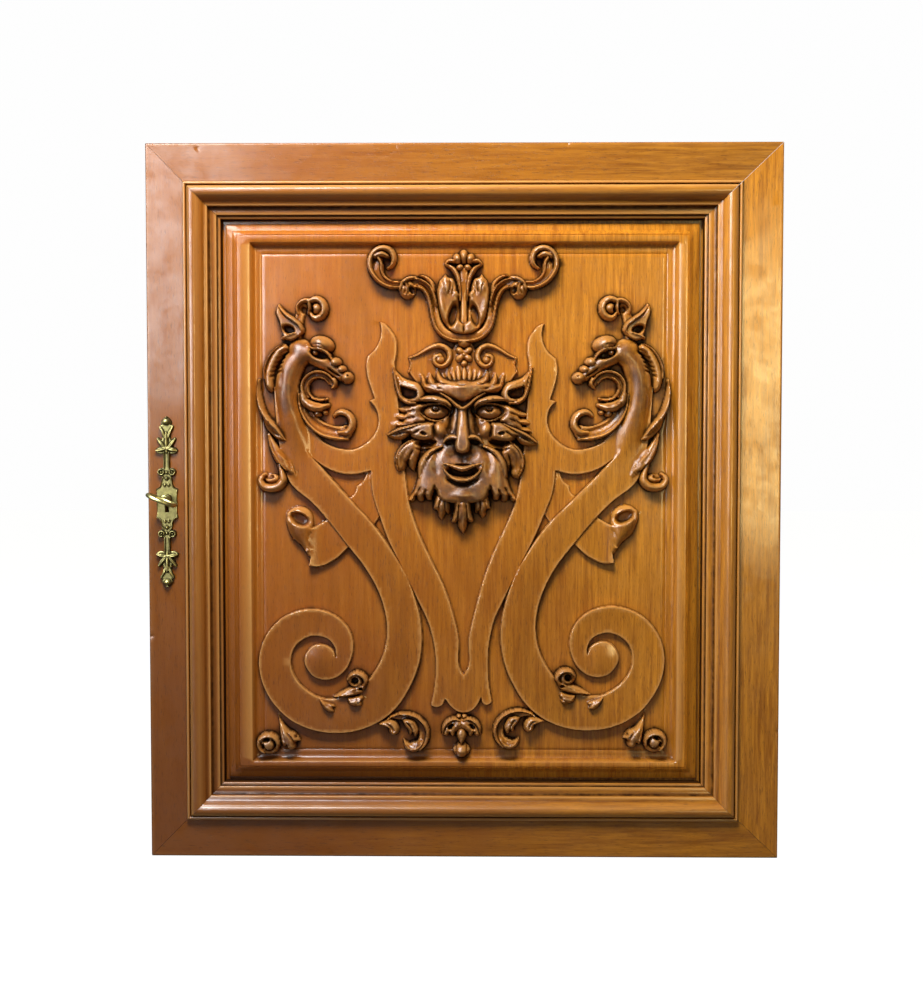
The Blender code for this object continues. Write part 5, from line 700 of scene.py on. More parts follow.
def rosette(r):
    """A flat four-lobed flower between the scrolls."""
    for angle in (45, 135, 225, 315):
        turn = math.radians(angle)
        r.dome(0.2 + 5.2 * math.cos(turn), 133.6 + 4.6 * math.sin(turn), 4.6, 3.4, 9.5, angle=angle)
    r.dome(0.2, 133.6, 5, 5, 9)
    r.pit(0.2, 133.6, 3.2, 3.2, 7.4)
    r.dome(0.2, 133.6, 2.1, 2.1, 9.4, blend=0)
    r.dome(0.2, 143.5, 6, 4.4, 11)
    r.dome(0.2, 125.5, 3.4, 3.2, 9)


# The leaf mask

MASK_X = -1.0


EAR = closed(
    [(-61.2, 113), (-59, 103), (-56.5, 95), (-51, 90), (-44, 88.4), (-36, 91.5)],
    [(-34.2, 97), (-35.4, 102.8), (-39.6, 107.8), (-46, 110), (-53, 112.6), (-58, 117), (-62.8, 123)],
)
EAR_HOLE = closed(
    [(-48.5, 103.9), (-40.8, 101.4)],
    [(-40.2, 96.4), (-43, 93.4)],
    [(-49.4, 92.9), (-54.2, 95.4), (-56, 106)],
)


def mask_ear(r):
    """A long pointed ear, open at the front."""
    r.blade(EAR, lambda x, z: 16.5 - 7 * ease((-x - 38) / 26), wall=3.4)
    r.rim([(-62.3, 121.6), (-60.2, 111), (-57.8, 101), (-54.6, 94), (-48.5, 90.4), (-42, 89.8)],
          [0.7, 1.3, 1.5, 1.7, 2, 1.4], [10, 12, 13, 14, 15.5, 16])
    r.hollow(EAR_HOLE, 0.6, wall=1.2)
    r.groove([(-59, 117), (-54, 110), (-47, 106.4)], 1.1, 1.8)


def mask_eye(r):
    """A wide almond eye with a drilled pupil."""
    r.pit(-25.5, 82, 17, 9.6, 9)
    r.pit(-11.5, 84, 5.5, 7.5, 7)
    r.dome(-24, 81.6, 13, 8, 17.5, blend=0)
    r.stroke([(-40, 84), (-34, 87.6), (-24.5, 89.2), (-15.5, 88), (-11, 84)], [0.8, 1.1, 1.3, 1.3, 0.9],
             [12.5, 16, 17.5, 17.5, 13], blend=0.4)
    r.stroke([(-40, 84), (-35, 78.2), (-25, 74), (-15.5, 75.6), (-11, 80.5)], [0.8, 1, 1.2, 1.1, 0.8],
             [12, 13.5, 15, 14.5, 12], blend=0.4)
    r.pit(-24, 84.6, 4.6, 4, 12.5)
    r.dome(-23.6, 84.8, 3.4, 2.8, 16.6, blend=0)
    r.pit(-23.8, 85.2, 1.7, 1.6, 13)


FLAME = closed(
    [(-6, 90.2), (-12, 92.5), (-20, 96), (-30, 98), (-36, 101.5)],
    [(-37.8, 107), (-37.6, 112), (-39.8, 119)],
    [(-34.6, 114), (-32.2, 108)],
    [(-31.4, 113), (-29.3, 118)],
    [(-26.6, 113), (-23.8, 109)],
    [(-24, 115), (-22.2, 121.5)],
    [(-18.4, 113.8), (-12, 110.6), (0, 109.8), (6, 109.8)],
    [(6, 90)],
)


def mask_brow(r):
    """The brow, which flares into flame-shaped locks."""
    r.blade(FLAME, lambda x, z: 20.5 - 6.5 * ease((-x - 6) / 34) - 4.5 * ease((z - 106) / 12), wall=5,
            blend=2)
    r.stroke([(-10.5, 87), (-13.6, 90), (-20, 92.2), (-29, 93.6), (-37.5, 93)], [1.8, 3.2, 3.8, 3.4, 1.8],
             [20, 23, 23.5, 21.5, 17], blend=0.8)
    r.stroke([(4, 104), (-6, 103.6), (-14, 103.6), (-20, 106.4)], [3, 3, 2.8, 1.2], [21.5, 21.5, 20, 16],
             blend=2)
    r.groove([(-12, 96.6), (-21, 98.8), (-33, 99)], 1.8, 1.2)
    r.groove([(-18, 102), (-25, 104), (-32, 109)], 1.5, 2)
    r.groove([(-12, 107), (-18, 106.6), (-23.8, 110)], 1.3, 2.6)
    r.groove([(-24, 99.6), (-33, 103.6), (-37.6, 111)], 1.1, 1.6)
    r.pit(-8.6, 86, 2.2, 3.4, 9.5, angle=-30)


JAW = closed(
    [(-8, 58), (-18, 52)],
    [(-26, 48), (-33, 41), (-38, 32), (-41, 22), (-44, 12), (-49.5, 3)],
    [(-46, 1), (-43, 2.5), (-42, 5.5)],
    [(-39.5, 1.6), (-36, 1.2), (-34, 6)],
    [(-31.5, 2.4), (-28, 2.6), (-26.5, 7), (-24.5, 11)],
    [(-22.6, 5), (-19, 1), (-10, -0.6), (6, -1.2)],
    [(6, 60)],
)


def jaw_top(x, z):
    """Full over the jaw, thinner towards the leaf tips and under the nose."""
    tips = ease((-x - 30) / 18) * 5
    foot = ease((10 - z) / 12) * ease((-x - 14) / 12) * 5
    return 18.4 - tips - foot - 2.4 * ease((z - 36) / 12)


def mask_cheek(r):
    """Cheekbone, hollow and laughing fold down to the jaw."""
    r.plate(JAW, jaw_top, wall=4.8)
    r.stroke([(-19, 51), (-28, 46.5), (-35, 37), (-38.5, 24)], [1.6, 3.4, 4.6, 1.6], [17, 19.5, 19, 15.5],
             blend=3)
    for top_x, top_z, foot, tip in ((-37.5, 15, -43, 2), (-32, 13, -35, 3), (-24.5, 17, -25.5, 7)):
        r.groove([(top_x, top_z), ((top_x + foot) / 2 - 0.6, (top_z + tip) / 2), (foot, tip)], 1.7, 3)
    r.groove([(-38.5, 26), (-41.5, 16), (-46.5, 3)], 1.1, 1.6)
    r.groove([(-17, 51), (-22.5, 44), (-24.5, 35), (-22, 26)], 3.6, 2.4)
    r.groove([(-43, 54.5), (-33, 53.4), (-23, 55.5)], 3.6, 6)
    r.groove([(-42, 49.5), (-34, 47.8), (-28, 49.4)], 1.6, 2.6)
    r.dome(-20.5, 66, 8, 11, 20.6, angle=14, blend=4, power=0.8)
    r.dome(-33.5, 64, 10, 7.2, 20, angle=-8, blend=2.5, power=0.7)
    r.groove([(-27.6, 71), (-26.2, 65), (-26.6, 58)], 1.8, 1.8)
    r.pit(-34.8, 62.8, 3.6, 2, 16.4, angle=-16)
    r.groove([(-44, 72), (-34, 72.8), (-22, 71.6)], 1.6, 1.6)
    r.groove([(-10.5, 82), (-11.4, 72), (-13, 62)], 3.6, 5)


LONG_LEAF = closed(
    [(-38, 73.4), (-48, 70), (-58, 67.8), (-69, 60.3)],
    [(-62, 56.8), (-54, 57), (-47.8, 61)],
    [(-44, 57.4), (-34, 55.8), (-24, 58)],
    [(-24, 74)],
)
TEMPLE_LEAF = closed(
    [(-46, 89.4), (-53, 87), (-60, 85.2)],
    [(-56, 82), (-52.5, 80.6)],
    [(-57.5, 80.6), (-62.3, 78)],
    [(-58, 75), (-54.5, 74)],
    [(-59.5, 73.8), (-65, 70)],
    [(-56, 67.6), (-46, 68), (-32, 72)],
    [(-32, 90)],
)
JOWL_LEAF = closed(
    [(-46, 58), (-54, 53), (-59.6, 46), (-61.4, 38), (-58.6, 27.5)],
    [(-53, 29.5), (-49.6, 36.5)],
    [(-48, 32), (-43.4, 28.5)],
    [(-39.8, 38), (-36.5, 48), (-37, 58.5)],
)


def hung(runs, right):
    """The same leaf, or its twin on the right, which hangs lower and nearer the middle."""
    if not right:
        return runs
    moved = []
    for run in runs:
        moved.append([])
        for x, z in run:
            low = min(max((60 - z) / 30, 0), 1)
            far = min(max((-x - 34) / 34, 0), 1)
            moved[-1].append((-x - 8 * low, z - 7.5 * far * (1 - low) - 6 * low))
    return moved


def cheek_leaves(r, right):
    """The leaves beside each eye and below the cheek."""
    side = 1 if right else -1

    def thinning(thick, thin):
        return lambda x, z: thick - (thick - thin) * ease((side * x - 36) / 30)

    def vein(points, width, depth):
        r.groove(hung([points], right)[0], width, depth)

    def rim(points, widths, tops):
        r.rim(hung([points], right)[0], widths, tops)

    r.blade(hung(TEMPLE_LEAF, right), thinning(15.5, 8), wall=3.6)
    vein([(-53, 80.6), (-47, 82.4), (-42, 83)], 1.5, 2.2)
    vein([(-55, 74.2), (-48, 76.4), (-42, 77.4)], 1.5, 2.2)
    vein([(-58, 83.4), (-52, 84.4), (-46, 85.6)], 1, 1.2)
    vein([(-60, 72), (-53, 71.2), (-46, 72.6)], 1, 1.2)
    r.blade(hung(JOWL_LEAF, right), lambda x, z: 15.5 - 5.5 * ease((52 - z) / 24), wall=4.2)
    rim([(-43, 57.6), (-51.6, 53), (-57.4, 46), (-59.6, 37), (-58.4, 30)], [0.6, 1.3, 1.6, 1.3, 0.6],
        [14, 15, 14, 12, 9.5])
    vein([(-46.5, 52), (-52.5, 45), (-55.5, 34)], 1.9, 1.6)
    vein([(-44, 48), (-47.5, 42), (-49.6, 36.6)], 1.4, 2.4)
    r.blade(hung(LONG_LEAF, right), thinning(20, 10.5), wall=4.2)
    rim([(-67, 61.4), (-57, 66), (-47, 68.6), (-37, 71.4)], [0.8, 1.9, 2.2, 1], [11, 15.5, 18.5, 19])
    vein([(-63, 60.4), (-53, 63.4), (-44, 63.4)], 1.5, 2.4)
    vein([(-47.8, 61), (-43.5, 63), (-38, 66)], 1.3, 2.6)


FORELOCKS = [(-15.5, -18, 117, 1.6, 5.5), (-11.5, -13.2, 119.5, 1.8, 6), (-7.6, -8.6, 121.4, 1.9, 6.6),
             (-3.4, -4, 122.2, 2.3, 7.4), (1.4, 1.4, 122.6, 2.5, 7.6), (6.2, 6.6, 122, 2.2, 7),
             (10.4, 11.4, 120.4, 1.9, 6.4), (14, 16, 118.4, 1.7, 5.8), (17, 19.6, 116, 1.5, 5.2)]


NOSE_SIDE = [(0, 88), (-4.6, 86), (-5.6, 78), (-6.4, 68), (-7.6, 58), (-8, 51), (-6.2, 46), (0, 43.2)]
NOSE = [NOSE_SIDE, [(-x, z) for x, z in reversed(NOSE_SIDE)]]


def arched(points):
    """Points from the left up to the middle, and on down to the right."""
    return points + [(-x, z) for x, z in reversed(points[:-1])]


def there_and_back(values):
    return values + values[-2::-1]


def mask_middle(r):
    """Forehead, nose, mouth and chin."""
    r.dome(0, 102, 17, 10, 21, power=0.8, blend=3)
    r.pit(-1, 106.4, 5.6, 1.7, 17.5)
    r.stroke(arched([(-20, 98.6), (-12, 93.6), (-5, 87.4), (0, 84.6)]), there_and_back([0.8, 1.8, 2, 2.4]),
             there_and_back([19, 21.5, 22.5, 23]), blend=1.2)
    r.groove(arched([(-16, 101), (-8, 95), (0, 89.6)]), 1.6, 1.4)
    # nose
    r.blade(NOSE, lambda x, z: 20 + 9.5 * ease((88 - z) / 36) - 5 * ease((47.5 - z) / 5), wall=3.8,
            blend=1.2)
    r.groove([(-3.5, 70.4), (0, 69.4), (3.5, 70.4)], 1, 0.8)
    for side in (-1, 1):
        r.stroke([(4.5 * side, 58.5), (9 * side, 59.6), (14 * side, 58), (17 * side, 54.5)],
                 [3, 3.2, 2.4, 1.4], [26, 24.5, 22.5, 20], blend=0.8)
        r.pit(11.6 * side, 54.4, 4.7, 2.6, 11, angle=-6 * side)
    # muzzle and open smile
    r.dome(0, 27, 20, 12, 19.5, power=1, blend=6)
    r.groove([(-14, 44.5), (0, 41.5), (14, 44.5)], 4.8, 2.4)
    r.groove([(0, 44), (0, 36)], 2.2, 0.8)
    r.pit(0, 29.4, 16.6, 6.8, 9.5)
    r.stroke(arched([(-18.4, 36.2), (-11, 34.4), (0, 31.4)]), [1, 2.3, 3.7, 2.3, 1],
             [19.5, 23, 25, 23, 19.5], blend=0.6)
    r.stroke(arched([(-18, 35), (-14.5, 27.5), (-7.8, 22.4), (0, 20.8)]), there_and_back([1, 1.9, 2.4, 2.7]),
             there_and_back([19.5, 21.5, 23, 24]), blend=0.6)
    r.dome(0, 8, 20, 10, 20.5, blend=6, power=1)
    r.groove([(-16, 23), (0, 16.8), (16, 23)], 2.4, 3.4)
    r.groove([(-11, 10.8), (0, 9.6), (11, 10.8)], 1.3, 1.2)
    r.groove([(-8, 5.8), (0, 4.8), (8, 5.8)], 1.1, 1)
    # hair over the forehead
    for x, tip_x, tip_z, width, top in FORELOCKS:
        r.stroke([(x * 0.9, 109), ((x + tip_x) / 2, (109 + tip_z) / 2), (tip_x, tip_z)],
                 [width, width * 1.2, width * 0.5], [top, top, top * 0.75], blend=0.3)


BEARD_LEFT = closed(
    [(-25.4, 2), (-26.5, -5.5)],
    [(-23.6, -6.4), (-22, -8.4)],
    [(-21.6, -12.5), (-18.6, -15.5)],
    [(-16.6, -12), (-15, -8.5)],
    [(-12.6, -10.5), (-11.6, -6), (-11, 4)],
    [(-24, 9)],
)
BEARD_MIDDLE = closed(
    [(-7.6, -4), (-8.4, -9), (-10.2, -17.5)],
    [(-6.6, -17.8), (-4.4, -16.4)],
    [(-3.6, -22), (0.6, -28)],
    [(3.6, -22), (4.6, -16.4)],
    [(7, -18), (10, -16.2)],
    [(8.2, -9), (7.6, -4), (9, 4)],
    [(-9, 4)],
)


def beard(r):
    """Three leafy tufts under the chin, the middle one longest."""
    right = [[(-x * 0.94, z * 0.9) for x, z in run] for run in BEARD_LEFT]
    for side, runs in ((-1, BEARD_LEFT), (1, right)):
        r.blade(runs, lambda x, z: 14.5 - 5.5 * ease(-z / 15), wall=3.2)
        r.groove([(19.5 * side, 4), (21 * side, -2), (21.6 * side, -8)], 1.1, 2.2)
        r.groove([(15.5 * side, 4), (16 * side, -2), (15.4 * side, -8)], 1.1, 2.2)
    r.blade(BEARD_MIDDLE, lambda x, z: 17 - 7 * ease((-2 - z) / 24), wall=3.4)
    r.stroke([(0, 0), (0.4, -9), (0.5, -18), (0.5, -26)], [2.6, 2.8, 2.4, 0.8], [18.5, 16, 13.5, 9.5],
             blend=1)
    for side in (-1, 1):
        r.groove([(3.2 * side, 0), (3.8 * side, -8), (4.4 * side, -16)], 1.3, 3)


def mask(x, z, height):
    """The whole mask, over whatever is carved behind it."""
    whole = Relief(x - MASK_X, z, height)
    folded = Relief(-np.abs(x - MASK_X), z, height)
    mask_ear(folded)
    for right in (False, True):
        cheek_leaves(whole, right)
    whole.dome(0, 58, 45, 50, 15.5, blend=2)
    whole.dome(0, 32, 40, 26, 14, blend=2)
    mask_cheek(folded)
    whole.dome(0, 95, 32, 12, 15, power=0.7, blend=2)
    beard(whole)
    mask_eye(folded)
    mask_brow(folded)
    mask_middle(whole)


# The whole relief


def right_shift(x, z):
    """How far the carver's right half sits nearer the middle and higher than a true mirror copy."""
    low = ease((40 - z) / 80)
    spike = np.exp(-((np.abs(x) - 74) / 22)**2 - ((z - 135) / 45)**2)
    inner = ease((np.abs(x) - 8) / 20)
    return inner * (1.2 + 3.2 * low + 3.4 * spike), inner * (3.0 * low - 2.2 * spike)


def fold(x, z):
    """The place in the left half that each point of the door repeats."""
    left_x = -np.abs(x)
    dx, dz = right_shift(left_x, z)
    right = x > 0
    return np.where(right, left_x - dx, left_x), np.where(right, z - dz, z)


def relief_height(x, z):
    """Everything that stands over the ground of the field."""
    r = Relief(*fold(x, z))
    for runs, top in ((FRAGMENT, UNDER_TOP), (ARM, STRAP_TOP), (BAND, band_top), (TAB, tab_top),
                      (HEADBAND, HEADBAND_TOP)):
        r.plate(runs, top, spacing=OUTLINE_STEP)
    for carve in (rolled_end, dragon, volute_leaf, corner_leaf, bottom_leaf):
        carve(r)
    pendant(Relief(-np.abs(x - PENDANT_X), z, r.h))
    headband(r)
    crown(r)
    rosette(Relief(x, z, r.h))
    mask(x, z, r.h)
    return r.h


# The panel's front face


def rectangle_inset(x, z, left, right, bottom, top):
    """Distance in from the nearest side of a rectangle."""
    return np.minimum(np.minimum(x - left, right - x), np.minimum(z - bottom, top - z))


def grown(rectangle, by):
    """The rectangle made larger on every side."""
    left, right, bottom, top = rectangle
    return left - by, right + by, bottom - by, top + by


def moulding_inner():
    """The rectangle inside the moulding: left, right, bottom and top."""
    left = -DOOR_WIDTH / 2 + SHOWN_LEFT + MOULDING_WIDTH
    right = DOOR_WIDTH / 2 - SHOWN_RIGHT - MOULDING_WIDTH
    top = DOOR_HEIGHT / 2 - SHOWN_RAIL - MOULDING_WIDTH
    return left, right, -top, top


RAISED = grown(moulding_inner(), -SHADOW_GROOVE)
FIELD = (FIELD_LEFT, FIELD_RIGHT, FIELD_BOTTOM, FIELD_TOP)

# Inset from the raised edge, and out
BORDER_PROFILE = [(-0.3, TONGUE_FRONT), (0, EDGE_FLAT_OUT - 0.5), (0.5, EDGE_FLAT_OUT),
                  (5.6, EDGE_FLAT_OUT + 0.3), (6.2, EDGE_FLAT_OUT + 0.9), (9.6, MARGIN_OUT - 0.3),
                  (10.0, MARGIN_OUT - 0.9), (10.5, MARGIN_OUT - 0.1), (11.2, MARGIN_OUT)]
# Inset from the field's edge, and out
FIELD_PROFILE = [(0, MARGIN_OUT), (0.35, MARGIN_OUT - 0.25), (0.8, MARGIN_OUT - 1.1),
                 (2.6, MARGIN_OUT - 4.0), (3.4, GROUND_OUT + 1.1), (4.4, GROUND_OUT + 0.5),
                 (5.4, GROUND_OUT + 0.15), (6.6, GROUND_OUT)]
SCRIBED_PROFILE = [(SCRIBED_INSET - 0.6, 0.0), (SCRIBED_INSET, -0.5), (SCRIBED_INSET + 0.6, 0.0)]


def panel_out(x, z):
    """How far out the panel's front face lies, borders, ground and carving together."""
    edge = rectangle_inset(x, z, *RAISED)
    field = rectangle_inset(x, z, *FIELD)
    border = np.interp(edge, *zip(*BORDER_PROFILE))
    wall = np.interp(field, *zip(*FIELD_PROFILE))
    ground = np.where(field > 0, wall, border)
    scribed = np.interp(field, *zip(*SCRIBED_PROFILE), left=0, right=0)
    inside = np.nonzero(field > 1.0)[0]
    carved = np.zeros_like(x)
    carved[inside] = relief_height(x[inside], z[inside])
    return np.where(carved > 0.05, np.maximum(ground, GROUND_OUT + carved), ground + scribed)


def rectangle_loop(rectangle, spacing):
    left, right, bottom, top = rectangle
    corners = [(left, bottom), (right, bottom), (right, top), (left, top)]
    loop = []
    for a, b in zip(corners, corners[1:] + corners[:1]):
        count = max(1, round(math.dist(a, b) / spacing))
        loop += [(a[0] + (b[0] - a[0]) * i / count, a[1] + (b[1] - a[1]) * i / count) for i in range(count)]
    return loop


def inset_outline(shape, by):
    """The outline moved inwards by a small distance."""
    before = np.roll(shape, 1, axis=0)
    after = np.roll(shape, -1, axis=0)
    along = after - before
    along /= np.maximum(np.linalg.norm(along, axis=1), 1e-9)[:, None]
    normal = np.column_stack([-along[:, 1], along[:, 0]])
    area = np.sum(shape[:, 0] * after[:, 1] - after[:, 0] * shape[:, 1])
    return shape + normal * by * np.sign(area)


def unfold(points):
    """The same points on the right half of the door."""
    dx, dz = right_shift(points[:, 0], points[:, 1])
    return np.column_stack([-points[:, 0] - dx, points[:, 1] + dz])


def strap_stretches():
    """The stretches of each strap's foot, wall and top edge that no other carving covers."""
    stretches = []
    levels = [(FRAGMENT, UNDER_TOP), (ARM, STRAP_TOP), (BAND, OVER_TOP), (HEADBAND, HEADBAND_TOP)]
    for runs, top in levels:
        shape = outline(runs, EDGE_STEP)
        open_side = shape[:, 0] < 0.2
        for by, level in ((-0.05, 0.0), (0.3 * STRAP_WALL, top), (STRAP_WALL, top)):
            loop = inset_outline(shape, by)
            loop = loop[open_side & (loop[:, 0] < -0.8)]
            for half in (loop, unfold(loop)):
                shown = relief_height(half[:, 0], half[:, 1]) < level + 0.3
                run = []
                for point, show in zip(half.tolist(), shown):
                    if show and (not run or math.dist(point, run[-1]) < 3 * EDGE_STEP):
                        run.append(point)
                        continue
                    if len(run) > 1:
                        stretches.append(run)
                    run = [point] if show else []
                if len(run) > 1:
                    stretches.append(run)
    return stretches


def widest(values, reach):
    """The largest of each value's neighbours."""
    for axis in (0, 1):
        values = np.maximum.reduce([np.roll(values, shift, axis) for shift in range(-reach, reach + 1)])
    return values


def blurred(values, reach, times=2):
    """A soft average over a square."""
    for _ in range(times):
        for axis in (0, 1):
            values = sum(np.roll(values, shift, axis) for shift in range(-reach, reach + 1)) / (2 * reach + 1)
    return values


def sample_grid(values, x, z):
    """A grid over the field read between its points."""
    u = np.clip((x - FIELD_LEFT) / FINE_STEP, 0, values.shape[1] - 1.001)
    v = np.clip((z - FIELD_BOTTOM) / FINE_STEP, 0, values.shape[0] - 1.001)
    i = u.astype(int)
    j = v.astype(int)
    a = u - i
    b = v - j
    low = values[j, i] * (1 - a) + values[j, i + 1] * a
    high = values[j + 1, i] * (1 - a) + values[j + 1, i + 1] * a
    return low * (1 - b) + high * b


def chosen_points(grid_x, grid_z, height, taken, budget):
    """Grid points, close together where the surface bends and far apart where it lies flat."""
    bend = np.zeros_like(height)
    for axis in (0, 1):
        bend = np.maximum(bend, np.abs(np.roll(height, 1, axis) - 2 * height + np.roll(height, -1, axis)))
    bend = widest(bend, 1)
    broad = widest(bend, 3)
    rows, columns = np.indices(height.shape)
    inside = rectangle_inset(grid_x, grid_z, *FIELD) > 0.9
    tree = KDTree(len(taken))
    for i, point in enumerate(taken):
        tree.insert((point[0], point[1], 0), i)
    tree.balance()
    fine = 0.05
    while True:
        every = bend > fine
        second = (rows % 2 == 0) & (columns % 2 == 0) & (bend > fine / 4)
        fourth = (rows % 4 == 0) & (columns % 4 == 0) & (broad > fine / 12)
        rest = (rows % 8 == 0) & (columns % 8 == 0)
        keep = (every | second | fourth | rest) & inside
        if keep.sum() < budget - len(taken):
            break
        fine *= 1.08
    spots = np.column_stack([grid_x[keep], grid_z[keep]])
    clear = [tree.find((p[0], p[1], 0))[2] > 0.42 for p in spots]
    return spots[np.array(clear)]


def triangulate(points, loops):
    """A flat triangulation that keeps every loop's edges; returns its points and triangles."""
    verts = [Vector(p) for p in points]
    edges = []
    for loop, is_ring in loops:
        first = len(verts)
        verts.extend(Vector(p) for p in loop)
        last = len(verts) - 1
        edges.extend((i, i + 1) for i in range(first, last))
        if is_ring:
            edges.append((last, first))
    out = delaunay_2d_cdt(verts, edges, [], 0, 0.01)
    return np.array([tuple(v) for v in out[0]]), out[2]


# From door millimetres to the part's metres


def placed(x, out, z):
    """A place on the door, in the part's own metres."""
    return Vector(((x - DOOR_WIDTH / 2) * MM, -(out - ORIGIN_OUT) * MM, z * MM))


def closed_mesh(name, verts, faces, sharp, values):
    """A mesh with its faces outwards, smooth but for edges sharper than an angle, and its shading values."""
    mesh = bpy.data.meshes.new(name)
    mesh.from_pydata(verts, [], faces)
    made = bmesh.new()
    made.from_mesh(mesh)
    bmesh.ops.recalc_face_normals(made, faces=made.faces[:])
    made.to_mesh(mesh)
    made.free()
    for key, numbers in values.items():
        mesh.attributes.new(key, "FLOAT", "POINT").data.foreach_set("value", numbers)
    if sharp:
        mesh.shade_smooth()
        mesh.set_sharp_from_angle(angle=math.radians(sharp))
    return mesh


def relief_mesh(name, points, faces, out, back, values, convex=True):
    """A closed mesh with the relief in front, a flat back and straight sides, and its shading values."""
    count = len(points)
    sides = {}
    for a, b, c in faces:
        for edge in ((a, b), (b, c), (c, a)):
            reverse = (edge[1], edge[0])
            if reverse in sides:
                del sides[reverse]
            else:
                sides[edge] = True
    x = (points[:, 0] - DOOR_WIDTH / 2) * MM
    z = points[:, 1] * MM
    front = np.column_stack([x, -(out - ORIGIN_OUT) * MM, z])
    rim = sorted({i for edge in sides for i in edge}) if convex else list(range(count))
    behind = {old: count + new for new, old in enumerate(rim)}
    back_y = -(back - ORIGIN_OUT) * MM
    rear = np.array([(x[i], back_y, z[i]) for i in rim])
    verts = np.vstack([front, rear])
    all_faces = [tuple(f) for f in faces]
    all_faces += [(b, a, behind[a], behind[b]) for a, b in sides]
    if convex:
        centre = len(verts)
        verts = np.vstack([verts, rear.mean(axis=0)[None]])
        all_faces += [(behind[b], behind[a], centre) for a, b in sides]
    else:
        all_faces += [tuple(behind[i] for i in reversed(f)) for f in faces]
    full = {key: np.concatenate([numbers, np.zeros(len(verts) - count)]) for key, numbers in values.items()}
    return closed_mesh(name, verts.tolist(), all_faces, PANEL_SHARP, full)


def add_piece(name, mesh, finish, slot, *nodes):
    """A visible piece that stands for CAD nodes."""
    thing = bpy.data.objects.new(name, mesh)
    thing.data.materials.append(finish)
    bpy.context.scene.collection.objects.link(thing)
    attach(thing, "root")
    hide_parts(*nodes)
    return thing


def panel_shades(height):
    """How deep in a recess each place of the field lies (for old wax and painted shade there, with a painted
    shadow halo round the carving), how much it stands over its neighbours (for wear and painted highlights on
    edges and crests) and how far lifted off the ground it is, from 0 to 1.
    """
    close = blurred(height, 1)
    near = blurred(height, 2)
    far = blurred(height, 5)
    relief = height - GROUND_OUT
    carved = ease((relief - 5.5) / 3.5)
    # painted shade: thin painted shadow lines along the feet of edges, darker cuts and deep hollows, and a
    # soft painted shadow halo on the ground round the carving; old wax lies there too
    line = np.clip((close - height - 0.15) / 0.7, 0, 1) * 0.45
    cut = np.clip((near - height - 0.3) / 1.6, 0, 1) * (0.22 + 0.6 * carved)
    deep = np.clip((far - height - 1.0) / 4.0, 0, 1) * (0.15 + 0.75 * carved)
    halo = blurred(carved, 6) * (0.62 - 0.45 * carved)
    # painted highlight, with rubbed wear, on crests and edges
    crest = np.clip((height - close - 0.08) / 0.45, 0, 1) * 0.7
    ridge = np.clip((height - near - 0.3) / 1.2, 0, 1) * 0.5
    return {"hollow": np.maximum(line, cut) + deep + halo, "wear_and_highlight": (crest + ridge) * (1 - 0.35 * carved),
            "lifted": ease((relief - 6) / 8)}


def make_panel(finish):
    left, right, bottom, top = FIELD
    xs = np.arange(left, right + FINE_STEP, FINE_STEP)
    zs = np.arange(bottom, top + FINE_STEP, FINE_STEP)
    grid_x, grid_z = np.meshgrid(xs, zs)
    height = panel_out(grid_x.ravel(), grid_z.ravel()).reshape(grid_x.shape)
    tongue = grown(moulding_inner(), MOULDING_WIDTH - UNDER_MOULDING + TONGUE_REACH)
    loops = [(rectangle_loop(tongue, 40), True)]
    for rectangle, profile, spacing in ((RAISED, BORDER_PROFILE, 8), (FIELD, FIELD_PROFILE, 3),
                                        (FIELD, SCRIBED_PROFILE, 1.5)):
        loops += [(rectangle_loop(grown(rectangle, -inset), spacing), True) for inset, _ in profile]
    loops += [(run, False) for run in strap_stretches()]
    taken = [point for loop, _ in loops for point in loop]
    spots = chosen_points(grid_x, grid_z, height, taken, PANEL_POINTS)
    points, faces = triangulate(spots, loops)
    out = panel_out(points[:, 0], points[:, 1])
    out = np.where(rectangle_inset(points[:, 0], points[:, 1], *RAISED) < -0.2, TONGUE_FRONT, out)
    shades = panel_shades(height)
    field = rectangle_inset(points[:, 0], points[:, 1], *FIELD) > 0
    values = {}
    for key, grid in shades.items():
        read = sample_grid(grid, points[:, 0], points[:, 1])
        values[key] = np.where(field, np.clip(read, 0, 1), 0)
    mesh = relief_mesh("carved_panel_fine", points, faces, out, TONGUE_BACK, values)
    add_piece("carved_panel_fine", mesh, finish, "carved_walnut", "carved_panel")


# Frame and mouldings

# Each dent's x, z, reach and depth
NICKS = [(-236, 315, 1.6, 0.7), (-252, 310, 1.2, 0.6), (-245, 291, 1.3, 0.5), (-238, -40, 1.3, 0.6),
         (275, 268, 1.8, 0.8), (-281, -120, 1.5, 0.7), (281.5, -205, 1.8, 0.8), (92, 318.5, 1.6, 0.7),
         (-120, -318, 2.0, 0.7), (236, -283, 1.4, 0.5), (-60, 316, 1.0, 0.4)]
MITRE_GAP = 0.17
UNDER = {"left": SHOWN_LEFT + UNDER_MOULDING, "right": SHOWN_RIGHT + UNDER_MOULDING,
         "top": SHOWN_RAIL + UNDER_MOULDING, "bottom": SHOWN_RAIL + UNDER_MOULDING}
NEIGHBOURS = {"left": ("bottom", "top"), "right": ("bottom", "top"), "top": ("left", "right"),
              "bottom": ("left", "right")}
UPRIGHT = ("left", "right")


def frame_face(side):
    """The frame member across its width: worn outer edge, flat front, square back."""
    width = UNDER[side]
    front = TONGUE_FRONT + GAP
    back = TONGUE_BACK - GAP
    lip = width - GROOVE_DEPTH
    section = [(0, -FRAME_THICKNESS), (0, -18), (0, -10), (0, -5), (0, -2.2)]
    section += arc(1.7, -1.7, 1.7, 1.7, 180, 90, 8)
    shown = UNDER[side] - UNDER_MOULDING
    section += [(u, 0.0) for u in np.linspace(3.0, shown - 2, 22)]
    section += [(shown - 0.8, 0), (shown + 1, 0), (width, 0), (width, front), (lip, front), (lip, back)]
    return section + [(width, back), (width, -FRAME_THICKNESS)]


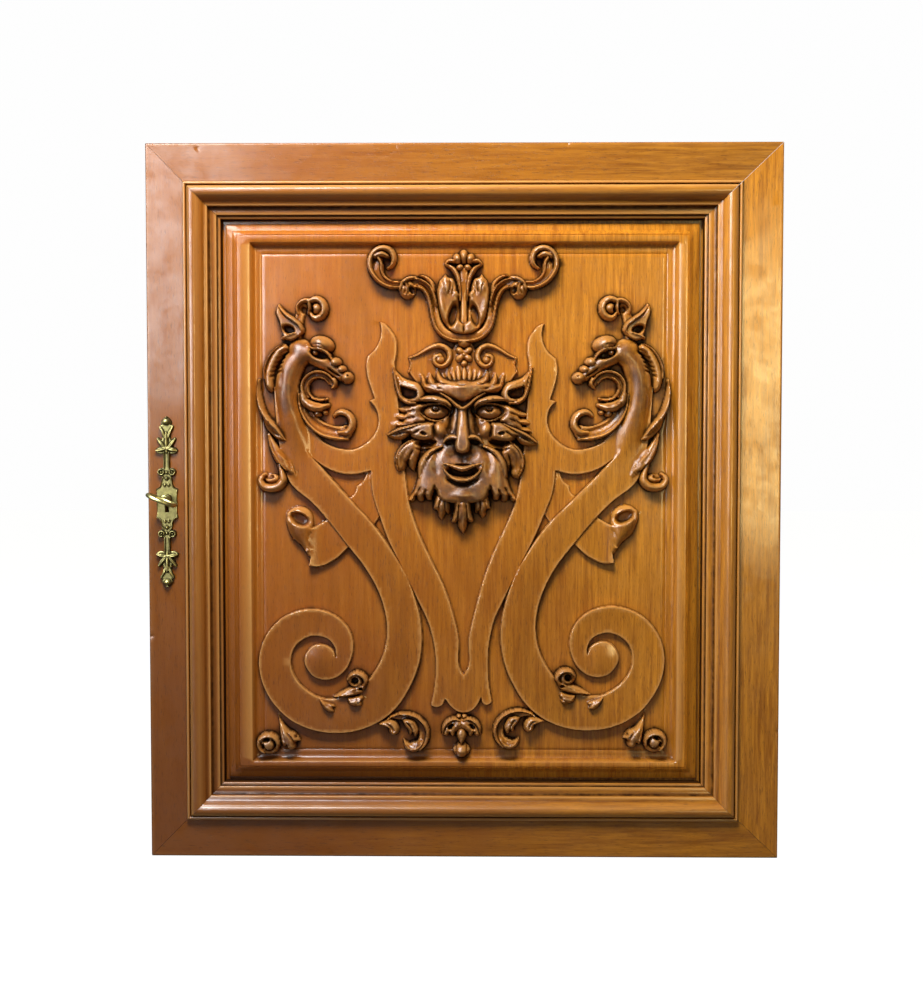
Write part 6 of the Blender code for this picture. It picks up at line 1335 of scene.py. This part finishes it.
def moulding_face(side):
    """Bead, swelling torus and ogee, a hollow, then two fillets down to the shadow groove."""
    face = [(0, GAP), (0.1, 1.0), (0.5, 1.5)]
    face += arc(2.0, 2.6, 1.5, 1.75, 200, 20, 9)
    face += [(3.7, 2.5), (4.0, 2.8)]
    face += arc(9.5, 2.5, 5.5, 5.8, 172, 34, 16)
    face += run_through([(14.4, 5.5), (16.3, 3.2), (18.2, 1.3), (20.6, 0.45)], 0.5).tolist()
    face += [(21.3, 0.3), (21.6, 0.0), (21.75, -1.6)]
    face += run_through([(22.0, -2.2), (22.9, -3.3), (24.3, -4.0), (26.0, -4.3)], 0.5).tolist()
    face += [(28.5, -4.45), (28.9, -4.6), (29.1, -5.0), (29.25, -6.3), (29.6, -6.6), (31.4, -6.85),
             (31.9, -7.0), (32.3, -7.5), (32.6, -9.0)]
    bottom = TONGUE_FRONT + GAP
    face += [(MOULDING_WIDTH, -12.5), (MOULDING_WIDTH, bottom), (UNDER_MOULDING + GAP, bottom),
             (UNDER_MOULDING + GAP, GAP)]
    shown = UNDER[side] - UNDER_MOULDING
    return [(shown + inward, out) for inward, out in face]


def section_shade(section, deepest, unseen):
    """How far each point of a section lies below its neighbours, for old wax and painted shade, and how far
    it stands over them, for wear and painted highlights; below the deepest it counts as unseen and gets the
    unseen amount of painted shade.
    """
    points = np.array(section)
    nearby = np.abs(points[:, None, 0] - points[None, :, 0])
    facing = points[:, 1] > deepest
    weights = np.exp(-(nearby / 1.6)**2) * facing[None, :]
    average = (weights @ points[:, 1]) / np.maximum(weights.sum(axis=1), 1e-6)
    gap = np.where(facing, average - points[:, 1], unseen)
    return np.clip(gap / 1.1, 0, 1), np.clip(-gap / 1.0, 0, 1)


def side_spot(side, inward, along):
    """The door's x and z at a distance in from one of its edges."""
    half_w = DOOR_WIDTH / 2
    half_h = DOOR_HEIGHT / 2
    if side == "left":
        return inward - half_w, along
    if side == "right":
        return half_w - inward, along
    if side == "top":
        return along, half_h - inward
    return along, inward - half_h


def swept_side(name, section, side, finish, slot, node, stations):
    """One side of the mitred frame: the section drawn out from mitre to mitre, with its dents."""
    half = DOOR_HEIGHT / 2 if side in UPRIGHT else DOOR_WIDTH / 2
    low_side, high_side = NEIGHBOURS[side]
    # painted shade in the moulding's shadow groove, on the frame's hidden faces and in recesses; painted
    # highlights and wear on the crests
    hollow, wear_and_highlight = section_shade(section, *((-1.0, 0.2) if node.startswith("frame") else (-9.5, 1.5)))
    columns = []
    for inward, out in section:
        low = -half + inward * UNDER[low_side] / UNDER[side] + MITRE_GAP
        high = half - inward * UNDER[high_side] / UNDER[side] - MITRE_GAP
        along = low + (high - low) * stations
        columns.append((inward, out, along))
    verts = []
    count = len(section)
    for j in range(len(stations)):
        for inward, out, along in columns:
            x, z = side_spot(side, inward, along[j])
            dent = 0.0
            for nx, nz, reach, depth in NICKS:
                dent += depth * math.exp(-((x - nx)**2 + (z - nz)**2) / reach**2) * (out > -2.5)
            verts.append(placed(x, out - dent, z))
    faces = []
    for j in range(len(stations) - 1):
        for i in range(count):
            k = (i + 1) % count
            faces.append((j * count + i, j * count + k, (j + 1) * count + k, (j + 1) * count + i))
    faces.append(tuple(range(count)))
    faces.append(tuple(reversed(range((len(stations) - 1) * count, len(stations) * count))))
    values = {"hollow": np.tile(hollow, len(stations)), "wear_and_highlight": np.tile(wear_and_highlight, len(stations))}
    mesh = closed_mesh(name, [tuple(v) for v in verts], faces, FRAME_SHARP, values)
    return add_piece(name, mesh, finish, slot, node)


def side_stations(side):
    """Places along a side, close together at its dents."""
    half = DOOR_HEIGHT / 2 if side in UPRIGHT else DOOR_WIDTH / 2
    places = list(np.linspace(0, 1, 41))
    for nx, nz, reach, _ in NICKS:
        along = nz if side in UPRIGHT else nx
        middle = (along + half) / (2 * half)
        places += [middle + step * reach / (2 * half) for step in np.linspace(-2, 2, 9)]
    return np.unique(np.clip(np.array(places), 0, 1))


def cut_keyhole(stile):
    """Opens the keyhole behind the escutcheon."""
    hole = keyhole_outline()
    count = len(hole)
    verts = [placed(x, out, z) for out in (4.0, -KEYHOLE_DEPTH) for x, z in hole]
    faces = [tuple(range(count)), tuple(reversed(range(count, 2 * count)))]
    for i in range(count):
        j = (i + 1) % count
        faces.append((i, count + i, count + j, j))
    mesh = closed_mesh("keyhole_form", verts, faces, None, {})
    form = bpy.data.objects.new("keyhole_form", mesh)
    bpy.context.scene.collection.objects.link(form)
    cut = stile.modifiers.new("keyhole", "BOOLEAN")
    cut.operation = "DIFFERENCE"
    cut.object = form
    bpy.context.view_layer.update()
    whole = bpy.data.meshes.new_from_object(stile.evaluated_get(bpy.context.evaluated_depsgraph_get()))
    stile.modifiers.clear()
    stile.data = whole
    bpy.data.objects.remove(form, do_unlink=True)


def keyhole_outline():
    """Round above, with a slot below, as points in door millimetres."""
    open_angle = math.degrees(math.asin(KEYHOLE_SLOT / KEYHOLE_RADIUS))
    shape = arc(ESCUTCHEON_X, KEYHOLE_Z, KEYHOLE_RADIUS, KEYHOLE_RADIUS, -90 + open_angle,
                270 - open_angle, 24)
    return shape + [(ESCUTCHEON_X - KEYHOLE_SLOT, KEYHOLE_FOOT), (ESCUTCHEON_X + KEYHOLE_SLOT, KEYHOLE_FOOT)]


def make_frame(finishes):
    for side, finish in finishes.items():
        kind = "stile" if side in UPRIGHT else "rail"
        stations = side_stations(side)
        node = f"frame_{kind}_{side}"
        member = swept_side(f"{node}_fine", frame_face(side), side, finish, f"{kind}_walnut", node, stations)
        if side == "left":
            cut_keyhole(member)
        node = f"moulding_{side}"
        swept_side(f"{node}_fine", moulding_face(side), side, finish, f"{kind}_walnut", node, stations)


# The escutcheon, drawn about its own middle

PLATE_SIDE = [
    [(9.4, 0), (9.0, 6), (9.3, 10), (10.0, 13.2)],
    [(10.0, 13.2), (6.8, 14.8), (5.3, 17.5), (5.0, 21), (4.0, 24.4)],
    [(4.0, 24.4), (6.4, 24.8), (8.4, 27), (8.2, 29.6), (5.8, 31.5), (3.1, 32)],
    [(3.1, 32), (3.0, 44.4)],
    [(3.0, 44.4), (6.2, 44.2), (9.0, 45.4), (10.3, 47.4), (8.4, 50), (5.8, 51.2)],
    [(5.8, 51.2), (7.6, 54.5), (8.8, 58), (7.6, 59.4), (5.6, 58.2), (4.2, 57)],
    [(4.2, 57), (3.8, 60), (4.6, 64.5), (6.6, 68.8), (5.6, 70.2), (4.0, 70.4)],
    [(4.0, 70.4), (5.0, 72.4), (3.4, 75.5), (0, 78.2)],
]
LOWER_SCALE = 0.965


def plate_outline(spacing):
    """The escutcheon's whole outline in door millimetres."""
    upper = outline(PLATE_SIDE, spacing)
    upper = np.vstack([upper, [[0, PLATE_SIDE[-1][-1][1]]]])
    right_up = upper[1:]
    left_up = (upper * [-1, 1])[::-1][1:]
    lower_left = (upper * [-1, -LOWER_SCALE])[1:]
    lower_right = (upper * [1, -LOWER_SCALE])[::-1][1:]
    whole = np.vstack([right_up, left_up, lower_left[:-1], lower_right])
    return whole + [ESCUTCHEON_X, 0]


def escutcheon_height(x, z):
    """Thickness of the cast plate: ribbed stems, scrolls, leaves and bosses."""
    u = np.abs(x - ESCUTCHEON_X)
    w = np.where(z < 0, -z / LOWER_SCALE, z)
    r = Relief(u, w)
    r.stroke([(10, 13), (9.2, 6), (9.2, -1)], [1.1, 1.0, 1.0], [3.2, 3.0, 3.0], blend=0.3)
    r.stroke([(10, 13), (6, 15.6), (5, 20), (3.4, 24)], [1.1, 1.2, 1.2, 1.0], [3.2, 3.4, 3.4, 3.2], blend=0.3)
    r.dome(0, 22.4, 1.9, 1.9, 4.6)
    r.dome(1.7, 16.6, 1.3, 2.2, 3.8, angle=10)
    r.stroke(arc(5.0, 28.2, 2.4, 2.4, 100, -200, 8), [1.1] * 9, [4.2] * 9, blend=0.3)
    r.dome(5.0, 28.2, 1.3, 1.3, 4.2)
    r.dome(0, 27.6, 1.6, 1.6, 4.2)
    r.stroke([(2.3, 32), (2.2, 46)], [0.9, 0.9], [3.6, 3.6], blend=0.3)
    r.stroke([(1.5, 49), (5, 48.4), (9.8, 47.2)], [1.8, 2.4, 0.8], [4.4, 5.0, 3.6], profile="vein")
    r.stroke([(1.2, 49), (4.6, 53.5), (8.2, 58.4)], [1.6, 2.1, 0.8], [4.6, 4.8, 3.6], profile="vein")
    r.stroke([(0, 46), (0, 55), (0, 63)], [1.6, 2.2, 1.4], [3.6, 4.4, 4.4])
    r.stroke([(1, 59), (3.4, 64), (5.9, 69.4)], [1.5, 1.9, 0.8], [4.0, 4.6, 3.6], profile="vein")
    r.dome(0, 73.2, 4.2, 3.4, 5.2)
    r.dome(0, 77, 1.4, 1.4, 4.2)
    edge = depth_inside(plate_outline(1.5), x, z)
    plate = ESCUTCHEON_THICKNESS * (0.55 + 0.45 * ease(edge / 0.7))
    return np.maximum(plate, r.h * ease((edge + 0.2) / 0.6))


def make_escutcheon(finish):
    """The cast plate in fine mesh, with its keyhole."""
    rim = plate_outline(0.8)
    hole = keyhole_outline()
    left, right, bottom, top = ESCUTCHEON_X - 11, ESCUTCHEON_X + 11, -76, 79
    grid_x, grid_z = np.meshgrid(np.arange(left, right, PLATE_STEP), np.arange(bottom, top, PLATE_STEP))
    spots = np.column_stack([grid_x.ravel(), grid_z.ravel()])
    inside = depth_inside(rim, spots[:, 0], spots[:, 1]) > 0.25
    inside &= depth_inside(np.array(hole), spots[:, 0], spots[:, 1]) < -0.25
    points, faces = triangulate(spots[inside], [([tuple(p) for p in rim], True), (hole, True)])
    middles = np.array([points[list(f)].mean(axis=0) for f in faces])
    keep = depth_inside(rim, middles[:, 0], middles[:, 1]) > 0
    keep &= depth_inside(np.array(hole), middles[:, 0], middles[:, 1]) < 0
    faces = [f for f, kept in zip(faces, keep) if kept]
    used = sorted({i for f in faces for i in f})
    renumber = {old: count for count, old in enumerate(used)}
    faces = [[renumber[i] for i in f] for f in faces]
    points = points[used]
    height = escutcheon_height(points[:, 0], points[:, 1])
    around = sum(escutcheon_height(points[:, 0] + dx, points[:, 1] + dz)
                 for dx, dz in ((1.1, 0), (-1.1, 0), (0, 1.1), (0, -1.1))) / 4
    values = {"hollow": np.clip((around - height + 0.1) / 0.6, 0, 1)}
    mesh = relief_mesh("escutcheon_fine", points, faces, GAP + height, GAP, values, convex=False)
    add_piece("escutcheon_fine", mesh, finish, "aged_brass", "escutcheon")


def ring_of(made, centre, axis_u, axis_v, radius, steps):
    """A ring of new points round a centre."""
    turns = [2 * math.pi / steps * i for i in range(steps)]
    return [made.verts.new(centre + axis_u * radius * math.cos(turn) + axis_v * radius * math.sin(turn))
            for turn in turns]


def bridge(made, low, high):
    """A band of faces between two rings."""
    for i in range(len(low)):
        j = (i + 1) % len(low)
        made.faces.new((low[i], low[j], high[j], high[i]))


def make_key(finish):
    """A turned shank with a collar, a flat bit and an oval ring for a bow."""
    made = bmesh.new()
    across = Vector((1, 0, 0))
    up = Vector((0, 0, 1))
    turned = run_through([(-16, KEY_SHANK_RADIUS), (5.0, KEY_SHANK_RADIUS), (6.0, 3.3), (6.7, 4.5),
                          (7.6, 4.85), (8.5, 4.3), (9.2, 3.5), (10.2, 3.35), (11.2, 4.1), (12.4, 4.4),
                          (13.6, 4.0), (15.0, 2.6), (17.0, 1.9)], 0.35)
    rings = [ring_of(made, placed(ESCUTCHEON_X, out, KEYHOLE_Z), across * MM, up * MM, r, 36)
             for out, r in turned.tolist()]
    for low, high in zip(rings, rings[1:]):
        bridge(made, low, high)
    made.faces.new(list(reversed(rings[0])))
    made.faces.new(rings[-1])
    bow_turn = math.radians(-KEY_TURN)
    wide = Vector((math.cos(bow_turn), 0, math.sin(bow_turn)))
    forward = Vector((0, -1, 0))
    thick = wide.cross(forward)
    centre = placed(ESCUTCHEON_X, KEY_OUT - BOW_DEPTH, KEYHOLE_Z)
    loops = []
    steps = 72
    for i in range(steps):
        angle = 2 * math.pi * i / steps
        outward = wide * math.cos(angle) + forward * math.sin(angle)
        spine = wide * BOW_HALF_WIDTH * math.cos(angle) + forward * (BOW_DEPTH - 1.9) * math.sin(angle)
        loops.append(ring_of(made, centre + spine * MM, outward * MM, thick * MM, BOW_WIRE, 18))
    for low, high in zip(loops, loops[1:] + loops[:1]):
        bridge(made, low, high)
    bit = bmesh.ops.create_cube(made, size=1)["verts"]
    for vert in bit:
        x = ESCUTCHEON_X + vert.co.x * 2.3
        out = -11.5 + vert.co.y * 7
        vert.co = placed(x, out, KEYHOLE_Z - 6.2 + vert.co.z * 9.6)
    bmesh.ops.recalc_face_normals(made, faces=made.faces[:])
    mesh = bpy.data.meshes.new("key_fine")
    made.to_mesh(mesh)
    made.free()
    mesh.shade_smooth()
    mesh.set_sharp_from_angle(angle=math.radians(FRAME_SHARP))
    add_piece("key_fine", mesh, finish, "key_brass", "key")


# Materials


class Nodes:
    """Short names for building a material's node tree."""

    def __init__(self, name):
        self.material = bpy.data.materials.new(name)
        self.material.use_nodes = True
        self.tree = self.material.node_tree
        self.shader = self.tree.nodes["Principled BSDF"]

    def add(self, kind, inputs=(), **settings):
        node = self.tree.nodes.new(kind)
        for key, value in settings.items():
            setattr(node, key, value)
        for key, value in dict(inputs).items():
            self.feed(node.inputs[key], value)
        return node

    def feed(self, socket, value):
        if isinstance(value, bpy.types.NodeSocket):
            self.tree.links.new(value, socket)
        else:
            socket.default_value = value

    def maths(self, operation, a, b=0.0, clamp=False):
        return self.add("ShaderNodeMath", {0: a, 1: b}, operation=operation, use_clamp=clamp).outputs[0]

    def plus(self, a, b, clamp=False):
        return self.maths("ADD", a, b, clamp)

    def times(self, a, b, clamp=False):
        return self.maths("MULTIPLY", a, b, clamp)

    def mix(self, factor, a, b):
        """One colour laid over another; either is a socket or red, green and blue."""
        node = self.add("ShaderNodeMix", data_type="RGBA")
        for socket, value in ((0, factor), (6, a), (7, b)):
            self.feed(node.inputs[socket], (*value, 1) if isinstance(value, tuple) else value)
        return node.outputs[2]

    def remap(self, value, low, high, to_low=0.0, to_high=1.0):
        node = self.add("ShaderNodeMapRange", {0: value, 1: low, 2: high, 3: to_low, 4: to_high})
        return node.outputs[0]

    def noise(self, place, scale, detail=4.0, roughness=0.55, distortion=0.0):
        node = self.add("ShaderNodeTexNoise", {"Vector": place, "Scale": scale, "Detail": detail,
                                               "Roughness": roughness, "Distortion": distortion})
        return node.outputs[0]

    def attribute(self, name):
        return self.add("ShaderNodeAttribute", attribute_name=name).outputs["Fac"]

    def stretched(self, place, scale):
        return self.add("ShaderNodeMapping", {"Vector": place, "Scale": scale}).outputs[0]

    def finished(self, inputs, height, strength, distance):
        """The material, with its shader's inputs and a bump that follows the height."""
        bump = self.add("ShaderNodeBump", {"Strength": strength, "Distance": distance, "Height": height})
        for key, value in {**inputs, "Normal": bump.outputs[0]}.items():
            self.feed(self.shader.inputs[key], value)
        return self.material


WOOD_BROWN = (0.36, 0.12, 0.008)
WOOD_GOLD = (0.82, 0.33, 0.024)
WOOD_RED = (0.46, 0.125, 0.011)
LOW_RED = (0.20, 0.055, 0.006)
BAND_BROWN = (0.24, 0.07, 0.008)
PORE_BROWN = (0.05, 0.016, 0.004)
STAIN = (0.13, 0.042, 0.012)
# old wax with painted shade in the hollows; rubbed wood with a painted highlight on the edges
WAX_AND_SHADE = (0.018, 0.007, 0.003)
RUBBED_AND_HIGHLIGHT = (0.80, 0.40, 0.12)


def wood(name, grain, dark, light, red, shift=0.0):
    """Waxed walnut: streaks and pores along the grain, blotches across it, wax and painted shade in the
    hollows, painted highlights on rubbed edges.
    """
    n = Nodes(name)
    place = n.add("ShaderNodeTexCoord").outputs["Object"]
    place = n.add("ShaderNodeMapping", {"Vector": place, "Location": (shift, shift, shift)}).outputs[0]
    streak_place = n.stretched(place, {"X": (0.06, 1, 1), "Z": (1, 1, 0.06)}[grain])
    pore_place = n.stretched(place, {"X": (0.10, 1, 1), "Z": (1, 1, 0.10)}[grain])
    streaks = n.noise(streak_place, 330, 6, 0.66, 0.5)
    bands = n.noise(streak_place, 60, 3, 0.5, 1.0)
    blotch = n.noise(place, 8, 3, 0.5, 0.4)
    pores = n.remap(n.noise(pore_place, 1500, 3, 0.55), 0.58, 0.70)
    fibre = n.noise(pore_place, 2600, 2, 0.5)
    grime = n.noise(place, 120, 4, 0.6)
    patchy = n.remap(n.noise(place, 38, 5, 0.62, 0.4), 0.36, 0.62, 0.28, 0.72)
    hollow = n.attribute("hollow")
    wear_and_highlight = n.attribute("wear_and_highlight")
    lifted = n.attribute("lifted")
    # colour of the wood, redder to the left and darker and redder towards the foot
    tone = n.remap(n.plus(n.times(streaks, 0.62), n.times(bands, 0.38)), 0.39, 0.61)
    across, _, up = n.add("ShaderNodeSeparateXYZ", {0: place}).outputs
    drift = n.times(blotch, 0.25)
    reddened = n.remap(n.plus(across, drift), shift - 0.28, shift - 0.02, 0.8, 0.15)
    low = n.remap(n.plus(up, drift), shift - 0.14, shift + 0.16, 0.95, 0.0)
    colour = n.mix(reddened, n.mix(tone, dark, light), red)
    colour = n.mix(n.times(low, reddened), colour, LOW_RED)
    colour = n.mix(n.remap(bands, 0.5, 0.7, 0.0, 0.4), colour, BAND_BROWN)
    colour = n.mix(n.times(pores, 0.5), colour, PORE_BROWN)
    # stain on the carving, old wax and painted shade in the hollows, rubbed edges with painted highlights
    stained = n.times(lifted, n.remap(n.noise(place, 75, 4, 0.6), 0.36, 0.62, 0.1, 0.85))
    depth = n.times(hollow, n.remap(grime, 0.3, 0.7, 1.0, 1.8), clamp=True)
    colour = n.mix(stained, colour, STAIN)
    # painted shade and old wax darken the hollows, then painted highlights and wear lighten the edges
    colour = n.mix(n.times(depth, 0.93), colour, WAX_AND_SHADE)
    colour = n.mix(n.times(wear_and_highlight, 0.55), colour, RUBBED_AND_HIGHLIGHT)
    rough = n.plus(n.remap(streaks, 0.3, 0.7, 0.27, 0.35), n.times(depth, 0.2))
    wax = n.maths("SUBTRACT", 1.0, n.times(depth, 0.92), clamp=True)
    surface = n.plus(n.times(streaks, 0.5), n.times(fibre, 0.2))
    surface = n.maths("SUBTRACT", surface, n.times(pores, 0.5))
    surface = n.plus(surface, n.times(n.noise(place, 170, 2, 0.5), 0.9))
    surface = n.plus(surface, n.times(n.noise(place, 420, 2, 0.5, 0.6), n.times(lifted, 2.4)))
    return n.finished({
        "Base Color": colour,
        "Roughness": rough,
        "Specular IOR Level": n.times(wax, 0.10),
        "Coat Weight": n.times(wax, n.maths("MAXIMUM", patchy, n.times(lifted, 0.85))),
        "Coat Roughness": n.plus(n.remap(grime, 0.3, 0.7, 0.12, 0.22), n.times(lifted, 0.18)),
    }, surface, 0.35, 0.0004)


def brass(name, bright, tarnish, rough):
    """Cast brass, rubbed on its high parts and tarnished between them."""
    n = Nodes(name)
    place = n.add("ShaderNodeTexCoord").outputs["Object"]
    cloud = n.noise(place, 260, 5, 0.6)
    fine = n.noise(place, 2200, 3, 0.6)
    amount = n.plus(n.remap(cloud, 0.42, 0.66, 0.0, 0.45), n.attribute("hollow"), clamp=True)
    return n.finished({
        "Base Color": n.mix(amount, bright, tarnish),
        "Roughness": n.remap(n.plus(cloud, amount), 0.3, 1.5, rough, rough + 0.25),
        "Metallic": 1.0,
    }, n.plus(cloud, fine), 0.3, 0.0002)


# The room


def area_light(name, place, target, size, power, colour, only_gloss=False):
    data = bpy.data.lights.new(name, "AREA")
    data.shape = "RECTANGLE"
    data.size, data.size_y = size
    data.energy = power
    data.color = colour
    lamp = bpy.data.objects.new(name, data)
    lamp.visible_diffuse = not only_gloss
    lamp.visible_glossy = only_gloss
    lamp.location = place
    lamp.rotation_euler = (Vector(target) - Vector(place)).to_track_quat("-Z", "Y").to_euler()
    bpy.context.scene.collection.objects.link(lamp)


def show_camera(tree, other, shown):
    """Lets the camera see one shader directly, while all other rays meet another."""
    rays = tree.nodes.new("ShaderNodeLightPath").outputs["Is Camera Ray"]
    mixed = tree.nodes.new("ShaderNodeMixShader")
    output = next(node for node in tree.nodes if node.type.startswith("OUTPUT"))
    for source, socket in ((rays, mixed.inputs[0]), (other, mixed.inputs[1]), (shown, mixed.inputs[2]),
                           (mixed.outputs[0], output.inputs[0])):
        tree.links.new(source, socket)


def floor_finish():
    """Pale and almost shadowless, without throwing much light back up."""
    n = Nodes("pale_floor")
    place = n.add("ShaderNodeTexCoord").outputs["Object"]
    shade = n.noise(place, 3, 2)
    n.feed(n.shader.inputs["Base Color"], n.mix(shade, (0.05, 0.05, 0.05), (0.06, 0.06, 0.06)))
    n.shader.inputs["Roughness"].default_value = 0.8
    glow = n.add("ShaderNodeEmission", {"Color": (1, 1, 0.99, 1), "Strength": 0.98})
    both = n.add("ShaderNodeAddShader")
    n.tree.links.new(n.shader.outputs[0], both.inputs[0])
    n.tree.links.new(glow.outputs[0], both.inputs[1])
    show_camera(n.tree, n.shader.outputs[0], both.outputs[0])
    return n.material


def make_world():
    """A dim room that the camera sees as an almost white one."""
    world = bpy.data.worlds.new("studio")
    world.use_nodes = True
    tree = world.node_tree
    room = tree.nodes["Background"]
    pale = tree.nodes.new("ShaderNodeBackground")
    for node, colour, strength in ((room, (1.0, 0.99, 0.97, 1), 0.10), (pale, (1, 1, 1, 1), 0.99)):
        node.inputs[0].default_value = colour
        node.inputs[1].default_value = strength
    show_camera(tree, room.outputs[0], pale.outputs[0])
    bpy.context.scene.world = world


def make_room():
    middle = (-0.283, 0, 0)
    area_light("window", (-0.40, -0.60, 0.88), (-0.283, 0, 0.05), (0.50, 0.28), 16, (1.0, 0.98, 0.90))
    area_light("sky", (-1.05, -0.85, 1.25), middle, (1.1, 1.1), 115, (0.84, 0.93, 1.0), True)
    area_light("left", (-1.07, -1.97, 0.56), middle, (0.50, 0.88), 17, (0.84, 0.95, 1.0), True)
    area_light("side", (-2.05, -1.60, 0.42), middle, (1.30, 0.95), 70, (0.93, 0.96, 1.0), True)
    area_light("right", (0.42, -1.97, 0.16), middle, (0.30, 0.66), 15, (1.0, 0.80, 0.36), True)
    area_light("behind_left", (-1.9, 0.9, 0.7), middle, (1.0, 1.0), 34, (1.0, 0.98, 0.95))
    area_light("behind_right", (1.3, 0.9, 0.7), middle, (1.0, 1.0), 34, (1.0, 0.98, 0.95))
    make_world()
    mesh = bpy.data.meshes.new("floor")
    reach = 6.0
    low = -DOOR_HEIGHT / 2 * MM
    corners = [(x, y, low) for x, y in ((-reach, -reach), (reach, -reach), (reach, reach), (-reach, reach))]
    mesh.from_pydata(corners, [], [(0, 1, 2, 3)])
    floor = bpy.data.objects.new("floor", mesh)
    mesh.materials.append(floor_finish())
    bpy.context.scene.collection.objects.link(floor)


LENS = 52.39
SENSOR = 36
CAMERA_SPOT = (15.76, 1300, 61.34)
CAMERA_TURNS = ((0.0136, "Z"), (-0.0447, "X"), (-0.0001, "Y"))


def make_camera():
    """Square on to the door, a little above its middle, at the photograph's angle."""
    data = bpy.data.cameras.new("camera")
    data.lens = LENS
    data.sensor_width = SENSOR
    data.sensor_fit = "AUTO"
    data.clip_start = 0.01
    first, second, third = (Matrix.Rotation(angle, 3, axis) for angle, axis in CAMERA_TURNS)
    right, forward, up = (first @ second @ third).col
    pose = Matrix((right, up, -forward)).transposed().to_4x4()
    pose.translation = placed(*CAMERA_SPOT)
    camera = bpy.data.objects.new("camera", data)
    camera.matrix_world = pose
    bpy.context.scene.collection.objects.link(camera)
    bpy.context.scene.camera = camera


def main():
    bpy.context.scene.view_settings.view_transform = "Standard"
    make_room()
    make_camera()
    carved = wood("carved_walnut_fine", "Z", WOOD_BROWN, WOOD_GOLD, WOOD_RED)
    finishes = {}
    # each side of the frame is a lighter or darker copy of the same walnut: painted light and shade for that
    # side
    for side, grain, shift, shade in (("left", "Z", 0.7, 0.7), ("right", "Z", 1.9, 1.0),
                                      ("top", "X", 3.1, 0.66), ("bottom", "X", 4.3, 0.85)):
        tones = [tuple(c * shade for c in tone) for tone in (WOOD_BROWN, WOOD_GOLD, WOOD_RED)]
        finishes[side] = wood(f"walnut_{side}", grain, *tones, shift=shift)
    make_frame(finishes)
    make_panel(carved)
    make_escutcheon(brass("aged_brass_fine", (0.23, 0.195, 0.075), (0.030, 0.024, 0.010), 0.32))
    make_key(brass("key_brass_fine", (0.44, 0.39, 0.16), (0.14, 0.12, 0.04), 0.26))


main()
